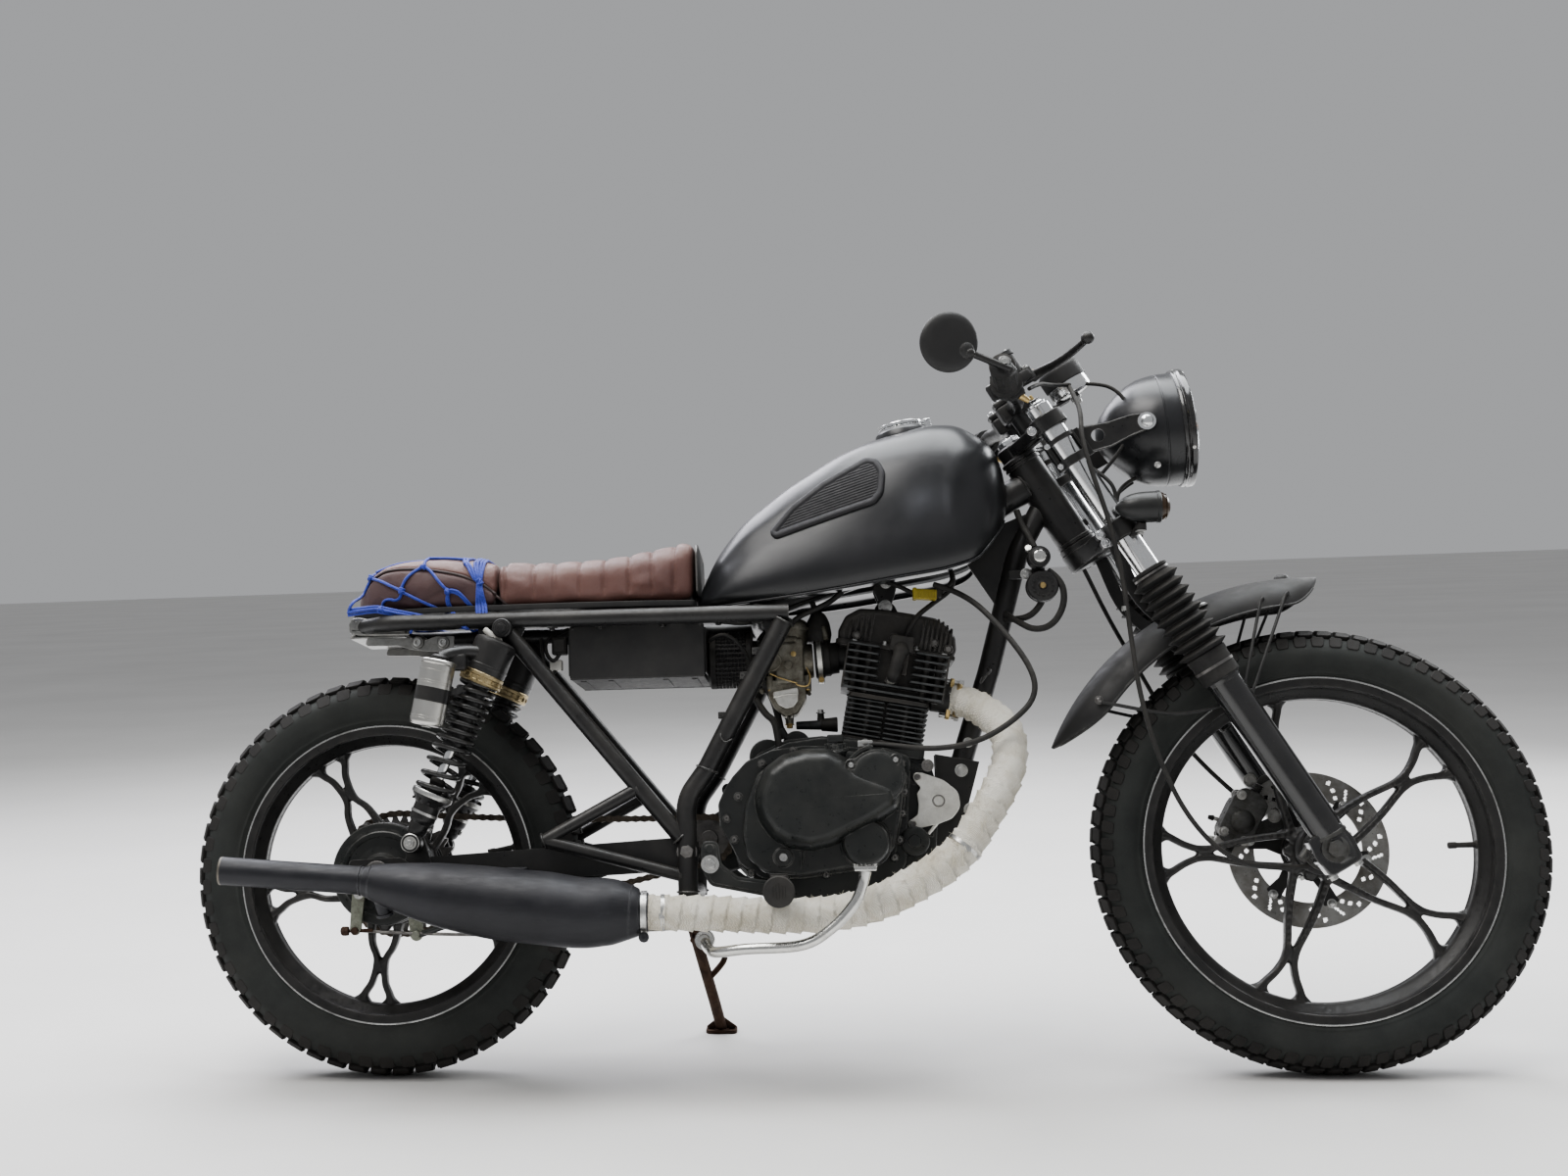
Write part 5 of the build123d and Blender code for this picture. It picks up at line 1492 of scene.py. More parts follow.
def on_side(x, z, sg, h=0.0, guess=112.0):
    """Where a line along Y meets the leather from outside; h proud of it."""
    for T in (HUMP_T, SEAT_T):
        p, n, _, _ = T.ray_cast((x, sg * 260, z), (0, -sg, 0))
        if p is not None and p[1] * sg > 20:
            n = np.array(n) * (1 if n[1] * sg > 0 else -1)
            return np.array(p) + n * h
    return np.array((x, sg * guess, z))


def on_top(x, y, h=0.0):
    best = None
    for T in (HUMP_T, SEAT_T):
        p, n, _, _ = T.ray_cast((x, y, 900), (0, 0, -1))
        if p is not None and (best is None or p[2] > best[0][2]):
            best = (np.array(p), np.array(n))
    if best is None:
        return np.array((x, y, 748.0))
    n = best[1] if best[1][2] > 0 else -best[1]
    return best[0] + n * h


# stitches sunk in the channels, piping over the hump's seam
stitch = Shape()
for g in GROOVES:
    row = []
    for k in range(73):
        a = radians(-12 + 204 * k / 72)
        p, n, _, _ = SEAT_T.ray_cast((g + 1.2 * sin(0), 0, 700), (0, cos(a), sin(a)))
        if p is not None:
            row.append(np.array(p))
    if len(row) < 8:
        continue
    row = resample(row, 4.0)
    for i in range(0, len(row) - 1, 2):
        m_ = (row[i] + row[i + 1]) / 2
        d_ = unit(row[i + 1] - row[i])
        stitch.rod(m_ - d_ * 1.5, m_ + d_ * 1.5, 0.75, n=5, b=0.4)
THREAD = paint("brown thread", (0.11, 0.045, 0.03), (0.16, 0.07, 0.05), 0.6, 0.1, dust=0.1, mottle=200)
piece("seat_stitches", stitch, [THREAD], "frame", angle=60, weighted=False)
pipe_s = Shape()
for sg in (-1, 1):
    row = []
    for x, z in resample(SL_[2:], 4.0):
        p = on_side(x, z, sg, 0.4)
        row.append(p)
    row = np.array(row)
    row[1:-1] = (row[:-2] + row[1:-1] * 2 + row[2:]) / 4
    pipe_s.tube(row, 2.1, 10)
    row = np.array([on_side(x, z, sg, 0.4) for x, z in
                    resample([(181, 690), (197, 677), (203, 673)], 3.0)])
    pipe_s.tube(row, 2.0, 10)
across = [on_side(-29, 702, -1, 0.2)] + [on_top(-26 + 0 * t, y, 0.2) for t, y in
                                         zip(range(9), np.linspace(-52, 52, 9))] + [on_side(-29, 702, 1, 0.2)]
PIPING = paint("dark piping", (0.030, 0.017, 0.017), (0.05, 0.03, 0.028), 0.45, 0.1, dust=0.2, mottle=60)
piece("hump_piping", pipe_s, [PIPING], "frame", angle=60, weighted=False)

# the seat's base board and its front edge strip
brd = Shape()
pl_ = rounded([(-44, -52), (20, -92), (90, -106), (200, -111), (300, -109), (400, -103), (467, -92),
               (467, 92), (400, 103), (300, 109), (200, 111), (90, 106), (20, 92), (-44, 52)], 8)
brd.prism(pl_, (0, 0, 0), (1, 0, 0), (0, 1, 0), 668.5, 677.5, 0, 1.5)
fr_ = rounded([(-90, 688), (90, 688), (90, 746), (82, 757), (58, 761), (-58, 761), (-82, 757), (-90, 746)], 9)
brd.prism(fr_, (468.6, 0, 0), (0, 1, 0), (0, 0, 1), -0.2, 2.2, 2, 0.8)
pth = np.r_[fr_, fr_[:1]]
pth = np.column_stack([np.full(len(pth), 470.2), pth])
brd.tube(resample(pth[:], 6), 1.5, 8, 1)
piece("seat_board", brd, [PLASTIC, DARKST, RUBBER], "frame")

# ----------------------------------------------------------- net


def cords(name, lines, r, mat, body, replaces=()):
    cu = bpy.data.curves.new(name, "CURVE")
    cu.dimensions = "3D"
    cu.bevel_depth = r / 1000
    cu.bevel_resolution = 3
    cu.use_fill_caps = True
    for pts in lines:
        q = to_row(pts)
        sp_ = cu.splines.new("NURBS")
        sp_.points.add(len(q) - 1)
        for a, b in zip(sp_.points, q):
            a.co = (*b, 1)
        sp_.order_u = 3
        sp_.use_endpoint_u = True
        sp_.resolution_u = 8
    cu.materials.append(mat)
    o = bpy.data.objects.new(name, cu)
    bpy.context.scene.collection.objects.link(o)
    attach(o, body)
    if replaces:
        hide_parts(*([replaces] if isinstance(replaces, str) else replaces))
    return o


NR = 2.25
lines, knots = [], []


def strand(pts, sg, h=NR + 0.3, shift=(0, 0)):
    """pts: (x, z) on the side, or (x, y, None) on the top, or a full point with 'at'."""
    out_ = []
    for p in pts:
        if len(p) == 3 and p[2] is None:
            out_.append(on_top(p[0] + shift[0], p[1] * sg, h))
        elif len(p) == 4:
            out_.append(np.array((p[0], p[1] * sg, p[2])))
        else:
            out_.append(on_side(p[0] + shift[0], p[1] + shift[1], sg, h))
    return out_


for sg in (1, -1):
    S_ = -sg
    add_ = lambda pts, **k: lines.append(strand(pts, S_, **k))
    low_z = lambda x: 675 - max(0.0, x - 12) * 0.245
    # from the rear hook over the edge to the first knot, then to the second
    add_([(-42, 96, 674, 0), (-36, 686), (-27, 702), (-18, 716), (-12, 726)])
    add_([(-12, 727), (4, 722), (22, 712), (39, 704)])
    add_([(39, 705), (42, 714), (50, 725), (62, 733), (72, 738)])
    add_([(72, 739), (79, 735), (88, 725), (98, 712), (110, 700)])
    add_([(40, 703), (38, 694), (30, 690), (21, 693), (12, 691), (8, 684), (10, 676)])
    add_([(41, 702), (55, 695), (75, 685), (98, 676), (118, 112, 660, 0), (130, 113, 652, 0)])
    for k in (-1.6, 1.6):
        add_([(110, 700), (107 + k, 688), (112 + k, 676), (120 + k, 113, 662, 0), (126 + k, 113, 655, 0)])
        add_([(111, 701 + k), (122, 701 + k), (134, 688 + k), (147, 674 + k), (151, 670 + k)])
    # doubled strands of the bundle, tied together half way down
    for k, t in ((-6.5, 0.0), (-2.4, 0.6), (2.2, -0.4), (6.4, 0.3)):
        add_([(154 + k, 60, None), (154 + k, 88, None), (154 + k * 1.1, 738), (156 + k * 0.55, 722),
              (156 + k * 0.42, 709), (157 + k * 0.6, 694), (158 + k, 681), (160 + k * 1.1, 117, 668, 0),
              (161 + k, 116, 657, 0)], h=NR + 0.5 + abs(t))
    for k in (-2.2, 2.2):
        add_([(130 + k, 70, None), (133 + k, 92, None), (139 + k, 736), (146 + k, 724), (150 + k * 0.6, 713),
              (155, 709)], h=NR + 0.4)
    # triple band along the foot
    for k, dy in ((-3.4, 0.0), (0.6, 2.8), (4.4, 0.6)):
        add_([(-42, 97 + dy, 674 + k, 0), (-20, 102 + dy, 676 + k, 0), (4, 106 + dy, 677 + k, 0),
              (14, 108 + dy, 674 + k, 0), (38, 111 + dy, 668 + k, 0), (64, 113 + dy, 662 + k, 0),
              (100, 115 + dy, 654 + k, 0), (138, 116 + dy, 645 + k * 0.5, 0)])
    add_([(66, 117, 663, 0), (63, 118, 655, 0), (58, 116, 646, 0), (54, 112, 640, 0)])
    for p in ((-12, 727), (40, 704), (72, 738), (110, 700), (151, 670)):
        knots.append((on_side(*p, S_, NR + 0.6), S_))
    for p in ((10, 110, 676), (66, 114, 662), (128, 115, 654), (156, 117, 709), (138, 116, 646)):
        q = np.array((p[0], p[1] * S_, p[2]), float)
        if p[2] > 700:
            q = on_side(p[0], p[2], S_, NR + 2.0)
        knots.append((q, S_))
# strands over the top, from side to side
for x0_, x1_ in ((72, 74), (133, 131), (-11, -10)):
    lines.append([on_side(x0_, 738 if x0_ > 0 else 727, -1, NR + 0.4)]
                 + [on_top(x0_ + (x1_ - x0_) * t + 5 * sin(3 * t), y, NR + 0.4)
                    for t, y in zip(np.linspace(0, 1, 7), np.linspace(-84 if x0_ > 0 else -64,
                                                                      84 if x0_ > 0 else 64, 7))]
                 + [on_side(x1_, 738 if x0_ > 0 else 727, 1, NR + 0.4)])
for k in (-6.5, -2.4, 2.2, 6.4):
    lines.append([on_top(154 + k, y, NR + 0.5) for y in (-62, -30, 0, 30, 62)])
for y_ in (-70, -24, 24, 70):
    lines.append([on_top(x, y_ + 6 * sin(x / 23 + y_), NR + 0.4) for x in (73, 92, 112, 132)])
for ya, yb in ((-60, -20), (-20, 24), (24, 60)):
    lines.append([on_top(x, ya + (yb - ya) * t, NR + 0.4) for x, t in ((-6, 0), (16, 0.35), (44, 0.7), (72, 1))])
cords("net_cords", lines, NR, BLUE, "frame", "luggage_net")
kn = Shape()
for i, (p, sg) in enumerate(knots):
    nrm = np.array((0, sg, 0.25))
    u_, w_ = basis(nrm)
    for j in range(3):
        a = rng.uniform(0, pi)
        ax_ = unit(u_ * cos(a) + w_ * sin(a) + unit(nrm) * rng.uniform(-0.5, 0.5))
        bu, bw = basis(ax_)
        ring = [p + ax_ * (j - 1) * 2.4 + bu * 3.6 * cos(t) + bw * 3.6 * sin(t)
                for t in np.linspace(0, 2 * pi, 14)[:-1]]
        kn.tube(ring, 2.0, 6, closed=True)
    kn.rod(p - u_ * 4, p + u_ * 4, 2.6, n=10, b=1.4)
piece("net_knots", kn, [BLUE], "frame", angle=180, weighted=False)

# ------------------------------------------------ tail tray, white hook
tr = Shape()
for sg in (-1, 1):
    y0_, y1_ = sg * 72.5, sg * 76.0
    plate = rounded([(-22, 627), (29, 626), (46, 620), (77, 616), (111, 616), (112, 638), (85, 638), (70, 633),
                     (46, 637), (-18, 639)], [4, 10, 10, 3, 2, 2, 3, 6, 6, 4])
    tr.slab(plate, y0_, y1_, 0, 0.7)
    horn = rounded([(-44, 646), (-45, 660), (-40, 668), (-30, 669), (6, 664), (36, 657), (46, 649), (46, 640),
                    (0, 641), (-30, 642)], [4, 6, 5, 5, 20, 8, 5, 3, 20, 6])
    tr.slab(horn, sg * 76.2, sg * 81.5, 0, 2.2)
    tr.slab(inset(horn if area2(horn) > 0 else horn[::-1], 5.5), sg * 81.0, sg * 82.6, 0, 0.7)
    for x, z in ((58, 629.5), (96, 628.5)):
        tr.lathe([(0, 0), (9, 0), (9.4, 1.2), (8.4, 2.2), (0, 2.2)], (x, y1_, z), (0, sg, 0), 28, 0)
        tr.bolt((x, y1_ + sg * 2.0, z), (0, sg, 0), 6.0, 4.6, 1, "cap", False)
    tr.bolt((37, sg * 81.6, 652), (0, sg, 0), 4.4, 3.0, 1, "dome", False)
tr.box((-3, 0, 640), (84, 148, 3.6), 0, 1.0)
for x in (-40, -3, 34):
    tr.box((x, 0, 643.2), (8, 140, 2.6), 0, 1.0)
TRAYM = metal_mat("dull tray steel", (0.27, 0.27, 0.26), (0.38, 0.375, 0.36), 0.36, 0.1, 0.35,
                  (0.08, 0.07, 0.055), 34)
piece("tail_tray", tr, [TRAYM, STEEL], "frame", "tail_bracket")
wh = Shape()
wh.rod((165, -124, 641), (180, -126, 627), 4.2, 5.0, 20, b=2)
wh.lathe([(0, -4), (8.6, -4), (10, -2.6), (10, 2.6), (8.6, 4), (0, 4)], (181, -126, 623), (0, -1, 0.1), 28)
wh.rod((181, -126, 618), (193, -127, 608), 4.6, 3.6, 18, b=1.6)
wh.rod((172, -125, 620), (186, -127, 629), 5.0, 5.0, 18, b=1.6)
wh.rod((181, -128, 623), (181, -133, 623), 4.4, 3.8, 20, b=1)
wh.rod((181, -126, 624), (181, -110, 640), 2.2, n=10)
piece("white_hook", wh, [WHITE], "frame", angle=50)
# ----------------------------------------------------------- engine
CT = radians(11)


def cyl(u, w, y=0.0):
    return np.array((728 + u * cos(CT) + w * sin(CT), y, 468 - u * sin(CT) + w * cos(CT)))


CYL_U, CYL_W = np.array((cos(CT), 0, -sin(CT))), np.array((sin(CT), 0, cos(CT)))
CYL_R = np.column_stack([CYL_U, (0, 1, 0), CYL_W])
ENG_B, FIN_S = "crankcase", "black_engine_paint"
FINEDGE = paint("worn fin edge", (0.035, 0.038, 0.040), (0.085, 0.09, 0.092), 0.42, 0.12, dust=0.25,
                dust_and_sheen_c=(0.16, 0.15, 0.13), mottle=60)
CARBM = metal_mat("dull cast zinc", (0.30, 0.29, 0.25), (0.16, 0.145, 0.115), 0.5, 0.12, grime=0.55,
                  grime_c=(0.09, 0.07, 0.045), scale=60, bump=0.35)
SILV = metal_mat("silver paint", (0.80, 0.79, 0.75), (0.66, 0.65, 0.61), 0.46, 0.06, grime=0.18,
                 grime_c=(0.20, 0.18, 0.15), scale=50, bump=0.15)

# fins: thin plates with a softened rim; a rim strip takes the worn edge
head = Shape()


def fin(sh, u0, u1, y0, y1, w, t, mat=0, rim=1, r=7):
    poly = rounded([(u0, y0), (u1, y0), (u1, y1), (u0, y1)], r, 4)
    if area2(poly) < 0:
        poly = poly[::-1]
    rings = []
    for ins, h in ((3.0, 0.0), (0.5, 0.0), (0.0, 0.45), (0.0, t - 0.45), (0.5, t), (3.0, t)):
        q = inset(poly, ins)
        rings.append([cyl(a, w + h, b) for a, b in q])
    sh.rings(rings[:2], mat, caps=(True, False))
    sh.rings(rings[1:5], rim, caps=(False, False))
    sh.rings(rings[4:], mat, caps=(False, True))


HFW = [68.5 + 10.55 * k for k in range(7)]
for k, w in enumerate(HFW[:2]):
    fin(head, -73, 73, -65, 65, w, 3.4)
for k, w in enumerate(HFW[2:]):
    s_ = 0.35 * k
    fin(head, -73 + s_, -24 - s_, -65, -28, w, 3.2, r=5)
    fin(head, 22 + s_, 73 - s_, -65, -28, w, 3.2, r=5)
    fin(head, -73 + s_, 73 - s_, -30, 65, w, 3.2, r=6)
# joints cast between the fins at the front and back edges, and small pillars
for uu in (-58, -40, 42, 60):
    for yy in (-52, 52):
        head.rod(cyl(uu, 66, yy), cyl(uu, 134, yy), 5.2, n=16, b=0.5)
for yy in (-62, 62):
    for uu in (-71.4, 71.4):
        head.rod(cyl(uu, 70, yy), cyl(uu, 133, yy), 1.6, n=10, b=0.3)
core = rounded([(-56, -50), (56, -50), (56, 50), (-56, 50)], 16)
head.prism(core, (728, 0, 468), CYL_U, (0, 1, 0), 58, 132, 0, 1.0)
deck = rounded([(-60, -62), (54, -62), (54, 62), (-60, 62)], 8)
head.prism(deck, (728, 0, 468), CYL_U, (0, 1, 0), 58.0, 64.5, 0, 1.2)
# plug well with its cap, terminal and white insulator
well = rounded([(-22, -40), (20, -40), (20, -18), (-22, -18)], 5)
head.prism(well, (728, 0, 468), CYL_U, (0, 1, 0), 82, 133, 0, 1.5)
pl = [cyl(-3, 90, -58), cyl(1, 110, -70), cyl(4, 130, -74)]
head.rod(cyl(-4, 86, -48), cyl(-3.6, 88.5, -57), 9.5, 9.5, 6, b=1)
head.rod(cyl(-3.8, 87.5, -54), cyl(-3, 91.5, -66), 6.0, 5.2, 24, mat=2, b=1.2)
cap_p = catmull([cyl(-3.0, 90.5, -63), cyl(-2, 98, -71), cyl(0, 112, -73), (cyl(2, 126, -72)),
                 cyl(4, 138, -66)], 6)
head.tube(cap_p, np.interp(np.linspace(0, 1, len(cap_p)), [0, 0.12, 0.2, 0.75, 0.85, 1],
                           [7.0, 8.6, 9.4, 9.4, 12.5, 10.5]), 20, 3)
head.box(cyl(3, 142, -63), (34, 20, 24), 3, 3.0, CYL_R)
head.box(cyl(12, 118, -64), (7, 12, 40), 0, 1.5, CYL_R)
for k in range(3):
    q = cap_p[8 + k * 2]
    head.lathe([(9, -0.9), (10.4, -0.9), (10.4, 0.9), (9, 0.9)], q, cap_p[10] - cap_p[8], 24, 3, closed=True)
# rocker cover: hump with ribs
roc = rounded([(-86, 127), (-89, 150), (-82, 172), (-64, 186), (-30, 190), (10, 190), (44, 189), (60, 183),
               (76, 166), (80, 148), (76, 129)], [6, 12, 12, 14, 30, 30, 14, 12, 12, 12, 6])
rocp = [(728 + a * cos(CT) + b * sin(CT), 468 - a * sin(CT) + b * cos(CT)) for a, b in roc]
head.slab(np.array(rocp), -51, 51, 0, 9.0)
lip = rounded([(-90, -56), (80, -56), (80, 56), (-90, 56)], 12)
head.prism(lip, (728, 0, 468), CYL_U, (0, 1, 0), 131.5, 138.5, 0, 1.8)
for k in range(7):
    uu = 30 + k * 6.6
    zt_ = 186 - max(0, (uu - 52)) * 0.62
    path = [cyl(uu, 140, -52.5), cyl(uu, zt_ - 14, -52.5), cyl(uu, zt_ - 1, -44), cyl(uu, zt_ + 2.0, -20),
            cyl(uu, zt_ + 2.4, 20), cyl(uu, zt_ - 1, 44), cyl(uu, zt_ - 14, 52.5), cyl(uu, 140, 52.5)]
    head.tube(catmull(path, 5), 1, section=rounded([(-1.5, -2.6), (1.5, -2.6), (1.2, 2.6), (-1.2, 2.6)], 0.6, 2),
              up=CYL_U)
for k in range(5):
    uu = -72 + k * 7.4
    path = [cyl(uu, 140, -52.5), cyl(uu, 158 + k * 2.4, -52.5), cyl(uu, 172 + k * 3.0, -43),
            cyl(uu, 178 + k * 2.6, -15)]
    head.tube(catmull(path, 5), 1, section=rounded([(-1.4, -2.2), (1.4, -2.2), (1.1, 2.2), (-1.1, 2.2)], 0.6, 2),
              up=CYL_U)
for uu, ww, yy in ((-33, 181, -40), (-9, 150, -52), (48, 152, -52), (-62, 146, -54), (68, 146, -54),
                   (-33, 181, 40), (48, 152, 52), (-62, 146, 54), (68, 146, 54)):
    sg = -1 if yy < 0 else 1
    head.rod(cyl(uu, ww, yy - sg * 4), cyl(uu, ww, yy + sg * 4.5), 7.6, 6.6, 20, b=1.2)
    head.bolt(cyl(uu, ww, yy + sg * 4.4), (0, sg, 0), 4.0, 3.6, 6 if uu != -33 else 4, "hex", False)
for uu in (-64, -20, 24, 64):
    for sg in (-1, 1):
        head.bolt(cyl(uu, 138.4, sg * 51), CYL_W, 3.9, 4.0, 4, "hex", True)
# hanger lug on the crown
lug = rounded([(718, 650), (760, 650), (752, 668), (745, 676), (731, 676), (724, 668)], 5)
head.slab(lug, -14, 14, 0, 2.5)
head.rod((738, -19, 667), (738, 19, 667), 5.5, n=20, b=1)
head.bolt((738, -18.6, 667), (0, -1, 0), 6.6, 4.5, 4, "hex", True)
# ports
head.rod(cyl(56, 79, -25), cyl(88, 79, -25), 22.0, 21.0, 36, b=2)
head.rod((660, -10, 598), (690, -10, 598), 20.0, 22.0, 36, b=2)
for sg in (-1, 1):
    head.rod(cyl(70, 79 + sg * 25, -25), cyl(96, 79 + sg * 25, -25), 3.4, n=14, mat=4, b=0.8)
    head.bolt(cyl(92, 79 + sg * 25, -25), CYL_U, 5.4, 6.0, 4, "hex", False)
ring_o = rounded([(-25 - 20, 79), (-25 - 8, 79 + 30), (-25 + 8, 79 + 30), (-25 + 20, 79), (-25 + 8, 79 - 30),
                  (-25 - 8, 79 - 30)], [16, 8, 8, 16, 8, 8])
head.prism([(b - 79, a) for a, b in ring_o], cyl(85.0, 79, 0), CYL_W, (0, 1, 0), 0, 6.0, 5, 1.2)
head.lathe([(19.5, -2), (23.2, -2), (24.4, 0), (24.4, 4), (23.2, 6), (19.5, 6)], cyl(91, 79, -25), CYL_U, 44, 5)
WHITEC = paint("white insulator", (0.55, 0.55, 0.52), (0.42, 0.41, 0.38), 0.3, 0.08, dust=0.2, mottle=40)
piece("head_casting", head, [FINS, FINEDGE, WHITEC, RUBBER, STEEL, BRASS, DARKST], "frame", "cylinder_head",
      angle=38)

barrel = Shape()
for k in range(8):
    w = 4.5 + k * 7.1
    fin(barrel, -61.5, -7.0, -58.5, 0, w, 2.6, r=4)
    fin(barrel, -4.0, 54.5, -58.5, 0, w, 2.6, r=4)
    fin(barrel, -61.5, 54.5, -1, 58.5, w, 2.6, r=5)
barrel.prism(rounded([(-50, -46), (44, -46), (44, 46), (-50, 46)], 14), (728, 0, 468), CYL_U, (0, 1, 0), -10, 62,
             0, 1.0)
barrel.prism(rounded([(-62, -56), (56, -56), (56, 56), (-62, 56)], 9), (728, 0, 468), CYL_U, (0, 1, 0), -12, 3,
             0, 1.5)
for uu in (-54, -30, 24, 46):
    for yy in (-49, 49):
        barrel.rod(cyl(uu, 0, yy), cyl(uu, 60, yy), 4.6, n=14, b=0.4)
# side tensioner and its rubber plug behind the barrel
barrel.rod((664, -2, 499), (640, -2, 499), 11, 9, 24, b=1.5)
barrel.rod((645, -2, 499), (604, -2, 499), 7.2, 5.8, 20, mat=1, b=1.5)
barrel.rod((640, -2, 500), (640, -2, 517), 5.8, 4.6, 18, b=1.2)
barrel.bolt((640, -2, 516), (0, 0, 1), 4.6, 4, 2, "hex", True)
piece("barrel_fins", barrel, [FINS, FINEDGE, STEEL], "frame", "cylinder", angle=38)

# ----------------------------------------------------- crankcase
case = Shape()
co_ = rounded([(518, 296), (560, 250), (604, 246), (740, 240), (776, 262), (794, 302), (802, 400), (790, 440),
               (758, 464), (700, 474), (640, 480), (590, 476), (548, 456), (512, 412), (504, 350)],
              [22, 14, 10, 16, 20, 18, 22, 14, 14, 20, 14, 14, 24, 26, 24], 4)
case.slab(co_, -50, 1.5, 0, 3.0)
cr_ = rounded([(520, 298), (562, 254), (606, 248), (716, 246), (738, 262), (752, 300), (760, 400), (764, 446),
               (700, 470), (640, 476), (592, 470), (550, 452), (514, 410), (506, 350)],
              [22, 14, 10, 14, 14, 14, 22, 12, 20, 14, 14, 20, 24, 24], 4)
case.slab(cr_, -81, -46, 0, 3.0)
case.slab(inset(co_ if area2(co_) > 0 else co_[::-1], 0.6), 2.5, 88, 0, 3.0)
fl = inset(co_ if area2(co_) > 0 else co_[::-1], -2.8)
case.slab(fl, -4.6, 1.6, 0, 1.0)
case.slab(inset(fl, 0.3), 2.6, 9.0, 0, 1.0)
# deck under the barrel
case.prism(rounded([(-72, -60), (58, -60), (58, 60), (-72, 60)], 10), (728, 0, 468), CYL_U, (0, 1, 0), -16, -1.0,
           0, 1.8)
# cooling teeth and drain under the sump
for k, (x, d_) in enumerate(((612, 6), (630, 8), (652, 5), (668, 7), (690, 6))):
    case.box((x, -30, 243 - d_ * 0.3), (11, 92, 11 + d_ * 0.4), 0, 1.6)
case.lathe([(0, -9), (9, -9), (10.5, -7), (14, -6), (14, 0)], (700, -30, 241), (0, 0, 1), 24, 0)
case.bolt((700, -30, 233), (0, 0, -1), 8, 6, 1, "hex", True)
# split line bolts
for k, (x, z) in enumerate(((560, 262), (620, 256), (726, 252), (784, 292), (794, 400), (748, 458), (560, 452),
                            (518, 400), (518, 330), (660, 474))):
    case.rod((x, -10, z), (x, 14, z), 7.6, 7.6, 20, b=1.2)
    case.bolt((x, -9.6, z), (0, -1, 0), 4.4, 3.6, 2, "hex", True)
# ribs on the right flank ahead of the cover
for x0_, z0_, x1_, z1_ in ((764, 296, 788, 292), (766, 318, 790, 314), (768, 340, 792, 338),
                           (764, 412, 794, 410), (764, 436, 790, 430)):
    case.tube([(x0_, -49.5, z0_), (x1_, -49.5, z1_)], 1,
              section=rounded([(-2, -3), (2, -3), (1.5, 4), (-1.5, 4)], 0.8, 2), up=(0, -1, 0))
# disc ahead of the cover, above the pipe
case.lathe([(0, 3), (16, 3), (20, 1), (21, -6), (21, -30)], (764, -84, 328), (0, -1, 0), 40)
case.lathe([(0, 2), (8, 2), (9, 0), (9, -8)], (764, -88, 328), (0, -1, 0), 28)
case.bolt((787, -62, 434), (0, -1, 0), 6.0, 4.0, 1, "hex", True)
case.rod((787, -62, 434), (787, -2, 434), 7, n=20)
# left side: generator cover, sprocket cover, selector shaft
gen = rounded([(612, 350), (630, 296), (690, 270), (756, 292), (776, 350), (756, 412), (690, 434), (628, 408)],
              40, 5)
case.slab(gen, 84, 110, 0, 4.0)
case.lathe([(0, 123), (40, 123), (56, 121), (66, 115), (72, 104), (76, 84)], (690, 0, 350), (0, 1, 0), 64)
case.lathe([(0, 126), (14, 126), (16.5, 124), (17, 119)], (690, 0, 350), (0, 1, 0), 36)
case.box((690, 125.6, 350), (20, 3, 4.4), 1, 0.8)
for k in range(7):
    a = 2 * pi * k / 7 + 0.3
    x, z = 690 + 76 * cos(a), 350 + 76 * sin(a)
    case.rod((x, 86, z), (x, 112, z), 7.4, 6.8, 20, b=1.2)
    case.bolt((x, 112, z), (0, 1, 0), 4.2, 3.4, 1, "hex", True)
spc = rounded([(470, 300), (490, 287), (540, 300), (560, 398), (552, 404), (500, 389), (469, 371)],
              [14, 12, 16, 14, 10, 20, 14], 4)
case.slab(spc, 86, 108.5, 0, 4.0)
case.slab(inset(spc if area2(spc) > 0 else spc[::-1], 12), 107.5, 110, 0, 1.2)
for x, z in ((480, 306), (534, 306), (548, 390), (482, 366)):
    case.bolt((x, 108.4, z), (0, 1, 0), 4.2, 3.4, 1, "cap", True)
case.rod((600, 80, 300), (600, 98, 300), 12, 11, 24, b=1.5)
case.rod((600, 92, 300), (600, 112, 300), 5.5, n=18)
case.box((575, 104, 286), (60, 7, 12), 1, 2.0, np.column_stack([unit((0.9, 0, 0.43)), (0, 1, 0),
                                                                unit((-0.43, 0, 0.9))]))
case.rod((520, -60, 408), (505, -88, 404), 10, 9, 20, b=1)
# breather and starter humps on the back, top
case.rod((562, -40, 452), (562, 60, 452), 26, n=36, b=4)
case.rod((604, -26, 470), (604, 40, 470), 20, n=32, b=4)
case.rod((588, -20, 480), (582, -22, 494), 6.5, 5.5, 18, b=1)
piece("crankcase_castings", case, [ENGINE, DARKST, DARKST], "frame", "crankcase", angle=34)

# ------------------------------------------------ right-hand cover
cov = Shape()
fo = rounded([(514, 423), (534, 444), (569, 459), (614, 464), (670, 462), (706, 458), (748, 449), (757, 418),
              (752, 378), (744, 344), (738, 311), (711, 293), (669, 286), (608, 278), (552, 279), (522, 299),
              (506, 331), (494, 352), (492, 384), (502, 406)], 16, 4)
fo = fo[::-1] if area2(fo) < 0 else fo
cov.slab(fo, -96, -80.8, 0, 1.6)
cov.slab(inset(fo, 1.2), -98.2, -95, 0, 0.8)
inn = rounded([(548, 424), (530, 378), (526, 340), (532, 308), (555, 286), (604, 282), (664, 290), (706, 298),
               (735, 316), (742, 348), (748, 380), (752, 418), (744, 444), (700, 452), (640, 458), (584, 450)],
              18, 4)
inn = inn[::-1] if area2(inn) < 0 else inn
cov.slab(inn, -119, -95, 0, 5.0)


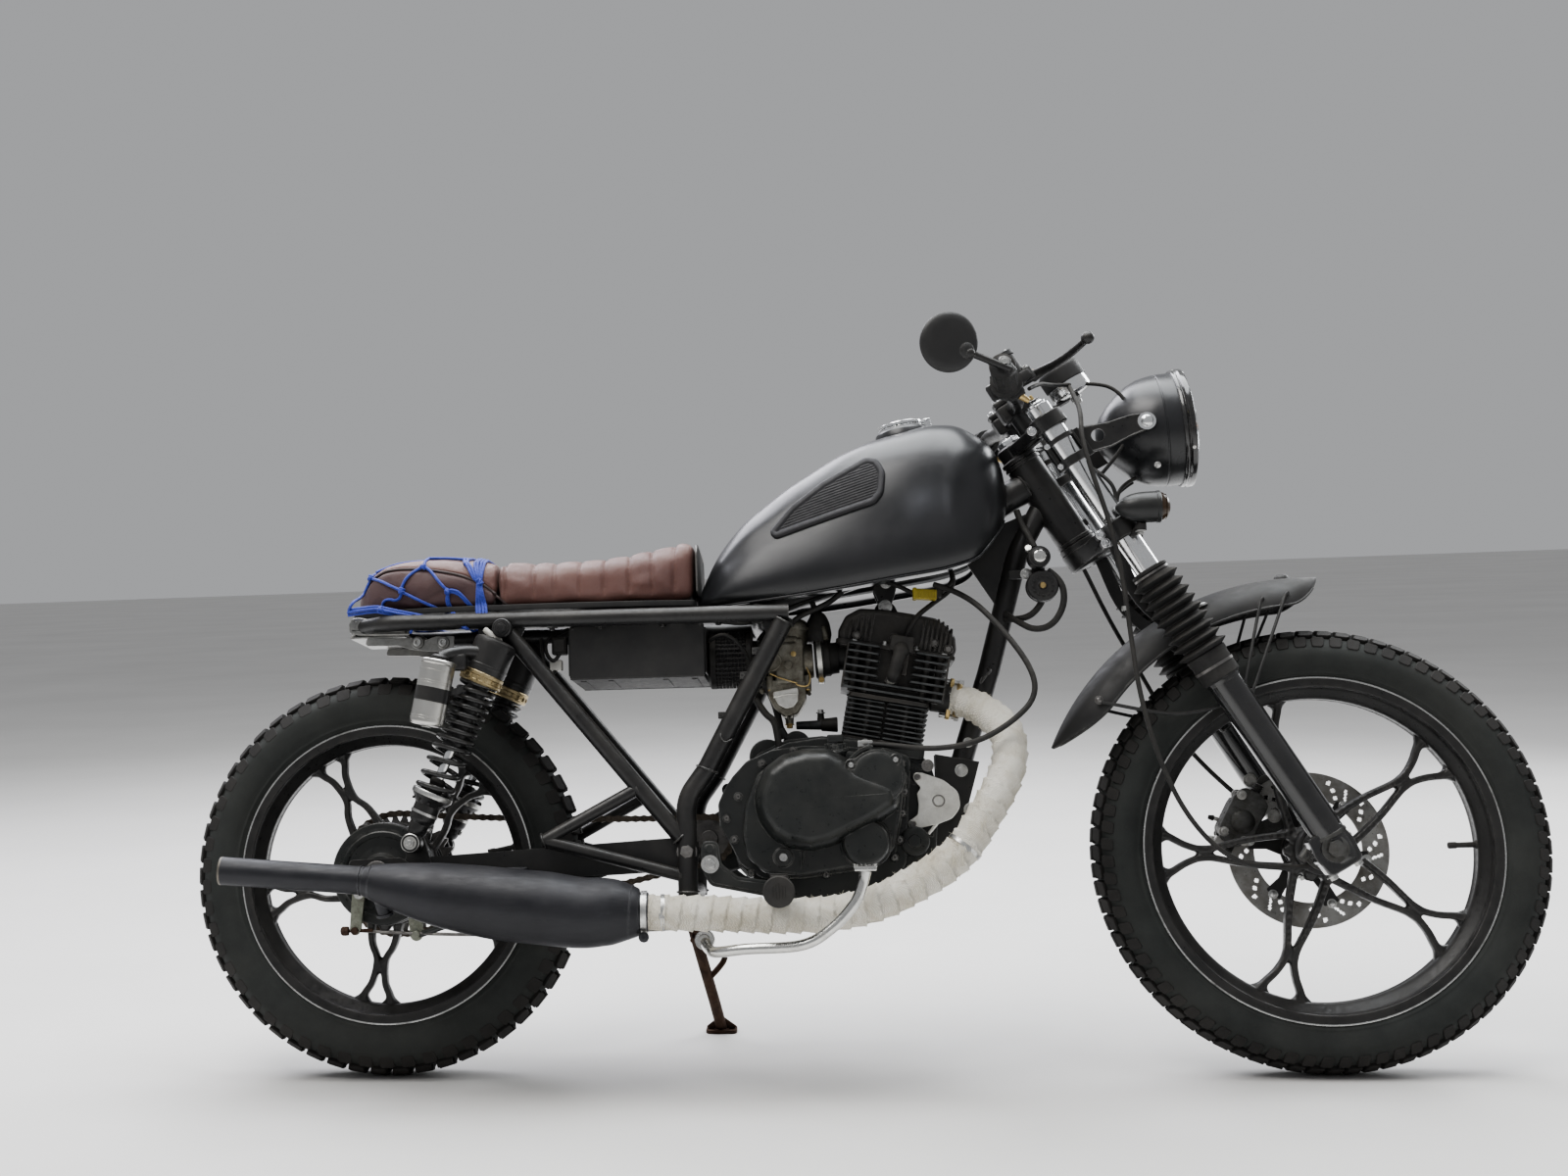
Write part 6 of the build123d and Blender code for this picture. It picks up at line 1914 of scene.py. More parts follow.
def bulge(poly, y0_, y1_, edge, top_in, n=9):
    rings = []
    for t in np.linspace(0, 1, n):
        a = t * pi / 2
        q = inset(poly, edge * (1 - cos(a)))
        y = y0_ + (y1_ - y0_) * sin(a)
        rings.append([(x, y, z) for x, z in q])
    q = inset(poly, edge)
    c = q.mean(0)
    for f in (0.7, 0.35, 0.05):
        rings.append([(*(c + (p - c) * f)[:1], y1_ - 1.4 * (1 - f), (c + (p - c) * f)[1]) for p in q])
    cov.rings([[(x, y0_ + 6, z) for x, z in poly]] + rings, 0,
              caps=(False, True))


b_out = rounded([(545, 400), (558, 432), (584, 451), (616, 459), (650, 459), (672, 446), (688, 430), (726, 416),
                 (746, 404), (744, 372), (714, 352), (686, 338), (652, 322), (620, 315), (589, 320), (565, 335),
                 (550, 357), (544, 380)], 22, 4)
b_out = b_out[::-1] if area2(b_out) < 0 else b_out
b_out = resample(np.r_[b_out, b_out[:1]], 6.0)[:-1]
bulge(b_out, -112, -149.5, 21, 0)
# filter cover: round plate with three lobes
fc = (714, 416)
lob = []
for a in np.linspace(0, 2 * pi, 97)[:-1]:
    r_ = 38.5
    for x, z in ((679, 433), (740, 439), (713, 380)):
        ba = atan2(z - fc[1], x - fc[0])
        dd_ = (a - ba + pi) % (2 * pi) - pi
        r_ += 6.0 * np.exp(-(dd_ / 0.23) ** 2)
    lob.append((fc[0] + r_ * cos(a), fc[1] + r_ * sin(a)))
cov.slab(np.array(lob), -144.5, -110, 0, 3.4)
cov.lathe([(0, 147.3), (24, 147.0), (31, 146.2), (34, 144.8), (35, 140)], (fc[0], 0, fc[1]), (0, -1, 0), 64)
cov.lathe([(39.5, 140.5), (43.5, 140.5), (45, 138), (45, 118)], (fc[0] - 1, 0, fc[1]), (0, -1, 0), 64, a0=95,
          a1=265)
for x, z in ((679, 433), (740, 439), (713, 380)):
    cov.lathe([(0, 141.5), (7.5, 141.5), (8.4, 145.3), (7.4, 145.8), (5.2, 143.2), (0, 143.0)], (x, 0, z),
              (0, -1, 0), 28)
    cov.bolt((x, -143, z), (0, -1, 0), 3.9, 4.0, 1 if z > 400 else 2, "hex", False)
# lower round cover, a tangent bead, small cap with its ring
cov.lathe([(0, 137.5), (24, 137.2), (29, 136), (31.5, 133), (33.5, 124), (33.5, 108)], (696, 0, 327), (0, -1, 0), 64)
cov.lathe([(33.0, 121), (35.5, 121), (36.5, 119), (36.5, 110)], (696, 0, 327), (0, -1, 0), 64)
cov.lathe([(0, 121.5), (5.6, 121.5), (6.4, 120.5), (6.8, 119)], (582, 0, 308), (0, -1, 0), 28, 1)
cov.lathe([(7.4, 117), (7.4, 120.6), (12, 121.4), (14, 120.4), (14.6, 117)], (582, 0, 308), (0, -1, 0), 36)
cov.tube([(606, -120.0, 315), (606, -119.6, 292)], [1.8, 1.4], 10)
cov.tube([(611, -120.0, 315), (609, -119.6, 300)], [1.4, 1.2], 10)
cov.tube(catmull([(716, -121, 368), (728, -120, 371), (742, -118, 370)], 5), [1.6] * 11, 10)
# filler cap
cov.lathe([(17, -8), (17.6, -2), (17.6, 6), (16, 8), (13, 9)], (660, -108, 452), (0, -0.35, 1), 40)
cov.rod((660, -108, 455), (659, -111.5, 466), 14.6, 14.0, 36, b=2)
cov.box((659, -113, 472), (23, 7.4, 11), 0, 2.4)
for k in range(14):
    a = 2 * pi * k / 14
    c = np.array((659.5 + 14.3 * cos(a), -110 + 14.3 * sin(a), 461 + 1.5 * sin(a)))
    cov.rod(c - (0, 0, 4), c + (0, 0, 4), 1.6, n=8, b=0.5)
# cover screws
for x, z in ((556, 440), (600, 457), (521, 394), (514, 334), (536, 287), (584, 281), (640, 284), (700, 294),
             (735, 306), (743, 330), (748, 367), (752, 396), (750, 436), (726, 452), (504, 364)):
    cov.rod((x, -82, z), (x, -101.5, z), 6.6, 5.8, 20, b=1.0)
    cov.lathe([(0, 2.6), (3.2, 2.6), (3.9, 1.6), (4.0, -1)], (x, -101.5, z), (0, -1, 0), 20, 2)
    cov.lathe([(0, 0.9), (1.7, 0.9), (1.9, -0.2)], (x, -103.5, z), (0, -1, 0), 6, 0)
# arm of the clutch release with the cable's hook
cov.rod((700, -100, 452), (700, -126, 466), 6.5, 5.2, 20, b=1)
cov.box((700, -124, 463), (22, 6, 10), 1, 2)
piece("clutch_cover_castings", cov, [ENGINE, STEEL, DARKST], "frame", "clutch_cover", angle=32)

# silver teardrop plate and its pin, ahead of the cover
tdp = Shape()
td = rounded([(767, 413), (769, 424), (779, 424), (808, 413), (828, 396), (830, 374), (818, 359), (800, 352),
              (768, 345), (757, 347), (757, 356), (770, 365), (772, 380), (770, 395), (776, 403)],
             [5, 5, 5, 18, 18, 18, 14, 10, 5, 5, 5, 6, 14, 6, 3], 4)
tdp.slab(td, -64, -56, 0, 1.4)
tdp.lathe([(0, 65.4), (6.6, 65.4), (7.0, 64.4), (7.4, 63.4), (8.0, 63.4), (8.4, 64.5), (9.4, 64.2), (9.8, 63)],
          (800, 0, 384), (0, -1, 0), 36)
tdp.lathe([(7.6, 63.4), (8.9, 63.4), (8.9, 64.9), (7.6, 64.9)], (800, 0, 384), (0, -1, 0), 36, 1, closed=True)
for x, z in ((772, 418), (763, 352)):
    tdp.lathe([(3.6, 63.5), (5.2, 63.5), (6.2, 64.9), (5.4, 65.2), (3.6, 64.4)], (x, 0, z), (0, -1, 0), 24, 0)
    tdp.bolt((x, -63.4, z), (0, -1, 0), 4.0, 3.2, 1, "cap", False)
tdp.rod((797, -60, 353), (784, -61, 338), 2.6, 2.4, 14, b=0.7)
tdp.rod((764, -58, 352), (764, -12, 352), 5, n=16, mat=1)
tdp.rod((771, -58, 416), (771, -12, 416), 5, n=16, mat=1)
piece("silver_plate", tdp, [SILV, DARKST], "frame", angle=34)

# ----------------------------------------------------- carburettor
cb = Shape()
cb.rod((566, -12, 590), (632, -12, 592), 26, 25, 44, b=2)
cb.box((598, -14, 590), (42, 58, 66), 0, 5)
cb.lathe([(0, 46), (20, 46), (24, 43), (26.5, 36), (26.5, 16), (24, 12), (24, 0)], (600, -12, 606), (0, 0, 1), 48)
cb.lathe([(26.4, 30), (28.6, 30), (28.6, 34), (26.4, 34)], (600, -12, 606), (0, 0, 1), 48, closed=True)
cb.box((598, -30, 618), (26, 26, 16), 0, 4)
cb.rod((583, -12, 622), (583, -38, 622), 7.5, 6.5, 24, b=1.5)
cb.rod((613, -20, 610), (613, -42, 610), 6.0, 5.0, 20, b=1)
cb.box((574, -38, 588), (24, 8, 26), 0, 3.5)
cb.tube(catmull([(566, -42, 598), (580, -43.5, 600), (586, -43.5, 590), (578, -43, 578), (566, -42, 576)], 4),
        1.6, 8)
cb.rod((596, -36, 584), (596, -45.5, 584), 6.8, 6.2, 28, b=1)
cb.rod((604, -36, 600), (604, -44, 600), 4.6, 4.2, 20, b=1, mat=1)
cb.rod((588, -34, 606), (588, -42, 606), 4.0, 3.6, 18, b=0.8)
# float bowl with a polished face
bw = rounded([(566, 556), (622, 562), (620, 534), (608, 514), (590, 508), (574, 522), (566, 540)],
             [4, 4, 10, 10, 8, 10, 8], 4)
cb.slab(bw, -42, 16, 0, 4)
sd = rounded([(571, 545), (610, 552), (609, 531), (602, 522), (591, 520), (580, 526)], [4, 4, 8, 8, 8, 8], 4)
cb.slab(sd, -47.5, -40, 2, 2.6)
cb.tube([(574, -47.6, 537), (592, -48.2, 541), (609, -47.4, 542)], 1.3, 8, 2)
cb.prism(rounded([(-34, -33), (28, -33), (28, 24), (-34, 24)], 8), (599, -8, 558), (1, 0, 0), (0, 1, 0), -4, 4,
         0, 1.2)
for x, y in ((569, -38), (623, -38), (569, 12), (623, 12)):
    cb.rod((x, y, 549), (x, y, 569), 5, n=16, b=1)
    cb.bolt((x, y, 549), (0, 0, -1), 3.6, 3, 1, "dome", False)
cb.rod((595, -14, 512), (595, -14, 500), 6.6, 5.6, 20, b=1)
cb.bolt((595, -14, 500), (0, 0, -1), 4.6, 4.5, 1, "hex", True)
for x in (591, 599):
    cb.rod((x, -36, 512), (x, -41, 506), 2.8, 2.6, 12, b=0.6, mat=2)
cb.rod((618, -30, 548), (626, -36, 541), 3.0, 2.6, 12, b=0.6)
cb.rod((560, -30, 562), (552, -36, 560), 5.4, 4.6, 16, b=0.8)
cb.rod((562, -28, 551), (556, -34, 547), 4.4, 4.0, 16, b=0.8)
cb.tube(catmull([(606, -46, 556), (616, -48, 552), (624, -47, 554), (627, -44, 566), (622, -42, 580)], 5), 1.3, 8, 1)
cb.tube(catmull([(570, -44, 572), (582, -47, 566), (596, -48, 561), (608, -47, 557)], 5), 1.2, 8, 1)
# clamp and rubber boot to the head, boot to the filter
cb.lathe([(24.5, -7), (27, -6.4), (28.4, -4), (28.4, 4), (27, 6.4), (24.5, 7)], (641, -12, 594), (1, 0, 0.06), 48, 3)
cb.lathe([(28.3, -3.4), (29.6, -3.4), (29.6, 3.4), (28.3, 3.4)], (641, -12, 594), (1, 0, 0.06), 56, 2, closed=True)
cb.box((643, -14, 563), (9, 14, 9), 2, 1.4)
cb.bolt((643, -21, 563), (0, -1, 0), 4.0, 3, 1, "cap", False)
cb.lathe([(22, 0), (25.5, 1), (25.5, 9), (23, 12), (22, 22)], (646, -12, 594), (1, 0, 0.06), 44, 3)
cb.lathe([(24, 0), (27, 1), (27, 9), (24, 11)], (556, -12, 594), (1, 0, 0), 44, 3)
# tall black cap over the clamp
cpp = catmull([(638, -10, 618), (640, -10, 634), (640, -10, 652), (637, -10, 664)], 6)
cb.tube(cpp, np.interp(np.linspace(0, 1, len(cpp)), [0, 0.3, 0.55, 0.8, 1], [19, 20, 17, 12, 6]), 32, 3)
cb.tube(catmull([(637, -10, 660), (634, -10, 676), (626, -6, 690)], 5), 4.2, 14, 3)
cb.rod((648, -24, 640), (652, -28, 620), 5.0, 4.4, 16, b=1)
piece("carburettor_body", cb, [CARBM, BRASS, SILV, RUBBER], "frame", "carburettor", angle=36)

# pod filter: folded gauze between rubber ends
af = Shape()
prof = []
rings = []
for x, r0, dr in ((484, 38.0, 0.6), (488, 39.5, 1.6), (536, 39.5, 1.6), (540, 38.0, 0.6)):
    ring = []
    for k in range(144):
        a = 2 * pi * k / 144
        r_ = r0 + dr * (1 if k % 4 in (0, 1) else -1)
        ring.append((x, -12 + r_ * cos(a), 596 + r_ * sin(a)))
    rings.append(ring)
af.rings(rings, 0, caps=(True, True))
for x in range(490, 536, 5):
    af.lathe([(40.9, -0.45), (41.6, 0), (40.9, 0.45)], (x, -12, 596), (1, 0, 0), 72, 1, closed=True)
af.lathe([(0, -1.5), (30, -1.5), (38, -1), (41.6, 1.5), (41.6, 9), (40, 10), (38, 10)], (482.5, -12, 596), (1, 0, 0), 72, 2)
for r_ in (12, 22, 32):
    af.lathe([(r_ - 1.6, -2.8), (r_ + 1.6, -2.8), (r_ + 2.2, -1.2), (r_ - 2.2, -1.2)], (482.8, -12, 596), (1, 0, 0), 64,
             2, closed=True)
af.lathe([(38, 0), (41.8, 0), (41.8, 7), (36, 9), (28, 9.5), (27, 21), (25, 21)], (536, -12, 596), (1, 0, 0), 72, 2)
af.lathe([(27.0, 15), (28.2, 15), (28.2, 20), (27.0, 20)], (536, -12, 596), (1, 0, 0), 56, 3, closed=True)
GAUZE = paint("oiled gauze", (0.018, 0.018, 0.020), (0.035, 0.034, 0.034), 0.6, 0.12, dust=0.3, mottle=90, bump=0.6)
piece("pod_filter", af, [GAUZE, DARKST, RUBBER, STEEL], "frame", "air_filter", angle=34)

# loose bits around the engine: drain hose, breather, plug lead, connectors
cable("drain_hose", [(548, -36, 536), (560, -44, 514), (574, -52, 504), (578, -58, 480), (580, -60, 462)], 5.0,
      RUBBER, "frame", res=10, n=5)
cable("breather_hose", [(582, -22, 494), (576, -30, 530), (560, -34, 560), (548, -20, 600), (560, 0, 640),
                        (600, 10, 655)], 5.0, RUBBER, "frame", res=10, n=5)
cable("plug_lead", [cyl(4, 140, -56), cyl(10, 178, -58), (806, -40, 668), (836, -16, 690), (838, 0, 720),
                    (822, 6, 742)], 3.6, RUBBER, "frame", res=10, n=5)
cable("fuel_hose", [(590, -20, 630), (604, -44, 650), (640, -50, 664), (664, -44, 676), (676, -38, 688)], 4.0,
      RUBBER, "frame", res=10, n=5)
cn = Shape()
cn.box((795, -56, 678), (30, 18, 15), 0, 2.0, np.column_stack([unit((1, 0, -0.09)), (0, 1, 0), unit((0.09, 0, 1))]))
cn.box((779, -56, 679.5), (6, 20, 17), 0, 1.5)
cn.box((812, -56, 680), (10, 15, 14), 1, 2.0)
for k in range(4):
    cn.box((786 + k * 6.4, -65.2, 678 - k * 0.6), (2.0, 2.4, 11), 0, 0.6)
piece("yellow_connector", cn, [YELLOW, RUBBER], "frame", angle=34)
cable("connector_wires", [(816, -56, 681), (828, -50, 690), (836, -34, 704), (832, -14, 724)], 3.2, RUBBER, "frame",
      res=10, n=5)
cable("connector_wires_back", [(778, -56, 680), (762, -52, 690), (742, -40, 700), (716, -20, 712)], 3.2, RUBBER,
      "frame", res=10, n=5)
hg = Shape()
for sg in (-1, 1):
    hp = rounded([(724, 706), (756, 716), (754, 690), (748, 672), (740, 658), (730, 660), (728, 676), (722, 692)], 6)
    hg.slab(hp, sg * 16, sg * 20, 0, 0.8)
hg.bolt((738, -20, 667), (0, -1, 0), 7.0, 5.0, 1, "hex", True)
hg.bolt((738, 20, 667), (0, 1, 0), 7.0, 5.0, 1, "hex", True)
hg.rod((740, -20, 700), (740, 20, 700), 5, n=16)
hg.bolt((740, -20, 702), (0, -1, 0), 5.6, 4.5, 1, "hex", True)
piece("head_hanger", hg, [BLACK, STEEL], "frame", angle=34)
# ---------------------------------------------------------- exhaust
HDR = [(818, -22, 531.6), (829, -24, 528.5), (843, -34, 524.5), (858, -49, 517), (874, -68, 504),
       (888, -90, 488), (895, -106, 472), (896.5, -120, 451), (891, -134, 424), (875, -146, 391),
       (853, -153.6, 356), (827, -158.5, 318), (798, -160, 293), (785, -160, 284), (750, -159, 264.5),
       (714, -158, 247), (660, -157.8, 233), (600, -158, 229), (540, -158.4, 230), (486, -159.2, 232.6),
       (430, -162, 234.2), (385.5, -165, 235.2)]
hc = resample(catmull(HDR, 6), 2.0)
hs = np.r_[0, np.cumsum(np.linalg.norm(np.diff(hc, axis=0), axis=1))]
HL = hs[-1]


def hdr_r(s):
    return np.interp(s, [0, 14, 60, 200, 420, 640, HL - 40, HL], [19.5, 20.5, 21.2, 22.6, 23.2, 22.8, 22.8, 23.4])


def hdr_at(s):
    p = np.array([np.interp(s, hs, hc[:, k]) for k in range(3)])
    q = np.array([np.interp(min(s + 3, HL), hs, hc[:, k]) for k in range(3)])
    q2 = np.array([np.interp(max(s - 3, 0), hs, hc[:, k]) for k in range(3)])
    return p, unit(q - q2)


# a strip wound round the pipe: each turn laps over the one before
PITCH = 21.0
wrap = Shape()
NA = 46
prev = None
nrm = np.array((0.0, 1.0, 0.0))
rings, s = [], 0.0
S_list = np.arange(0, HL, 2.0)
for s in S_list:
    p, d = hdr_at(s)
    nrm = unit(nrm - d * float(nrm @ d))
    bi = np.cross(d, nrm)
    r0 = float(hdr_r(s))
    a = np.linspace(0, 2 * pi, NA + 1)[:-1]
    ph = (s / PITCH + a / (2 * pi)) % 1.0
    turn = np.floor(s / PITCH + a / (2 * pi))
    lap = 2.7 * (1 - ph) ** 1.4                       # ramp down to the next edge
    step = 0.8 * np.exp(-((ph - 0.02) / 0.035) ** 2)
    slack = 0.55 * np.sin(turn * 12.9 + a * 2 + 1.3 * np.sin(turn * 7.1)) + 0.35 * np.sin(a * 5 + turn * 3.7 + s / 9)
    weave = 0.16 * np.sin(a * 44 + s * 0.5) * np.sin(s * 1.75)
    r = r0 + lap + step + slack * 0.7 + weave
    rings.append(p + np.outer(np.cos(a) * r, nrm) + np.outer(np.sin(a) * r, bi))
wrap.rings(rings)
piece("header_wrap", wrap, [TAPE], "frame", "exhaust_header", angle=180, weighted=False)

# frayed edges and loose threads of the wrap
fray = Shape()
FRAY = paint("glass thread", (0.62, 0.58, 0.47), (0.80, 0.77, 0.68), 0.8, 0.05, dust=0.2, mottle=80)


def thread_(s, a, ln, hang, r=0.34, out=1.0):
    p, d = hdr_at(s)
    b = unit(np.array((0, -1.0, 0)) - d * d[1] * -1.0)
    c = np.cross(d, b)
    e = b * cos(a) + c * sin(a)
    r0 = float(hdr_r(s)) + 1.2
    q = [p + e * (r0 - 1.0)]
    v_ = unit(e * out + d * rng.uniform(-0.7, 0.7) + np.array((0, 0, -hang)))
    for k in range(4):
        v_ = unit(v_ + np.array((rng.uniform(-0.35, 0.35), rng.uniform(-0.2, 0.2), -0.35 * hang)))
        q.append(q[-1] + v_ * ln / 4)
    q = catmull(q, 2)
    fray.tube(q, np.linspace(r, r * 0.5, len(q)), 4)


for k in range(330):
    s = rng.uniform(20, HL - 12)
    s = np.floor(s / PITCH) * PITCH + rng.uniform(-1.5, 1.5)
    thread_(max(6, s - 0.0), rng.uniform(0, 2 * pi), rng.uniform(2.5, 6.5), 0.2, 0.26, 0.8)
for s0, n_, l0, l1 in ((276, 12, 10, 30), (330, 22, 10, 34), (392, 14, 8, 22), (560, 10, 6, 14)):
    for k in range(n_):
        thread_(s0 + rng.uniform(-14, 14), rng.uniform(-0.2, 1.3), rng.uniform(l0, l1), 1.1, 0.6, 0.5)
for k in range(26):
    thread_(HL - rng.uniform(4, 16), rng.uniform(0, 2 * pi), rng.uniform(5, 12), 0.2, 0.3, 0.4)
piece("wrap_threads", fray, [FRAY], "frame", angle=180, weighted=False)

# steel ties round the wrap
tie = Shape()
for s in (7.0, 318.0, HL - 30.0):
    p, d = hdr_at(s)
    r0 = float(hdr_r(s)) + 1.9
    tie.lathe([(r0 - 0.8, -2.6), (r0 + 0.6, -2.6), (r0 + 0.6, 2.6), (r0 - 0.8, 2.6)], p, d, 56, 0, closed=True)
    e = unit(np.cross(d, (0, 1, 0)))
    tie.box(p - np.array((0, 1, 0)) * (r0 + 1.0) * 0.9 + e * 4, (8, 4, 8), 0, 1.0)
piece("wrap_ties", tie, [STEEL], "frame")

# muffler: long drum with a swaged nose, seam welds, end cones
MUF = [(384.5, -166, 236, 30), (383, -166, 236, 32.6), (374, -166.3, 236.2, 36.5), (352, -167, 237, 44),
       (330, -168, 236.6, 47.2), (300, -169, 236, 49), (250, -170.2, 243, 50.8), (200, -171, 248.5, 50.4),
       (150, -171.6, 256, 48.4), (100, -172, 264, 43.6), (55, -172.2, 272.5, 36.2), (28, -172, 278, 30.0),
       (10, -172, 281.6, 25.2), (2, -172, 283, 22.4), (-4, -172, 284, 20.6)]
mu = Shape()
mq = catmull([list(p) for p in MUF], 7)
rings = []
for i, q in enumerate(mq):
    d = mq[min(i + 1, len(mq) - 1)][:3] - mq[max(i - 1, 0)][:3]
    d = unit(d) if i else unit((-1, 0, 0))
    b, c = basis(d, (0, 0, 1))
    a = np.linspace(0, 2 * pi, 73)[:-1]
    r = q[3] + 0.22 * np.sin(a * 3 + q[0] / 40) + 0.16 * np.sin(q[0] / 13 + a * 2)
    rings.append(q[:3] + np.outer(np.cos(a) * r, b) + np.outer(np.sin(a) * r, c))
mu.rings(rings, 0)


def weld(o, d, r, t=1.5, n=None):
    """Bead of overlapping runs round a tube."""
    b, c = basis(d)
    n = n or max(24, int(2 * pi * r / 2.6))
    path = [np.array(o) + (b * cos(2 * pi * k / n) + c * sin(2 * pi * k / n))
            * (r + 0.12 * rng.uniform(-1, 1)) for k in range(n)]
    rad = [t * (0.82 + 0.3 * (k % 2) + 0.08 * rng.uniform(-1, 1)) for k in range(n)]
    return path, rad


for (x, y, z, r) in ((372, -166.4, 236.3, 37.2), (6, -172, 282.2, 23.6)):
    pt, rd = weld((x, y, z), (-1, 0, 0.1), r, 1.0)
    mu.tube(pt, np.array(rd), 6, closed=True)
# inlet sleeve and a clamp
mu.lathe([(22.6, 0), (26.5, 0), (27.2, 1), (27.2, 13), (31.5, 17)], (396, -165.4, 235.6), (-1, -0.03, 0.02), 56, 0)
mu.lathe([(27.0, -4), (29.4, -4), (29.4, 4), (27.0, 4)], (390, -165.5, 235.7), (-1, -0.03, 0.02), 56, 1, closed=True)
for z_ in (-7, 7):
    mu.box((390, -165.3 + z_ * 0.2, 235.6 - 34), (8, 5, 13), 1, 1.0)
mu.rod((390, -182, 202), (390, -150, 202), 3.0, n=14, mat=1)
mu.bolt((390, -181, 202), (0, -1, 0), 5.0, 4.4, 0, "hex", True)
# hanger bracket inboard of the drum, and the small bracket seen under the tail
mu.box((206, -112, 278), (30, 6, 44), 0, 1.5)
mu.box((206, -128, 296), (30, 36, 5), 0, 1.2)
mu.bolt((206, -109, 286), (0, 1, 0), 6, 4.5, 1, "hex", True)
mu.rod((18, -168, 262), (24, -160, 236), 9.5, 9.5, 24, b=1.5)
mu.lathe([(0, 14), (9, 14), (12.5, 13), (12.5, 9), (6, 8.5)], (22, -163, 247), (0.2, 0.3, -1), 28, 0)
piece("muffler_body", mu, [MUFFLER, STEEL], "frame", "muffler", angle=40)

# tail pipe: open tube, slightly flared and worn at the lip
tp = Shape()
TA, TB = np.array((-3.0, -172, 284.1)), np.array((-212.0, -172, 301))
td_ = unit(TB - TA)
TLn = float(np.linalg.norm(TB - TA))
tp.lathe([(20.0, 0), (20.0, 60), (20.0, 120), (20.0, TLn - 8), (20.2, TLn - 3), (20.25, TLn - 1.2),
          (19.8, TLn - 0.2), (18.6, TLn), (17.9, TLn - 0.5), (17.5, TLn - 3), (17.5, 60), (0, 59.5)], TA, td_, 72, 0)
tp.lathe([(17.56, TLn - 2.6), (18.0, TLn - 0.6), (18.7, TLn + 0.12), (19.9, TLn - 0.1), (20.34, TLn - 1.3),
          (20.3, TLn - 3.4)], TA, td_, 72, 1)
pt, rd = weld(TA + td_ * 5, td_, 20.6, 0.9)
tp.tube(pt, np.array(rd), 6, closed=True)
WORNL = paint("worn lip", (0.10, 0.095, 0.085), (0.22, 0.20, 0.17), 0.5, 0.15, dust=0.2, mottle=60, metal=0.7)
piece("tail_pipe_tube", tp, [MUFFLER, WORNL], "frame", "tail_pipe", angle=40)
# ------------------------------------------------------- front end
AXv, FXv, YV = np.array(AX), np.array(FX), np.array((0.0, 1.0, 0.0))
STR = np.column_stack([FXv, YV, AXv])
stv = lambda f, y, t: np.array(st(f, y, t))
FO, FH = FORK_OFFSET, FORK_HALF


def hull2(pts):
    p = sorted(map(tuple, np.round(pts, 4)))
    def half(q):
        o = []
        for a in q:
            while len(o) > 1 and ((o[-1][0] - o[-2][0]) * (a[1] - o[-2][1])
                                  - (o[-1][1] - o[-2][1]) * (a[0] - o[-2][0])) <= 0:
                o.pop()
            o.append(a)
        return o[:-1]
    return np.array(half(p) + half(p[::-1]))


def circ(x, y, r, n=40):
    a = np.linspace(0, 2 * pi, n + 1)[:-1]
    return np.column_stack([x + r * np.cos(a), y + r * np.sin(a)])


yk = Shape()
for t0, t1, r0, r1, up in ((686, 708, 24, 25.5, True), (502, 530, 29.5, 27.5, False)):
    th = t1 - t0
    for sg in (-1, 1):
        arm = hull2(np.vstack([circ(4, sg * 6, r0 * 0.80), circ(FO - 3, sg * (FH - 6), r1 * 0.66)]))
        yk.prism(arm, stv(0, 0, t0), FXv, YV, 3, th - 3, 0, 2.2)
        web = hull2(np.vstack([circ(14, sg * 16, 9), circ(FO - 4, sg * (FH - 22), 8)]))
        yk.prism(web, stv(0, 0, t0), FXv, YV, 0, th, 0, 1.5)
        c = stv(FO, sg * FH, t0)
        yk.lathe([(17.6, -0.5), (r1 - 2.2, -0.5), (r1, 1.5), (r1, th - 1.5), (r1 - 2.2, th + 0.5), (17.6, th + 0.5)],
                 c, AXv, 56, 0, closed=True)
        # pinch slot and bolts, facing back
        for k in ((0.5,) if up else (0.26, 0.74)):
            b = c + AXv * th * k - FXv * (r1 + 2.5)
            yk.box(b + FXv * 1.5, (13, 24, 15 if up else 11), 0, 2.5, STR)
            yk.bolt(b + np.array((0, sg * 12.2, 0)) , (0, sg, 0), 4.6, 5.2, 1, "cap", True)
    yk.lathe([(0, -1), (r0 - 3, -1), (r0, 2), (r0, th - 2), (r0 - 3, th + 0.6), (0, th + 0.6)], stv(0, 0, t0), AXv, 48, 0)
# stem nut, bearing cups, risers with their caps
yk.lathe([(0, 12.6), (9, 12.6), (12, 11.4), (13, 9), (13, 2.6), (19, 2.4), (19, 0)], stv(0, 0, 708), AXv, 48, 1)
yk.bolt(stv(0, 0, 709), AXv, 16.5, 9.0, 1, "hex", False)
yk.rod(stv(0, 0, 530), stv(0, 0, 690), 12, n=32)
yk.lathe([(25, 0), (28, 1), (28, 6), (25.5, 8)], stv(0, 0, 680), AXv, 48, 0, closed=False)
yk.lathe([(25, -1), (28.4, 0), (28.4, 6), (25.5, 8)], stv(0, 0, 530), AXv, 48, 0)
for sg in (-1, 1):
    yk.rod(stv(25, sg * 42, 704), stv(25, sg * 42, 742), 12.5, 13.5, 32, b=1.5)
    yk.box(stv(25, sg * 42, 745), (46, 25, 26), 0, 4, STR)
    yk.box(stv(25, sg * 42, 762.5), (46, 24, 9), 0, 3, STR)
    for f in (9, 41):
        yk.bolt(stv(f, sg * 42, 766.5), AXv, 4.6, 5.4, 1, "cap", False)
piece("fork_yoke_castings", yk, [BLACK, CHROME, STEEL], "steering", "fork_yokes", angle=34)

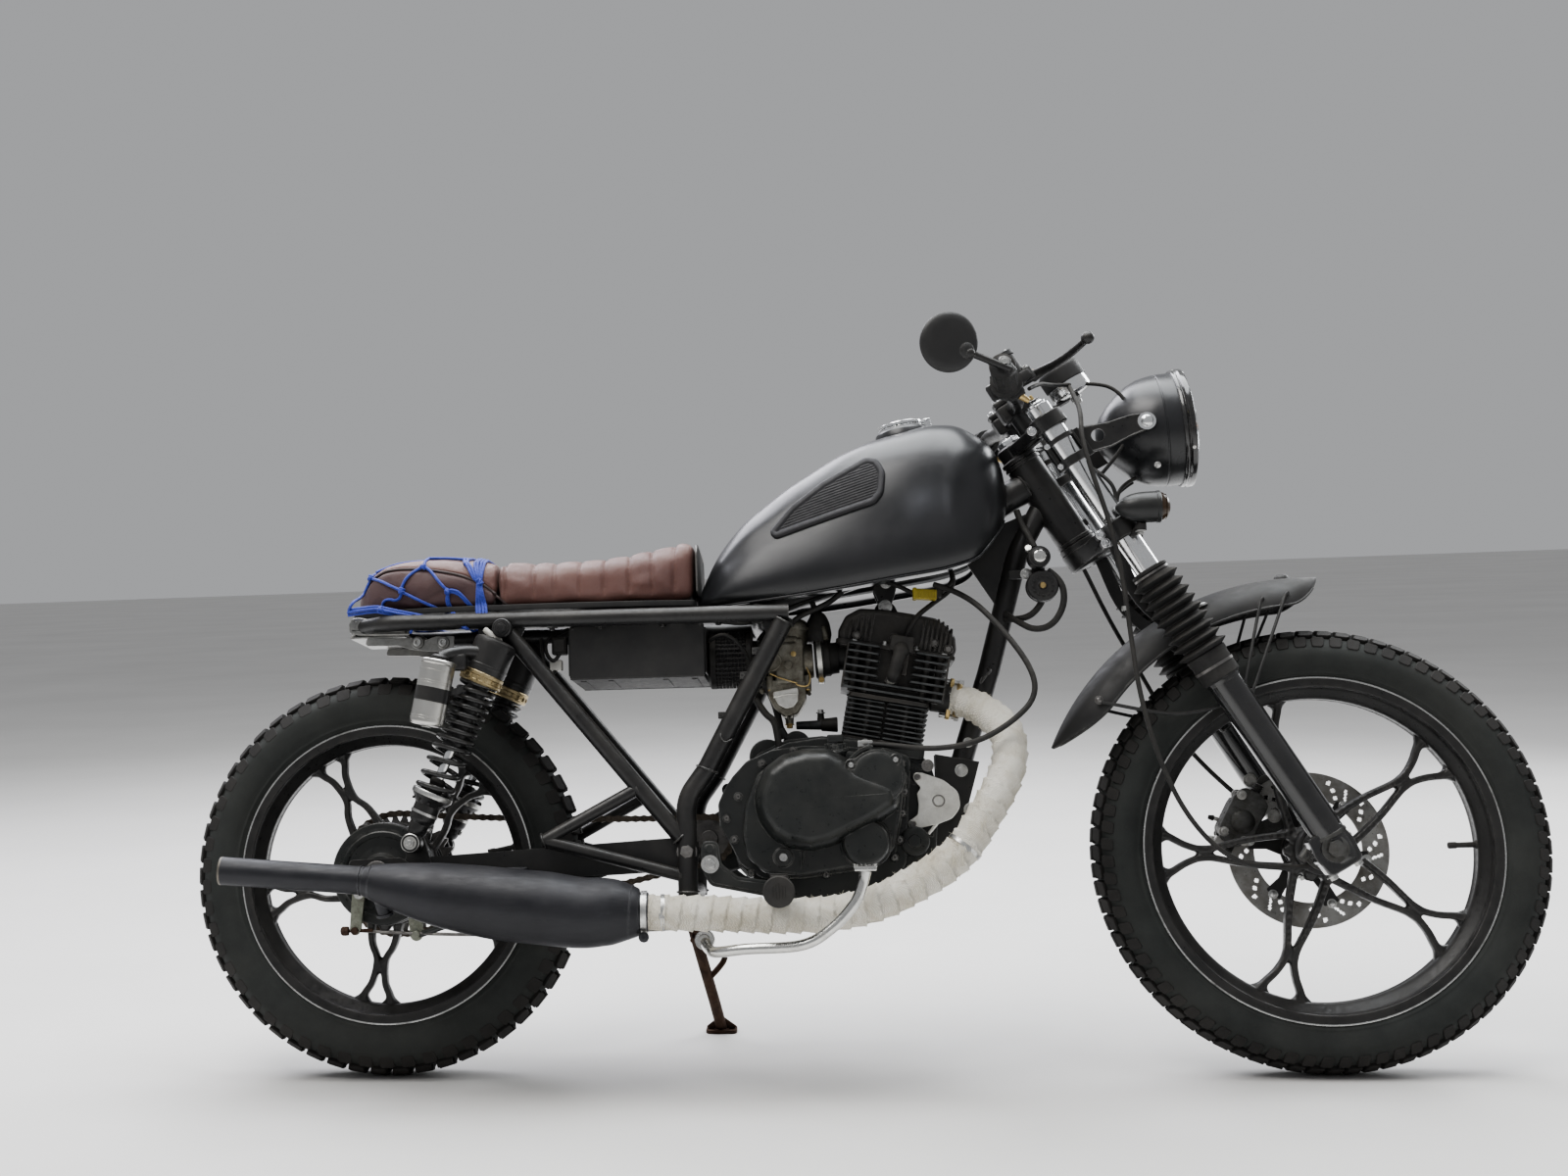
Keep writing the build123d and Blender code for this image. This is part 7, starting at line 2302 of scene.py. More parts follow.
sc_ = Shape()
for sg in (-1, 1):
    c = stv(FO, sg * FH, 0)
    sc_.lathe([(16.6, 232), (17.5, 234), (17.5, 723), (16.6, 724.4), (14, 724.6), (14, 716), (0, 716)], c, AXv, 64, 0)
    sc_.lathe([(0, 731), (7, 731), (8, 729.6), (13.2, 729.6), (14.4, 728), (14.4, 724), (16, 723.6)], c, AXv, 48, 0)
    sc_.bolt(c + AXv * 729, AXv, 9, 6, 0, "hex", False)
    sc_.rod(c + AXv * 733, c + AXv * 743, 3.2, 2.6, 14, mat=1, b=0.8)
piece("fork_tubes", sc_, [CHROME, BRASS], "steering", "fork_stanchions", angle=34)

# bellows: rows of soft lips with a clip above and a collar below
bl = Shape()
for sg in (-1, 1):
    c = stv(FO, sg * FH, 0)
    prof = [(17.7, 300), (24, 300)]
    t = 309.0
    for k in range(9):
        ro = 35.8 - 0.22 * k
        prof += [(25.4, t), (27.2, t + 1.6), (ro - 1.2, t + 5.6), (ro, t + 6.7), (ro - 0.3, t + 7.7),
                 (27.4, t + 11.6), (25.4, t + 13.0)]
        t += 14.2
    prof += [(24.6, t + 0.5), (24.6, t + 6), (26.2, t + 7), (26.2, t + 10), (20, t + 12), (17.7, t + 12)]
    bl.lathe(prof, c, AXv, 72, 0)
    bl.lathe([(24.9, t + 2), (25.9, t + 2), (25.9, t + 5), (24.9, t + 5)], c, AXv, 64, 1, closed=True)
    bl.lathe([(17.7, 268), (25, 268), (27.6, 271), (27.6, 300), (28.6, 302), (28.6, 309), (26.4, 311), (24, 311)],
             c, AXv, 64, 0)
    bl.lathe([(27.7, 286), (28.5, 286), (28.5, 290), (27.7, 290)], c, AXv, 64, 1, closed=True)
piece("fork_bellows", bl, [RUBBER, DARKST], "steering", "fork_boots", angle=28)

sl = Shape()
for sg in (-1, 1):
    c = stv(FO, sg * FH, 0)
    sl.lathe([(0, -24), (15, -24), (19.5, -21), (21.5, -14), (22.6, 6), (22.6, 26), (23.5, 32), (23.5, 262),
              (24.6, 265), (24.6, 269.5), (17.7, 269.5)], c, AXv, 72, 0)
    sl.lathe([(22.7, 14), (23.8, 14.6), (24.2, 16), (24.2, 18), (23.8, 19.4), (22.7, 20)], c, AXv, 64, 3, closed=True)
    # lug round the axle, split and pinched by two studs
    lug = rounded([(-24, -30), (26, -30), (30, 0), (26, 28), (-24, 28), (-28, 0)], [7, 9, 12, 7, 7, 12])
    lo = np.array((WHEELBASE, 0, ZF))
    q = [(lo[0] + a * FXv[0] + b * AXv[0], lo[2] + a * FXv[2] + b * AXv[2]) for a, b in lug]
    sl.slab(np.array(q), sg * 76, sg * 108, 0, 3.0)
    sl.lathe([(0, 112.5), (15, 112.5), (18, 111.5), (19, 108), (27, 107.5), (28.5, 106), (28.5, 76)], (lo[0], 0, lo[2]),
             (0, sg, 0), 48, 0)
    for f in (-19, 19):
        b = lo + FXv * f + YV * sg * 92
        sl.rod(b - AXv * 34, b - AXv * 22, 3.6, n=14, mat=2, b=0.6)
        sl.bolt(b - AXv * 30, -AXv, 6.4, 5.0, 2, "hex", True)
    # caliper and fender tabs
    sl.box(c + AXv * 215 - YV * sg * 22 , (26, 12, 30), 0, 3.0, STR)
    sl.bolt(c + AXv * 215 - YV * sg * 28, (0, -sg, 0), 5.0, 4, 2, "hex", True)
    sl.bolt(c + AXv * 6 + FXv * 21, FXv, 4.4, 4, 2, "cap", False)
sl.rod((WHEELBASE, -117, ZF), (WHEELBASE, 117, ZF), 7.5, n=28, mat=2, b=1)
sl.bolt((WHEELBASE, -112.5, ZF), (0, -1, 0), 12.5, 9, 3, "hex", True)
sl.bolt((WHEELBASE, 112.5, ZF), (0, 1, 0), 12.5, 8, 2, "hex", True)
sl.rod((WHEELBASE, -121, ZF), (WHEELBASE, -112, ZF), 6.6, n=20, mat=2, b=1)
# speedometer drive and distance sleeves
sl.lathe([(8, 48.8), (27, 48.8), (30, 50), (30, 60), (28, 62.5), (18, 63), (16, 75), (8, 75)], (WHEELBASE, 0, ZF),
         (0, -1, 0), 56, 3)
sl.rod((WHEELBASE - 14, -58, ZF + 10), (WHEELBASE - 34, -60, ZF - 14), 9, 6.5, 20, mat=3, b=1.5)
sl.lathe([(8, 52), (13, 52), (14, 54), (14, 74), (12, 76), (8, 76)], (WHEELBASE, 0, ZF), (0, 1, 0), 40, 2)
CASTD = metal_mat("dark cast alloy", (0.16, 0.16, 0.155), (0.09, 0.088, 0.082), 0.5, 0.12, grime=0.5,
                  grime_c=(0.06, 0.05, 0.04), scale=50, bump=0.3)
piece("fork_slider_castings", sl, [GLOSSB, ALLOY, STEEL, CASTD], "steering", "fork_sliders", angle=32)

# ----------------------------------------------------- front fender
fd = Shape()


def fender_at(a, q, lift=0.0):
    """a: angle round the axle in degrees; q: -1..1 across the section."""
    e = min(1.0, max(0.0, (a - 86.4) / 8.0))
    g = min(1.0, max(0.0, (157.2 - a) / 15.0))
    k = (sin(e * pi / 2) ** 0.7) * (sin(g * pi / 2) ** 0.8)
    w, dep = 50 * k, 43 * k
    ph = q * radians(86)
    y = w * sin(ph) / sin(radians(86))
    r = 383.0 + lift - dep * (1 - cos(ph)) / (1 - cos(radians(86)))
    aa = radians(a)
    return np.array((WHEELBASE + r * cos(aa), y, ZF + r * sin(aa)))


an = np.r_[np.linspace(86.6, 100, 22), np.linspace(101.2, 132, 32), np.linspace(133, 157.0, 34)]
qs = np.linspace(-1, 1, 37)
rings = []
for a in an:
    top = [fender_at(a, q, 1.0) for q in qs]
    bot = [fender_at(a, q, -1.2) for q in qs[::-1]]
    rings.append(top + bot)
fd.rings(rings, 0)
# rolled bead along both edges
for sg in (-1, 1):
    edge = [fender_at(a, sg * 0.985, -0.3) for a in an[2:-2]]
    fd.tube(edge, 1.9, 8)
tip = fender_at(89.4, 0, 2)
fd.lathe([(0, 7.5), (6, 7.0), (9.4, 4.4), (10.6, 1.0), (11.4, -3)], fender_at(93.5, 0, -0.5), unit(fender_at(93.5, 0, 9) - fender_at(93.5, 0, 0)), 28, 0)
for a_, q_ in ((112, 0.5), (112, -0.5), (120, 0.5), (120, -0.5)):
    p_ = fender_at(a_, q_, 0.6)
    fd.bolt(p_, unit(fender_at(a_, q_, 9) - fender_at(a_, q_, 0)), 5.0, 3.4, 1, "dome", True)
# brace over the tyre to the legs, and the thin wire stays
for sg in (-1, 1):
    fd.tube(catmull([fender_at(119, 0.1 * sg, -3), fender_at(119, 0.75 * sg, -3), (fender_at(119, 0.95 * sg, -6)),
                     stv(18, sg * 66, 420), stv(30, sg * 74, 505)], 6), 1,
            section=rounded([(-9, -1.6), (9, -1.6), (9, 1.6), (-9, 1.6)], 1.2, 2), up=FXv)
    fd.tube(catmull([(1028, sg * 49, 520), (1040, sg * 52, 516), (1130, sg * 66, 498), stv(FO - 6, sg * 70, 232),
                     stv(FO, sg * 74, 215)], 6), 2.5, 12, 0)
    fd.bolt((1028, sg * 50.5, 521), (0, sg, 0), 4.2, 3.0, 2, "dome", True)
    for x, z, x2, z2 in ((1255, 655, 1241, 607), (1289, 662, 1266, 586)):
        a_, b_ = np.array((x, sg * 48.0, z)), stv(FO + 14, sg * 79, 236 if x < 1270 else 222)
        fd.tube([a_ + (4, 0, 4), a_, a_ * 0.5 + b_ * 0.5, b_, b_ - AXv * 8], 2.2, 10, 0)
piece("front_fender_shell", fd, [MATT, STEEL, DARKST], "steering", "front_fender", angle=40)

# -------------------------------------------------------- headlight
LD = unit((0.9965, 0, 0.0836))
LC = np.array((1175.0, 0, 916.0))
LU = np.cross(LD, YV)
LU = LU if LU[2] > 0 else -LU
hl = Shape()
hl.lathe([(80.5, -1), (81.2, -8), (81.6, -30), (81.1, -36), (80.4, -36.8), (80.4, -38.2), (81.0, -39), (79.8, -48),
          (76.6, -62), (69.5, -77), (58.5, -92), (44.5, -106), (30, -117), (15, -124.5), (0, -126.6)], LC, LD, 96, 0)
hl.lathe([(79, -15), (83.5, -15.6), (84.6, -14.6), (85.2, -12), (84.6, -10.6), (83.4, -9.4), (84.4, -8), (86, -6.4),
          (86, -1.6), (85, 0.4), (82.5, 1.2), (80.2, 0.2), (79.4, -2)], LC, LD, 96, 1)
for sg in (-1, 1):
    p_ = LC - LD * 62 + YV * sg * 75
    p_ = np.array((1109.0, sg * 83.0, 910.5))
    hl.rod(p_ - YV * sg * 12, p_ + YV * sg * 1.0, 12, 11, 32, b=2)
hl.lathe([(0, 2.0), (3.2, 2.0), (4.4, 1.2), (4.8, 0)], (1122, -76.5, 849), (0, -1, -0.35), 20, 2)
hl.lathe([(0, 3), (10, 3), (12.5, 1), (13, -6)], LC - LD * 112 - LU * 30, unit(-LD - LU * 0.8), 28, 3)
for k in range(3):
    a = radians(90 + 120 * k)
    p_ = LC + (YV * cos(a) + LU * sin(a)) * 85.2 - LD * 5
    hl.rod(p_, p_ + (YV * cos(a) + LU * sin(a)) * 1.6, 2.6, n=14, mat=2, b=0.6)
piece("headlight_shell", hl, [TANKP, GLOSSB, STEEL, RUBBER], "steering", "headlight_bucket",
      angle=36)
# lens: domed glass with flutes, bowl behind
REFL = metal_mat("bright bowl", (0.86, 0.87, 0.88), (0.74, 0.75, 0.76), 0.10, 0.04, grime=0.08,
                 grime_c=(0.5, 0.5, 0.5), scale=30, bump=0.02)
ln = Shape()
rings = []
for r, h in ((79.6, -3), (79.6, -0.5), (77, 1.6), (70, 4.2), (60, 6.8), (48, 9.0), (34, 10.8), (20, 11.8), (7, 12.2)):
    ring = []
    for k in range(180):
        a = 2 * pi * k / 180
        yy, zz = r * cos(a), r * sin(a)
        fl_ = 0.65 * sin(yy * 2 * pi / 7.5) * (1 if abs(zz) < 56 else 0.5) * (1 if r < 75 else 0)
        fl_ += 0.3 * (sin(zz * 2 * pi / 22) if r < 70 else 0)
        ring.append(LC + LD * (h + fl_) + YV * yy + LU * zz)
    rings.append(ring)
ln.rings(rings, 0, caps=(False, True))
ln.lathe([(79.5, -3.2), (70, -16), (56, -26), (38, -33), (16, -36), (0, -36.5)], LC, LD, 72, 1)
ln.lathe([(0, -8), (13, -8), (15, -10), (15, -13), (0, -12)], LC, LD, 36, 2)
ln.rod(LC - LD * 34, LC - LD * 12, 5.5, n=20, mat=3, b=2)
ln.lathe([(79.7, -3.4), (79.7, -1.2), (78.3, -1.2), (78.3, -3.4)], LC, LD, 96, 2, closed=True)
piece("headlight_glass", ln, [LENS, REFL, DARKST, AMBER], "steering", "headlight_lens", angle=50)
# bracket: side plate, two straps round the tube with a window between
hb = Shape()
pl_o = rounded([(1002, 861), (1010, 903), (1022, 907), (1053, 911), (1086, 921), (1108, 923), (1121, 911), (1112, 899),
                (1086, 889), (1060, 876)], [5, 6, 14, 20, 16, 12, 12, 14, 20, 20], 4)


def holed(sh, outline, holes, y0, y1, mat=0):
    """Flat plate with round holes, filled by triangulating between the loops."""
    loops = [np.array(outline)] + [np.array(circ(x, z, r, 28)) for x, z, r in holes]
    bm_ = bmesh.new()
    edges = []
    for lp in loops:
        vs = [bm_.verts.new((x, 0, z)) for x, z in lp]
        edges += [bm_.edges.new((vs[i], vs[(i + 1) % len(vs)])) for i in range(len(vs))]
    bmesh.ops.triangle_fill(bm_, use_beauty=True, edges=edges)
    bm_.verts.index_update()
    vv = np.array([v.co[:] for v in bm_.verts])
    ff = [[v.index for v in f.verts] for f in bm_.faces]
    nv = len(vv)
    a, b = vv.copy(), vv.copy()
    a[:, 1], b[:, 1] = y0, y1
    faces = [f for f in ff] + [[i + nv for i in f[::-1]] for f in ff]
    k = 0
    for lp in loops:
        m_ = len(lp)
        for i in range(m_):
            j = (i + 1) % m_
            faces.append([k + i, k + j, k + j + nv, k + i + nv])
        k += m_
    bm_.free()
    bm_ = bmesh.new()
    vs = [bm_.verts.new(c) for c in np.vstack([a, b])]
    for f in faces:
        bm_.faces.new([vs[i] for i in f])
    bmesh.ops.recalc_face_normals(bm_, faces=bm_.faces)
    sh.add([v.co[:] for v in bm_.verts], [[v.index for v in f.verts] for f in bm_.faces] if not
           bm_.verts.index_update() else [], mat)
    bm_.free()


for sg in (-1, 1):
    holed(hb, pl_o, [(1041, 893, 9.2), (1109, 910.5, 5.0)], sg * 84.0, sg * 87.6)
    hb.tube(np.array([(x, sg * 87.4, z) for x, z in resample(np.r_[inset(pl_o if area2(pl_o) > 0 else pl_o[::-1], 1.4),
            inset(pl_o if area2(pl_o) > 0 else pl_o[::-1], 1.4)[:1]], 4.0)[:-1]]), 1.1, 6, closed=True)
    c = stv(FO, sg * FH, 0)
    for t0, t1 in ((626, 639), (664, 671)):
        hb.lathe([(17.6, t0), (19.8, t0), (20.6, t0 + 0.8), (20.6, t1 - 0.8), (19.8, t1), (17.6, t1)], c, AXv, 56, 0,
                 closed=True)
    hb.box(c + AXv * 648 + FXv * 19.5, (4.0, 16, 45), 0, 1.2, STR)
    hb.box(c + AXv * 648 + FXv * 24 + YV * -sg * 2.5, (13, 3.8, 44), 0, 1.0, STR)
    hb.box(c + AXv * 648 - FXv * 21.5, (7, 14, 44), 0, 1.5, STR)
    for t_ in (633, 667):
        hb.bolt(c + AXv * t_ - FXv * 22 + YV * sg * 7, (0, sg, 0), 4.2, 3.6, 1, "cap", False)
    hb.lathe([(0, 93.6), (6.8, 93.6), (8.2, 92.6), (8.8, 91), (8.8, 88.8), (12.6, 88.6), (12.6, 87.4)],
             (1109, 0, 910.5), (0, sg, 0), 36, 1)
    hb.bolt((1109, sg * 91.5, 910.5), (0, sg, 0), 7.6, 4.4, 1, "dome", False)
piece("headlight_brackets", hb, [BLACK, CHROME], "steering", "headlight_bracket", angle=34)

# -------------------------------------------------------- indicators
it = Shape()
for sg in (-1, 1):
    o_ = np.array((0, sg * 128.0, 780.5))
    it.lathe([(0, 1053.5), (3, 1054), (7, 1056.5), (11.5, 1061), (15.6, 1067), (18.8, 1075), (20.8, 1085), (21.6, 1096),
              (21.6, 1108), (22.4, 1109), (22.4, 1113), (21, 1114)], o_, (1, 0, 0), 56, 0)
    it.lathe([(20.8, 1113.4), (19.6, 1117), (16.6, 1121), (12.0, 1124.4), (6, 1126.6), (0, 1127.4)], o_, (1, 0, 0), 56, 1)
    for k in range(3):
        it.lathe([(17.6 - k * 4.6, 1120.6 + k * 2.3), (17.0 - k * 4.6, 1121.6 + k * 2.3), (16.2 - k * 4.6, 1121.4 + k * 2.3)],
                 o_, (1, 0, 0), 48, 1)
    it.rod((1088, sg * 128, 760), (1086, sg * 124, 750), 6.5, 8.5, 24, mat=2, b=1.5)
    it.tube(catmull([(1086, sg * 124, 752), (1078, sg * 112, 748), (1069, sg * 92, 754), (1064, sg * 70, 764),
                     stv(FO + 14, sg * 74, 516)], 6), 5.6, 14, 2)
    it.bolt((1086, sg * 126, 748), (0, 0, -1), 5.0, 4, 3, "hex", True)
SMOKE = paint("smoked lens", (0.030, 0.018, 0.010), (0.05, 0.028, 0.012), 0.16, 0.05, dust=0.15, mottle=40)
INDB = paint("indicator shell", (0.012, 0.013, 0.0135), (0.021, 0.022, 0.022), 0.34, 0.06, dust=0.18, grain=500,
             bump=0.08)
piece("indicator_bodies", it, [INDB, SMOKE, RUBBER, STEEL], "steering", "front_indicators", angle=34)

# ------------------------------------------- bars, grips and controls
hbm = Shape()
bar = [(25, 0, 745), (25, 62, 745), (24, 92, 745.6), (18, 128, 750), (12, 150, 755), (8, 178, 757), (-2, 250, 758),
       (-14, 345, 759)]
half = [stv(*p) for p in bar]
full = [p * (1, -1, 1) for p in half[:0:-1]] + half
bpth = catmull(full, 8)
hbm.tube(bpth, 11.0, 28, 0)
for sg in (-1, 1):
    e_ = stv(-14, sg * 345, 759)
    d_ = unit(stv(-14, 345, 759) - stv(12, 150, 756)) * (1, sg, 1)
    hbm.lathe([(0, 9), (5, 9), (5.5, 8), (13, 8), (15.4, 6), (15.4, -1), (14, -3), (11, -3)], e_ - d_ * 1, d_, 40, 1)
    hbm.lathe([(0, 8.2), (4.6, 8.2), (5.0, 9.4), (3.4, 10), (3.0, 9), (0, 8.9)], e_ - d_ * 1, d_, 28, 2)
piece("handlebar_tube", hbm, [BLACK, PLASTIC, BRASS], "steering", "handlebar", angle=40)

gr = Shape()
knee, end_ = stv(12, 150, 756), stv(-14, 345, 759)
gd = unit(end_ - knee)
for sg in (-1, 1):
    k_, d_ = knee * (1, sg, 1), gd * (1, sg, 1)
    prof = [(11.2, 76), (19.4, 76), (21.5, 77.5), (21.5, 80), (18, 81.5), (16.2, 84)]
    s_ = 86.0
    while s_ < 190:
        prof += [(15.7, s_), (16.9, s_ + 0.9), (16.9, s_ + 3.1), (15.7, s_ + 4.0)]
        s_ += 5.6
    prof += [(16.4, 194), (17.2, 198), (16.8, 201.5), (14.5, 203), (11.2, 203)]
    gr.lathe(prof, k_, d_, 48, 0)
    b_, c_ = basis(d_, AXv)
    for k in range(10):
        a = 2 * pi * k / 10
        e_ = b_ * cos(a) + c_ * sin(a)
        gr.rod(k_ + d_ * 88 + e_ * 15.6, k_ + d_ * 190 + e_ * 15.6, 1.5, n=6, b=0.5)
piece("grip_rubbers", gr, [RUBBER], "steering", "grips", angle=36)

lv = Shape()
for sg in (-1, 1):
    k_, d_ = knee * (1, sg, 1), gd * (1, sg, 1)
    b_, c_ = basis(d_, AXv)
    R_ = np.column_stack([FXv, d_, AXv])
    # perch: split clamp, boss for the pivot
    lv.lathe([(11.2, 36), (18, 36), (19.5, 37.5), (19.5, 55), (18, 56.5), (11.2, 56.5)], k_, d_, 40, 0, closed=True)
    lv.box(k_ + d_ * 46 + AXv * 2 - FXv * 20, (14, 20, 22), 0, 3, R_)
    lv.bolt(k_ + d_ * 46 + AXv * 10 - FXv * 21, AXv, 4.0, 4, 1, "cap", False)
    lv.box(k_ + d_ * 48 + FXv * 24 - AXv * 2, (26, 24, 15), 0, 4, R_)
    lv.rod(k_ + d_ * 50 + FXv * 33 - AXv * 11, k_ + d_ * 50 + FXv * 33 + AXv * 7, 7.5, 7.5, 24, b=1.5)
    lv.bolt(k_ + d_ * 50 + FXv * 33 + AXv * 7, AXv, 4.8, 3.6, 1, "hex", False)
    # switch / throttle housing
    lv.lathe([(11.2, 57), (17, 57), (21.8, 58.4), (21.8, 75), (20, 76.5), (11.2, 76.5)], k_, d_, 44, 0, closed=True)
    lv.box(k_ + d_ * 67 - AXv * 14 + FXv * 3, (26, 17, 24), 0, 4.5, R_)
    lv.box(k_ + d_ * 67 + AXv * 14 - FXv * 6, (18, 15, 12), 0, 3, R_)
    lv.rod(k_ + d_ * 67 - AXv * 24 + FXv * 6, k_ + d_ * 62 - AXv * 36 + FXv * 12, 5, 4, 18, mat=3, b=1)
    lv.bolt(k_ + d_ * 67 - FXv * 18, -FXv, 3.2, 2.4, 1, "dome", False)
    # blade: broad and flat, curving out to a ball
    pth = [stv(45, sg * 178, 752), stv(60, sg * 192, 749.5), stv(74, sg * 215, 745), stv(85, sg * 248, 740.5),
           stv(92, sg * 280, 737.5), stv(97, sg * 308, 735.2), stv(100, sg * 330, 734)]
    q = catmull(pth, 6)
    n_ = len(q)
    rings = []
    for i, p in enumerate(q):
        d2 = unit(q[min(i + 1, n_ - 1)] - q[max(i - 1, 0)])
        side = unit(np.cross(d2, AXv))
        w_ = np.interp(i / (n_ - 1), [0, 0.12, 0.45, 0.85, 1], [7.5, 6.6, 6.4, 5.0, 4.4])
        h_ = np.interp(i / (n_ - 1), [0, 0.12, 0.45, 0.85, 1], [8.5, 7.0, 5.6, 4.4, 4.2])
        a = np.linspace(0, 2 * pi, 21)[:-1]
        rings.append([p + side * w_ * np.sign(cos(t)) * abs(cos(t)) ** 0.7 + AXv * h_ * np.sign(sin(t)) * abs(sin(t)) ** 0.8
                      for t in a])
    lv.rings(rings, 2)
    bc = stv(100, sg * 334, 734)
    lv.lathe([(0, -8.6)] + [(8.6 * sin(t), -8.6 * cos(t)) for t in np.linspace(0.2, pi - 0.2, 12)] + [(0, 8.6)], bc,
             (0, 1, 0), 28, 2)
# fluid pot on the right, with its lid screws and sight glass
o_ = stv(24, -176, 766)
lv.lathe([(0, -2), (14, -2), (16.6, 0), (17.2, 4), (17.2, 27), (18.6, 28), (18.6, 34), (17.4, 35.4), (0, 36)], o_, AXv, 48, 0)
for k in range(4):
    a = radians(45 + 90 * k)
    lv.lathe([(0, 1.4), (2.4, 1.4), (2.8, 0.4), (2.8, 0)], o_ + AXv * 35.2 + (FXv * cos(a) + YV * sin(a)) * 12.5, AXv, 14, 1)
sgd = unit(np.array((0, -1.0, 0)) - FXv * 0.35)
sgp = o_ + AXv * 15 + sgd * 15.0
lv.lathe([(4.4, 0), (7.6, 0), (8.2, 0.8), (8.2, 3.4), (7.4, 4.2), (5.0, 4.2), (4.4, 3.2)], sgp, sgd, 32, 3, closed=True)
lv.rod(sgp, sgp + sgd * 3.0, 4.6, n=24, mat=0, b=0.6)
lv.rod(o_ - AXv * 8, o_ + AXv * 2, 9, 12, 24, b=1)
lv.rod(stv(24, -172, 757), stv(50, -160, 757), 10, 9, 28, b=2)
lv.bolt(stv(50, -160, 757), FXv, 6.5, 5, 3, "hex", True)
piece("lever_sets", lv, [PLASTIC, STEEL, BLACK, BRASS], "steering", "hand_levers", angle=34)

# mirror: shallow dish, rim, glass on the rider's side, ball joint stem
mr = Shape()
MC, MN = np.array((821.0, -392.0, 962.0)), unit((0.30, -0.93, -0.18))
mr.lathe([(0, 6.6), (16, 6.2), (28, 5.0), (35, 3.0), (38.6, 0.2), (39.3, -2.0), (39.0, -4.2), (37.6, -4.9), (36.6, -3.6)],
         MC, MN, 80, 0)
mr.lathe([(36.7, -3.8), (20, -3.5), (0, -3.4)], MC, MN, 72, 1)
mr.lathe([(0, 8.4), (6, 8.2), (9.5, 6.4), (10.5, 4.5)], MC + unit(np.array((24.0, 10, -12))) * 24, MN, 28, 0)
mb = np.array((846.0, -385, 948.0))
mr.lathe([(0, -7)] + [(7.2 * sin(t), -7.2 * cos(t)) for t in np.linspace(0.2, pi - 0.2, 10)] + [(0, 7)], mb, (1, 0, 0), 24, 2)
mr.tube(catmull([mb, mb + (10, 8, -2), stv(-13, -374, 746)], 6), 4.6, 16, 2)
mr.rod(stv(-14, -352, 759), stv(-14, -374, 759), 8.6, 8.6, 24, mat=2, b=1.5)
mr.rod(stv(-14, -367, 760), stv(-12, -371, 740), 7, 6.6, 20, mat=2, b=1.2)
mr.bolt(stv(-14, -374, 759), (0, -1, 0), 5, 3.6, 3, "hex", True)
piece("mirror_parts", mr, [MATT, MIRROR, BLACK, STEEL], "steering", "mirror", angle=36)

# speedometer
sp_s = Shape()
so = stv(112, -22, 719)
sp_s.lathe([(0, -2), (9, -2), (22, -0.5), (28, 2.5), (29.6, 6), (29.6, 22), (30.8, 23), (30.8, 25)], so, AXv, 64, 0)
sp_s.lathe([(29.4, 20), (31.2, 21), (31.6, 23), (31.6, 40), (30.8, 44), (28.4, 46.5), (26.6, 46.3), (26.4, 43.6)], so, AXv,
           64, 1)
DIAL = paint("dial face", (0.012, 0.012, 0.013), (0.02, 0.02, 0.022), 0.35, 0.05, dust=0.05, mottle=60)
sp_s.lathe([(26.6, 43.0), (13, 43.2), (0, 43.3)], so, AXv, 56, 2)
for k in range(17):
    a = radians(-130 + 260 * k / 16)
    e_ = FXv * cos(a) + YV * sin(a)
    r_ = (20.5, 24.5) if k % 2 == 0 else (22.5, 24.5)
    sp_s.tube([so + AXv * 43.6 + e_ * r_[0], so + AXv * 43.6 + e_ * r_[1]], 0.5, 6, 3)
e_ = FXv * cos(radians(-118)) + YV * sin(radians(-118))
sp_s.tube([so + AXv * 44.2 - e_ * 4, so + AXv * 44.2 + e_ * 19], 0.7, 6, 4)
sp_s.lathe([(0, 46), (3.2, 45.6), (3.6, 44), (3.6, 43.2)], so, AXv, 20, 1)
sp_s.rod(so - AXv * 14, so + AXv * 0, 5.6, 6.5, 20, mat=5, b=1)
sp_s.box(so - AXv * 1 + FXv * -30, (44, 22, 3.6), 1, 1.0, STR)
sp_s.box(stv(76, -22, 706), (4, 22, 30), 1, 1.0, STR)
for yy in (-13, 13):
    sp_s.rod(so - AXv * 6 + YV * yy, so + AXv * 1 + YV * yy, 4.6, n=18, mat=1, b=0.8)
    sp_s.bolt(so - AXv * 6 + YV * yy, -AXv, 3.8, 3, 5, "hex", True)
NEED = paint("red needle", (0.35, 0.03, 0.02), (0.42, 0.05, 0.03), 0.4, 0.05, dust=0.05, mottle=60)
piece("speedometer_cup", sp_s, [CHROME, PLASTIC, DIAL, WHITE, NEED, STEEL], "steering", "speedometer",
      angle=34)

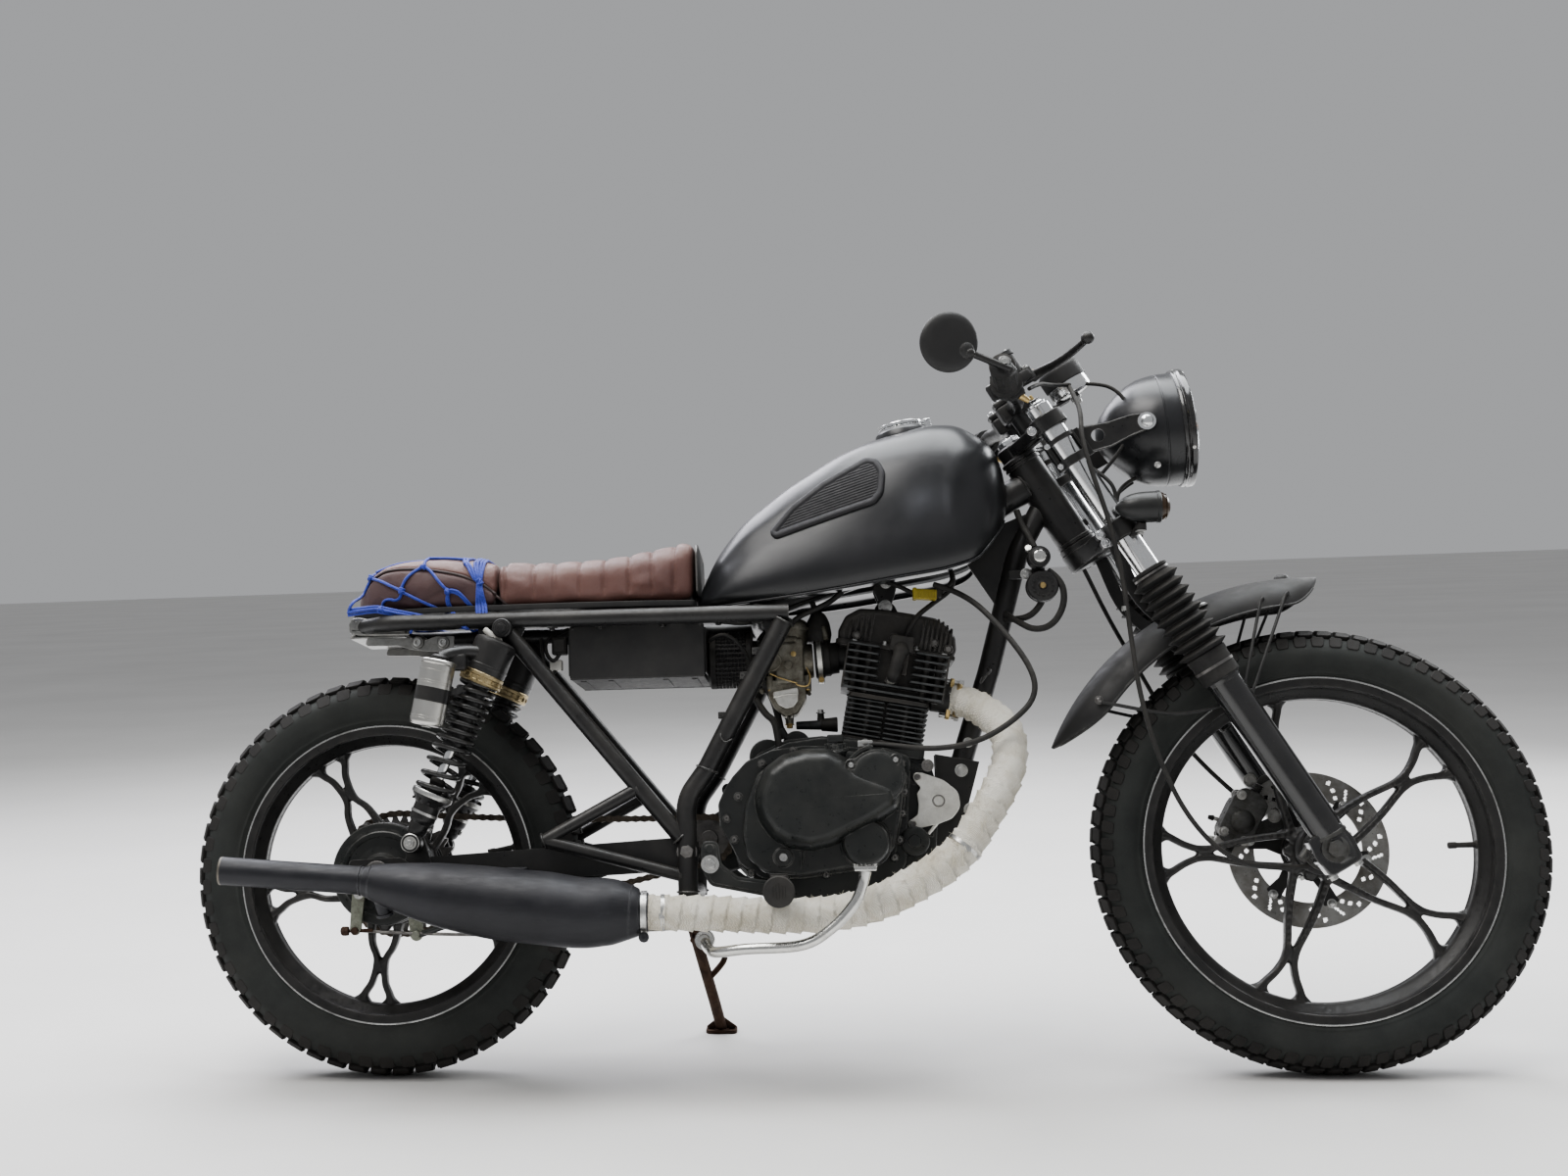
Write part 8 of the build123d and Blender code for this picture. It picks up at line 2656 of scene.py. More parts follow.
# ------------------------------------------------------------ cords
cords("speedometer_cable_and_hose", [
    [(1292, -60, 285), (1236, -78, 282), (1176, -100, 300), (1126, -118, 356), (1094, -126, 430), (1072, -130, 520),
     (1064, -131, 610), (1058, -130, 690), (1044, -132, 764), (1024, -131, 834), (1014, -121, 886), (1018, -98, 926),
     (1014, -68, 956), (1009, -50, 974)],
    [(1228, 66, 388), (1184, 94, 436), (1148, 124, 500), (1110, 131, 580), (1070, 133, 660), (1036, 131, 742),
     (1000, 129, 818), (970, 128, 880), (946, 116, 944), (930, 74, 984), (924, 14, 1000), (926, -56, 998),
     (934, -116, 988), (926, -160, 978)]], 3.3, RUBBER, "steering", "front_cables")
cords("bar_cables", [
    [stv(30, -190, 738), (958, -150, 958), (978, -90, 968), (1004, -50, 976), (1040, -38, 980), (1074, -40, 972),
     (1094, -44, 940), (1092, -48, 906), (1074, -46, 872), (1046, -40, 842)],
    [stv(28, 190, 738), (960, 150, 960), (990, 92, 952), (1010, 60, 920), (1010, 48, 880), (1022, 40, 850)],
    [(1100, -16, 842), (1078, -36, 830), (1066, -46, 806), (1066, -58, 784)],
    [(1100, 16, 842), (1078, 36, 830), (1066, 46, 806), (1066, 58, 784)],
    [(1036, -30, 858), (1058, -52, 836), (1066, -60, 812), (1062, -64, 790), (1060, -72, 770)]],
    2.8, RUBBER, "steering")
# clips that hold the cables to the fork
cl = Shape()
for p_, a_, b_ in (((1044, -128, 764), -92, 560), ((1060, -128, 640), -92, 430)):
    p_ = np.array(p_, float)
    cl.lathe([(3.8, -3), (5.4, -3), (5.4, 3), (3.8, 3)], p_, (0.1, 0, 1), 24, 0, closed=True)
piece("cable_clips", cl, [STEEL], "steering")

# ------------------------------------------ lock and horn, on the frame
hn = Shape()
hn.lathe([(0, 19), (10, 19), (12, 17.5), (12.6, 15), (15, 14.5), (15.4, 12), (15.4, -15), (13, -17), (0, -17)],
         (954, -60, 725), (0, -1, 0), 40, 0)
hn.lathe([(0, 21.5), (6.5, 21.3), (8.6, 20), (9, 18.4)], (954, -60, 725), (0, -1, 0), 32, 1)
hn.lathe([(0, 20.6), (5, 20.6), (6, 18), (9, 16.8), (18, 18.4), (20.6, 18), (22, 16), (22.4, 10), (21, 4), (22.4, 2),
          (22.4, -3), (19, -10), (12, -19), (0, -20)], (957, -52, 684), (0, -1, 0), 56, 0)
hn.lathe([(0, 22.4), (3.6, 22.0), (4.6, 20.4)], (957, -52, 684), (0, -1, 0), 24, 3)
for k in range(12):
    a = 2 * pi * k / 12
    c_ = np.array((957 + 14 * cos(a), -70.0, 684 + 14 * sin(a)))
    hn.rod(c_, c_ + (0, -1.6, 0), 1.7, n=10, b=0.4)
hn.box((955, -36, 705), (18, 10, 66), 0, 2.5)
hn.box((936, -28, 706), (44, 8, 13), 0, 2.0)
hn.bolt((938, -32, 706), (0, -1, 0), 5.6, 4, 2, "hex", True)
hn.lathe([(0, 5), (4.4, 5), (5.2, 3.6), (5.2, 0)], (941, -56, 738), (-0.2, -1, 0.5), 24, 1)
hn.rod((966, -58, 700), (975, -60, 694), 5.6, 5.0, 18, mat=2, b=1)
piece("lock_and_horn", hn, [PLASTIC, POLISH, STEEL, BRASS], "frame", "ignition_lock", angle=34)
cords("horn_wires", [
    [(966, -60, 706), (984, -66, 692), (987, -66, 658), (970, -62, 628), (944, -52, 622), (922, -36, 638),
     (908, -14, 652)],
    [(950, -48, 742), (944, -40, 760), (936, -30, 776), (930, -24, 800)],
    [(957, -44, 664), (948, -42, 648), (925, -30, 640), (904, -10, 645)]], 4.6, RUBBER, "frame")
# ------------------------------------------------------ brake caliper
cu_ = np.array((cos(radians(152)), 0, sin(radians(152))))
cw_ = np.array((cu_[2] * -1.0, 0, cu_[0]))
CC = np.array((WHEELBASE, 0, ZF)) + cu_ * 98
CR = np.column_stack([cu_, YV, cw_])
cq = lambda u, w, y=0.0: CC + cu_ * u + cw_ * w + YV * y


def cal_poly(pts, r):
    q = rounded([(a, b) for a, b in pts], r, 5)
    return np.array([(cq(a, b)[0], cq(a, b)[2]) for a, b in q])


cb = Shape()
inner_o = cal_poly([(-22, -30), (-6, -42), (20, -40), (27, -22), (27, 24), (18, 42), (-8, 42), (-22, 26)],
                   [8, 10, 9, 10, 10, 9, 10, 8])
cb.slab(inner_o, 33, 46.2, 0, 2.4)
outer_o = cal_poly([(-20, -20), (-2, -27), (22, -26), (27, -14), (27, 26), (18, 42), (-8, 42), (-20, 28)],
                   [7, 8, 8, 8, 10, 9, 10, 8])
cb.slab(outer_o, 62, 75.5, 0, 2.4)
cb.slab(cal_poly([(21, -26), (27, -20), (27, 26), (21, 34), (17.5, 34), (17.5, -26)], [3, 3, 3, 3, 2, 2]), 40, 70, 0, 2.0)
for w in (-14, 4, 22):
    cb.box(cq(26.2, w, 54), (3.6, 26, 5.0), 0, 1.4, CR)
# piston housing, ribs, cover bolts on both faces
cb.lathe([(0, 5.0), (9, 5.0), (11, 3.8), (14.5, 3.2), (17, 1.0), (17.4, -2)], cq(1, 6, 33.4), -YV, 40, 0)
cb.lathe([(0, 4.6), (7, 4.6), (8.4, 3.2), (15, 2.8), (17, 0.8), (17.4, -2)], cq(1, 8, 75.0), YV, 40, 0)
for a, b in ((18, -28), (18, 30), (-12, 30)):
    cb.bolt(cq(a, b, 33.4), -YV, 4.8, 4.6, 1, "cap", True)
for a, b in ((18, -18), (17, 32), (-12, 28)):
    cb.bolt(cq(a, b, 75.2), YV, 4.8, 4.6, 1, "cap", True)
for b in (-20, -8, 16, 28):
    cb.box(cq(9, b, 33.2), (24, 2.6, 2.2), 0, 0.7, CR)
# brake pads with their backing plates and the pin
for y0_, y1_ in ((46.0, 46.7), (61.3, 62.2)):
    cb.slab(cal_poly([(-19, -26), (12, -26), (12, 32), (-19, 32)], [3, 3, 3, 3]), y0_, y1_, 2, 0.3)
cb.rod(cq(20, 4, 34), cq(20, 4, 74), 2.6, n=14, mat=1, b=0.6)
# carrier arms to the leg, with bolts, and the sliding pin's rubber boots
for (p, t_) in (((1244.0, 372.0), 110), ((1222.0, 322.0), 50)):
    e_ = stv(FO, 84, t_)
    hull_ = hull2(np.vstack([circ(p[0], p[1], 13), circ(e_[0], e_[2], 10)]))
    cb.slab(hull_, 62.5, 70, 3, 2.0)
    cb.lathe([(0, 0), (9.6, 0), (10.2, 0.8), (10.2, 2.4), (0, 2.6)], (p[0], 62.6, p[1]), -YV, 32, 1)
    cb.bolt((e_[0] - 22, 62.6, e_[2] + 2), -YV, 6.6, 4.2, 1, "hex", True)
br_o = hull2(np.vstack([circ(1244, 372, 9), circ(1222, 322, 9)]))
cb.slab(br_o, 63, 69.4, 3, 1.6)
for w_, l_ in ((40, 15), (-40, 12)):
    prof = [(4.6, 0)]
    for k in range(4):
        prof += [(6.0, 1.0 + k * 3.2), (7.4, 2.2 + k * 3.2), (6.0, 3.4 + k * 3.2)]
    prof += [(4.4, l_)]
    cb.lathe(prof, cq(2, w_, 40), cw_ * (1 if w_ > 0 else -1), 28, 4)
# bright lower block, hose union, bleed nipple with its cap
cb.box(cq(15, 46, 46), (20, 17, 15), 1, 3.0, CR)
cb.rod(cq(24, 46, 46), cq(33, 48, 46), 5.2, 4.6, 20, mat=1, b=1)
cb.lathe([(4.8, 0), (7.6, 0.4), (8.2, 2), (8.2, 7), (7.6, 8.6), (4.8, 9)], (1228, 61.5, 388), YV, 32, 1)
cb.bolt((1228, 61.6, 388), -YV, 6.6, 5.2, 1, "hex", False)
cb.rod((1228, 66, 388), cq(20, -14, 60), 5.4, 6.4, 20, mat=0, b=1)
cb.rod(cq(24, 14, 69), cq(35, 16, 70), 3.6, 3.0, 16, mat=1, b=0.8)
cb.rod(cq(33, 15.6, 70), cq(41, 17.4, 70.6), 4.4, 3.2, 16, mat=4, b=1.2)
piece("caliper_castings", cb, [CASTD, ALLOY, DARKST, CASTD, RUBBER], "steering", "brake_caliper", angle=34)
# ------------------------------------------------- shocks and springs
SLO, SHI, SY = np.array((57.0, 0, 336.0)), np.array((192.0, 0, 640.0)), 128.0
SDV = unit(SHI - SLO)
SLEN = float(np.linalg.norm(SHI - SLO))
on_sh = lambda y, t: SLO + SDV * t + np.array((0, y, 0))
SR = np.column_stack([np.cross(YV, SDV), YV, SDV])
shk, spg = Shape(), Shape()
for sg in (-1, 1):
    y = sg * SY
    # lower eye with its bush, clevis neck
    shk.lathe([(8, -11), (13.6, -11), (15, -9.6), (15, 9.6), (13.6, 11), (8, 11)], on_sh(y, 0), YV, 40, 0, closed=True)
    shk.lathe([(0, -12.4), (7.4, -12.4), (8, -12), (8, 12), (7.4, 12.4), (0, 12.4)], on_sh(y, 0), YV, 32, 1)
    shk.lathe([(0, 0), (12.5, 0), (13.4, 0.8), (13.4, 2.2), (12.6, 2.8), (0, 2.8)], on_sh(y + sg * 12.2, 0), (0, sg, 0), 40, 6)
    shk.lathe([(9.4, 2.4), (12.2, 2.4), (12.0, 3.1), (9.6, 3.1)], on_sh(y + sg * 12.2, 0), (0, sg, 0), 40, 0, closed=True)
    shk.bolt(on_sh(y + sg * 15.0, 0), (0, sg, 0), 7.0, 6.4, 2, "hex", False)
    shk.rod(on_sh(y + sg * 20, 0), on_sh(y + sg * 24, 0), 4.4, 4.0, 18, mat=2, b=0.8)
    shk.box(on_sh(y, 17), (20, 17, 16), 0, 3.5, SR)
    shk.lathe([(9, 12), (13, 16), (14.5, 22), (14.5, 30), (17.6, 34), (19, 38), (19, 58), (22, 62), (27, 68), (28.6, 70),
               (28.6, 72.4), (24, 73)], on_sh(y, 0), SDV, 56, 0)
    shk.lathe([(24, 70.4), (29.6, 70.6), (30.2, 72.4), (30.2, 76.4), (29.2, 78), (20, 78)], on_sh(y, 0), SDV, 56, 1)
    shk.lathe([(19.2, 44), (20.2, 44), (20.2, 48), (19.2, 48)], on_sh(y, 0), SDV, 48, 1, closed=True)
    shk.bolt(on_sh(y - 0, 27) + SR[:, 0] * 14.5, SR[:, 0], 4.6, 4.0, 2, "dome", False)
    for k in range(9):
        a = 2 * pi * k / 9
        e_ = SR[:, 0] * cos(a) + YV * sin(a)
        shk.rod(on_sh(y, 62) + e_ * 22.6, on_sh(y, 62) + e_ * 25.4, 2.0, n=10, b=0.4)
    # chrome rod, bump stop, damper body
    shk.lathe([(0, 74), (7, 74), (7, 150), (0, 150)], on_sh(y, 0), SDV, 36, 3)
    shk.lathe([(7.2, 78), (11.5, 79), (12.4, 84), (10.6, 89), (12, 94), (9.6, 99), (7.2, 100)], on_sh(y, 0), SDV, 36, 4)
    shk.lathe([(7.2, 146), (14, 147), (16.4, 150), (16.4, 248), (7.2, 248)], on_sh(y, 0), SDV, 44, 0)
    # adjusting rings: gold collar with notches under the black shroud
    shk.lathe([(16.5, 246), (29.8, 246), (31.2, 247.6), (31.2, 250.4), (30.2, 251.4), (30.2, 256.6), (31.4, 257.8),
               (31.4, 262), (30, 263.6), (16.5, 263.6)], on_sh(y, 0), SDV, 64, 5)
    for k in range(16):
        a = 2 * pi * k / 16
        e_ = SR[:, 0] * cos(a) + YV * sin(a)
        shk.box(on_sh(y, 254) + e_ * 30.4, (3.2, 3.2, 5.0), 5, 0.6, SR)
    shk.lathe([(20, 263), (30.4, 263.4), (31, 266), (31, 306), (29.4, 311.5), (24, 314), (16, 315.5), (10, 316), (0, 316)],
              on_sh(y, 0), SDV, 64, 0)
    shk.lathe([(31.0, 270), (31.6, 271), (31.6, 274), (31.0, 275)], on_sh(y, 0), SDV, 64, 0, closed=True)
    # upper eye and bolt
    shk.lathe([(7.6, -11), (12.6, -11), (14, -9.6), (14, 9.6), (12.6, 11), (7.6, 11)], on_sh(y, SLEN), YV, 40, 0,
              closed=True)
    shk.rod(on_sh(y - sg * 16, SLEN), on_sh(y + sg * 13, SLEN), 7, n=24, mat=2, b=1)
    shk.bolt(on_sh(y + sg * 12.4, SLEN), (0, sg, 0), 7.0, 4.0, 0, "hex", True)
    # piggyback pot: silver ends, plain dark band, link to the head
    pt_, pb_ = np.array((108.0, sg * 176, 592)), np.array((88.0, sg * 176, 500))
    pd = unit(pt_ - pb_)
    pl_ = float(np.linalg.norm(pt_ - pb_))
    shk.lathe([(0, 0), (19, 0), (22.6, 1), (24.4, 3.4), (24.6, 6), (24.6, 34), (24.0, 34.6), (24.0, 36)], pb_, pd, 64, 6)
    shk.lathe([(24.0, 34.5), (24.8, 35), (24.8, 54), (24.0, 54.6)], pb_, pd, 64, 0)
    shk.lathe([(24.0, 53), (24.6, 54.6), (24.6, pl_ - 8), (24.2, pl_ - 6.6), (25.4, pl_ - 5), (25.4, pl_ - 1.6),
               (24, pl_), (12, pl_ + 1), (0, pl_ + 1)], pb_, pd, 64, 6)
    for h_ in (9, 12.4, 60, 63.4, 79):
        shk.lathe([(24.4, h_ - 0.7), (25.1, h_ - 0.4), (25.1, h_ + 0.4), (24.4, h_ + 0.7)], pb_, pd, 64, 6, closed=True)
    shk.lathe([(0, 0.6), (4, 0.6), (5, -0.6), (5, -1.6), (8, -2.0), (0, -2.0)], pb_, pd, 24, 1)
    shk.lathe([(0, 8), (9, 7.6), (12.5, 5), (13, 0)], pt_ + pd * 0.5, pd, 36, 0)
    shk.tube(catmull([pt_ + pd * 3, pt_ + np.array((14, -sg * 10, 10)), np.array((146.0, sg * 152, 606)),
                      on_sh(y + sg * 16, 292)], 6), 8.6, 20, 0)
    shk.box(np.array((128.0, sg * 160, 590)), (34, 18, 24), 0, 5)
    shk.tube(catmull([pb_ + pd * 52 + (16, 0, 0), np.array((126.0, sg * 160, 548)), on_sh(y + sg * 10, 246)], 5), 1,
             section=rounded([(-5, -1.4), (5, -1.4), (5, 1.4), (-5, 1.4)], 1.0, 2), up=SDV)

    # progressive spring: open turns below, close ones above
    tt, aa, t_, a_ = [], [], 79.0, 0.0
    while t_ < 247:
        tt.append(t_)
        aa.append(a_)
        pit = np.interp(t_, [79, 84, 92, 138, 152, 240, 247], [5.5, 12, 21, 21, 12.6, 12.2, 6.5])
        a_ += 2 * pi / 26
        t_ += pit / 26
    tt, aa = np.array(tt), np.array(aa)
    rr_ = np.interp(tt, [79, 150, 247], [25.6, 25.4, 25.2])
    hx = (SLO + np.outer(tt, SDV) + np.array((0, y, 0)) + np.outer(rr_ * np.cos(aa), SR[:, 0]) + np.outer(rr_ * np.sin(aa), YV))
    spg.tube(hx, 3.7, 12, 0)
GOLDR = metal_mat("dull gold ring", (0.50, 0.42, 0.27), (0.34, 0.27, 0.15), 0.42, 0.1, grime=0.35,
                  grime_c=(0.10, 0.07, 0.035), scale=50, bump=0.15)
piece("shock_bodies", shk, [SHOCKB, STEEL, STEEL, CHROME, RUBBER, GOLDR, RESERV], "frame", "shock_absorbers",
      angle=34)
piece("shock_coils", spg, [SPRINGM], "frame", "shock_springs", angle=180, weighted=False)

# ------------------------------------------------------------- chain
FSC, RSC = np.array((470.0, 338.0)), np.array((0.0, ZR))
RF, RR = 33.0, 91.0
dvec = RSC - FSC
D_ = float(np.hypot(*dvec))
base = atan2(dvec[1], dvec[0])
off = np.arccos((RF - RR) / D_)
a1, a2 = base + off, base - off
tf1 = FSC + RF * np.array((cos(a1), sin(a1)))
tr1 = RSC + RR * np.array((cos(a1), sin(a1)))
tf2 = FSC + RF * np.array((cos(a2), sin(a2)))
tr2 = RSC + RR * np.array((cos(a2), sin(a2)))
sag = lambda n, d: [(1 - t) * 0 + d * 4 * t * (1 - t) for t in np.linspace(0, 1, n)]
run1 = [tf1 + (tr1 - tf1) * t - np.array((0, s)) for t, s in zip(np.linspace(0, 1, 60), sag(60, 2.0))]
arc_r = [RSC + RR * np.array((cos(a), sin(a))) for a in np.linspace(a1, a2 + 2 * pi if a2 < a1 else a2, 60)][1:-1]
if np.hypot(*(arc_r[len(arc_r) // 2] - FSC)) < D_:
    arc_r = [RSC + RR * np.array((cos(a), sin(a))) for a in np.linspace(a1, a2, 60)][1:-1]
run2 = [tr2 + (tf2 - tr2) * t - np.array((0, s)) for t, s in zip(np.linspace(0, 1, 60), sag(60, 6.0))]
arc_f = [FSC + RF * np.array((cos(a), sin(a))) for a in np.linspace(a2, a1, 40)][1:-1]
if np.hypot(*(arc_f[len(arc_f) // 2] - RSC)) < D_:
    arc_f = [FSC + RF * np.array((cos(a), sin(a))) for a in np.linspace(a2, a1 - 2 * pi if a1 > a2 else a1 + 2 * pi, 40)][1:-1]
path = np.array(run1 + arc_r + run2 + arc_f + [run1[0]])
ls = np.r_[0, np.cumsum(np.hypot(*np.diff(path, axis=0).T))]
NL = int(round(ls[-1] / 12.9 / 2)) * 2
pin = np.array([[np.interp(ls[-1] * k / NL, ls, path[:, j]) for j in (0, 1)] for k in range(NL)])
ch = Shape()
for k in range(NL):
    p, q = pin[k], pin[(k + 1) % NL]
    d = (q - p) / np.hypot(*(q - p))
    n = np.array((-d[1], d[0]))
    L_ = np.hypot(*(q - p))
    out_l = []
    for ang in np.linspace(pi / 2, 3 * pi / 2, 7):
        out_l.append(p + 5.2 * (d * cos(ang) + n * sin(ang)))
    out_l.append(p + d * L_ / 2 - n * 3.6)
    for ang in np.linspace(-pi / 2, pi / 2, 7):
        out_l.append(q + 5.2 * (d * cos(ang) + n * sin(ang)))
    out_l.append(p + d * L_ / 2 + n * 3.6)
    out_l = np.array(out_l)
    yy = (5.7, 4.2) if k % 2 else (3.9, 2.4)
    for s_ in (-1, 1):
        ra = [(x, 66 + s_ * yy[1], z) for x, z in out_l]
        rb = [(x, 66 + s_ * yy[0], z) for x, z in out_l]
        ch.rings([ra, rb], 0)
    ch.rod((p[0], 60.0, p[1]), (p[0], 72.0, p[1]), 2.0, n=8, b=0.3)
    ch.rod((p[0], 63.6, p[1]), (p[0], 68.4, p[1]), 4.1, n=10, b=0.3)
piece("chain_links", ch, [CHAINM], "frame", "chain", angle=34)
ft = Shape()
teeth = []
for k in range(15):
    for da, r_ in ((-0.11, 30), (-0.045, 36.5), (0.045, 36.5), (0.11, 30)):
        a = 2 * pi * k / 15 + da
        teeth.append((FSC[0] + r_ * cos(a), FSC[1] + r_ * sin(a)))
ft.slab(np.array(teeth), 63.6, 68.4, 0, 0.8)
ft.rod((470, 58, 338), (470, 78, 338), 13, n=32, b=1.5)
ft.bolt((470, 78, 338), (0, 1, 0), 11, 6, 0, "hex", True)
piece("front_sprocket", ft, [DARKST], "frame")

# ------------------------------------------------- swingarm and frame
sw = Shape()
for sg in (-1, 1):
    y = sg * 86
    # axle slot plate, adjuster screw with its nut, axle nut and washer
    ap = rounded([(-42, ZR - 20), (-42, ZR + 20), (34, ZR + 23), (48, ZR + 14), (48, ZR - 14), (34, ZR - 23)], 7)
    sw.slab(ap, sg * 96.6, sg * 100.5, 0, 1.0)
    sw.lathe([(0, 0), (17, 0), (18.4, 1), (18.4, 3), (17, 3.8), (0, 3.8)], (0, sg * 100.4, ZR), (0, sg, 0), 44, 1)
    sw.bolt((0, sg * 104, ZR), (0, sg, 0), 12.5, 10, 3, "hex", False)
    sw.rod((0, sg * 113, ZR), (0, sg * 119, ZR), 7.0, 6.6, 24, mat=3, b=0.8)
    sw.rod((-58, y, ZR), (-8, y, ZR), 4.0, n=18, mat=1, b=0.8)
    sw.bolt((-50, y, ZR), (-1, 0, 0), 6.6, 5, 2, "hex", True)
    sw.bolt((-44, y, ZR), (-1, 0, 0), 6.6, 4, 1, "hex", False)
    for k in range(5):
        sw.box((-22 + k * 9, sg * 101, ZR - 13), (1.2, 1.2, 5), 1, 0.3)
    # shock clevis pin's washers, weld beads
    for (o, d, r) in (((384, sg * 74, 320), (0, 1, 0), 15), ):
        pt, rd = weld(o, d, r, 1.6)
        sw.tube(pt, np.array(rd), 6, closed=True)
    sw.lathe([(11.5, 0), (16, 0.6), (16.6, 2), (16.6, 6), (14, 7), (11.5, 7)], (448, sg * 97, 318), (0, sg, 0), 40, 0)
    sw.bolt((448, sg * 118, 318), (0, sg, 0), 10, 7, 1, "hex", True)
piece("swingarm_fittings", sw, [BLACK, DARKST, RUST, DARKST], "frame", angle=34)

fm_ = Shape()
for sg in (-1, 1):
    y = sg * 112
    for (o, d, r) in (((592, y, 640), (-0.48, 0, -0.88), 14.6), ((479, y, 433), (0.35, 0, 0.93), 14.8),
                      ((192, y, 643), (0.63, 0, -0.77), 13.0), ((440, y, 338), (-0.63, 0, 0.77), 13.4),
                      ((246, y * 1.12, 336), (0.9, 0, 0.3), 10.6), ((440, y, 285), (-0.97, 0, 0.2), 10.2),
                      ((380, y, 408), (-0.9, 0, -0.4), 10.6), ((448, y, 262), (0, 0, 1), 14.8)):
        pt, rd = weld(o, d, r, 1.7)
        fm_.tube(pt, np.array(rd), 6, closed=True)
    # small tabs with holes down the front side tube, wire loops
    for x, z in ((516, 500), (548, 556), (566, 590)):
        fm_.box((x - 12, sg * 118, z + 8), (14, 4, 10), 0, 1.2)
        fm_.rod((x - 16, sg * 115, z + 8), (x - 16, sg * 122, z + 8), 3.0, n=14, mat=0, b=0.6)
    fm_.tube(catmull([(516, sg * 122, 474), (506, sg * 127, 470), (500, sg * 126, 478), (504, sg * 122, 486),
                      (514, sg * 122, 488)], 6), 1.3, 8, 0)
    # brackets at the top of the rear stay, bolts along the rail
    br_ = rounded([(150, 648), (226, 650), (216, 628), (200, 618), (176, 618), (158, 630)], 6)
    fm_.slab(br_, sg * 106, sg * 110, 0, 1.0)
    for x in (260, 330, 420, 500):
        fm_.bolt((x, sg * 98, 643), (0, 0, -1), 4.2, 3.0, 0, "hex", True)
        fm_.box((x, sg * 101, 644), (16, 20, 3), 0, 1.0)
    gs = rounded([(560, 640), (608, 646), (598, 622), (578, 602)], 5)
    fm_.slab(gs, sg * 104, sg * 108, 0, 0.8)
    # engine mounts on the front plates
    for x, z in ((836, 428), (812, 400), (846, 372), (782, 290)):
        fm_.rod((x, sg * 11, z), (x, sg * 20, z), 8.2, 8.2, 24, b=1)
        fm_.bolt((x, sg * 19.6, z), (0, sg, 0), 6.4, 5, 1, "hex", True)
# steering head: cups, lock stop, badge-free face, cable guide loop
for t_ in (541, 676):
    fm_.lathe([(26.0, t_ - 3), (27.6, t_ - 2), (27.6, t_ + 2), (26.0, t_ + 3)], stv(0, 0, 0), AXv, 56, 0, closed=True)
fm_.box(stv(22, 0, 556), (16, 16, 10), 0, 2, STR)
for (o, d, r) in ((stv(-18, 0, 645), unit(np.array(st(0, 0, 645)) - np.array((800, 0, 752))), 23.5),
                  (stv(-12, 0, 600), unit(np.array((930.0, 0, 740)) - np.array((882.0, 0, 570))), 17.0)):
    pt, rd = weld(o, d, r, 1.8)
    fm_.tube(pt, np.array(rd), 6, closed=True)
fm_.tube(catmull([(872, -16, 560), (868, -34, 552), (874, -44, 560), (882, -34, 568), (880, -16, 574)], 6), 2.0, 8, 0)
for t_, y_ in ((0.25, -17), (0.62, -17)):
    p_ = np.array((882.0, 0, 570)) + (np.array((826.0, 0, 405)) - np.array((882.0, 0, 570))) * t_
    fm_.bolt(p_ + (0, y_, 0), (0, -1, 0), 5.0, 4.0, 1, "hex", True)
piece("frame_welds_and_tabs", fm_, [BLACK, STEEL], "frame", angle=34)

# battery tray: folded sheet with a lip, screws and edge trim
bt = Shape()
for sg in (-1, 1):
    y1_ = sg * 90
    pn = rounded([(283.5, 567.5), (478.5, 567.5), (478.5, 644.5), (283.5, 644.5)], 4)
    bt.slab(pn, sg * 84, y1_, 0, 1.6)
    bt.box((381, y1_ - sg * 0.6, 567.6), (193, 2.4, 2.2), 0, 0.9)
    for x, z in ((289, 641), (473, 641)):
        bt.bolt((x, y1_ - sg * 1.2, z), (0, sg, 0), 2.6, 2.0, 0, "dome", False)
bt.box((381, 0, 606), (190, 172, 73), 2, 3.0)
bt.box((381, 0, 568.6), (193, 172, 3.0), 2, 1.0)
for x in (300, 340, 420, 462):
    bt.box((x, 0, 566.8), (8, 120, 1.6), 2, 0.6)
for x in (281.5, 480.5):
    sgx = -1 if x < 300 else 1
    bt.box((x - sgx * 1.4, 0, 606), (3.0, 166, 66), 0, 0.8)
# wires and a relay at the rear end
bt.box((268, -74, 618), (22, 20, 26), 2, 2.5)
bt.box((268, -86, 618), (16, 4, 18), 2, 1.2)
bt.box((262, -70, 590), (18, 14, 16), 3, 2.0)
piece("battery_tray", bt, [PLASTIC, DARKST, RUBBER, WHITE], "frame", "battery_box", angle=34)
cords("loom", [
    [(268, -80, 606), (262, -84, 594), (252, -80, 600), (246, -76, 616), (250, -70, 632), (280, -60, 644)],
    [(262, -72, 584), (254, -84, 572), (246, -86, 584), (244, -80, 602), (240, -70, 630)],
    [(484, -60, 620), (500, -76, 630), (520, -84, 622), (534, -80, 604), (540, -64, 590), (556, -40, 580)],
    [(470, -96, 650), (500, -94, 644), (540, -84, 640), (570, -60, 652), (620, -30, 676), (700, -26, 700)]],
    2.8, RUBBER, "frame")
cords("rear_brake_rod_and_cable", [
    [(470, -108, 214), (380, -98, 208), (240, -84, 206), (100, -76, 204), (-34, -72, 212)]],
    2.4, DARKST, "frame")

# ------------------------------------------- rear brake plate and arm
rb = Shape()
rb.lathe([(8, 54.6), (50, 54.6), (70, 55), (73.5, 56), (74, 58), (74, 66), (72.5, 67.4), (66, 68), (62, 66.6), (40, 65.8),
          (30, 68), (27, 73), (25, 76.5), (14, 77), (8.4, 77)], (0, 0, ZR), (0, -1, 0), 80, 0, closed=True)
rb.lathe([(52, 66.0), (55, 67.6), (60, 67.8), (62, 66.4)], (0, 0, ZR), (0, -1, 0), 80, 0)
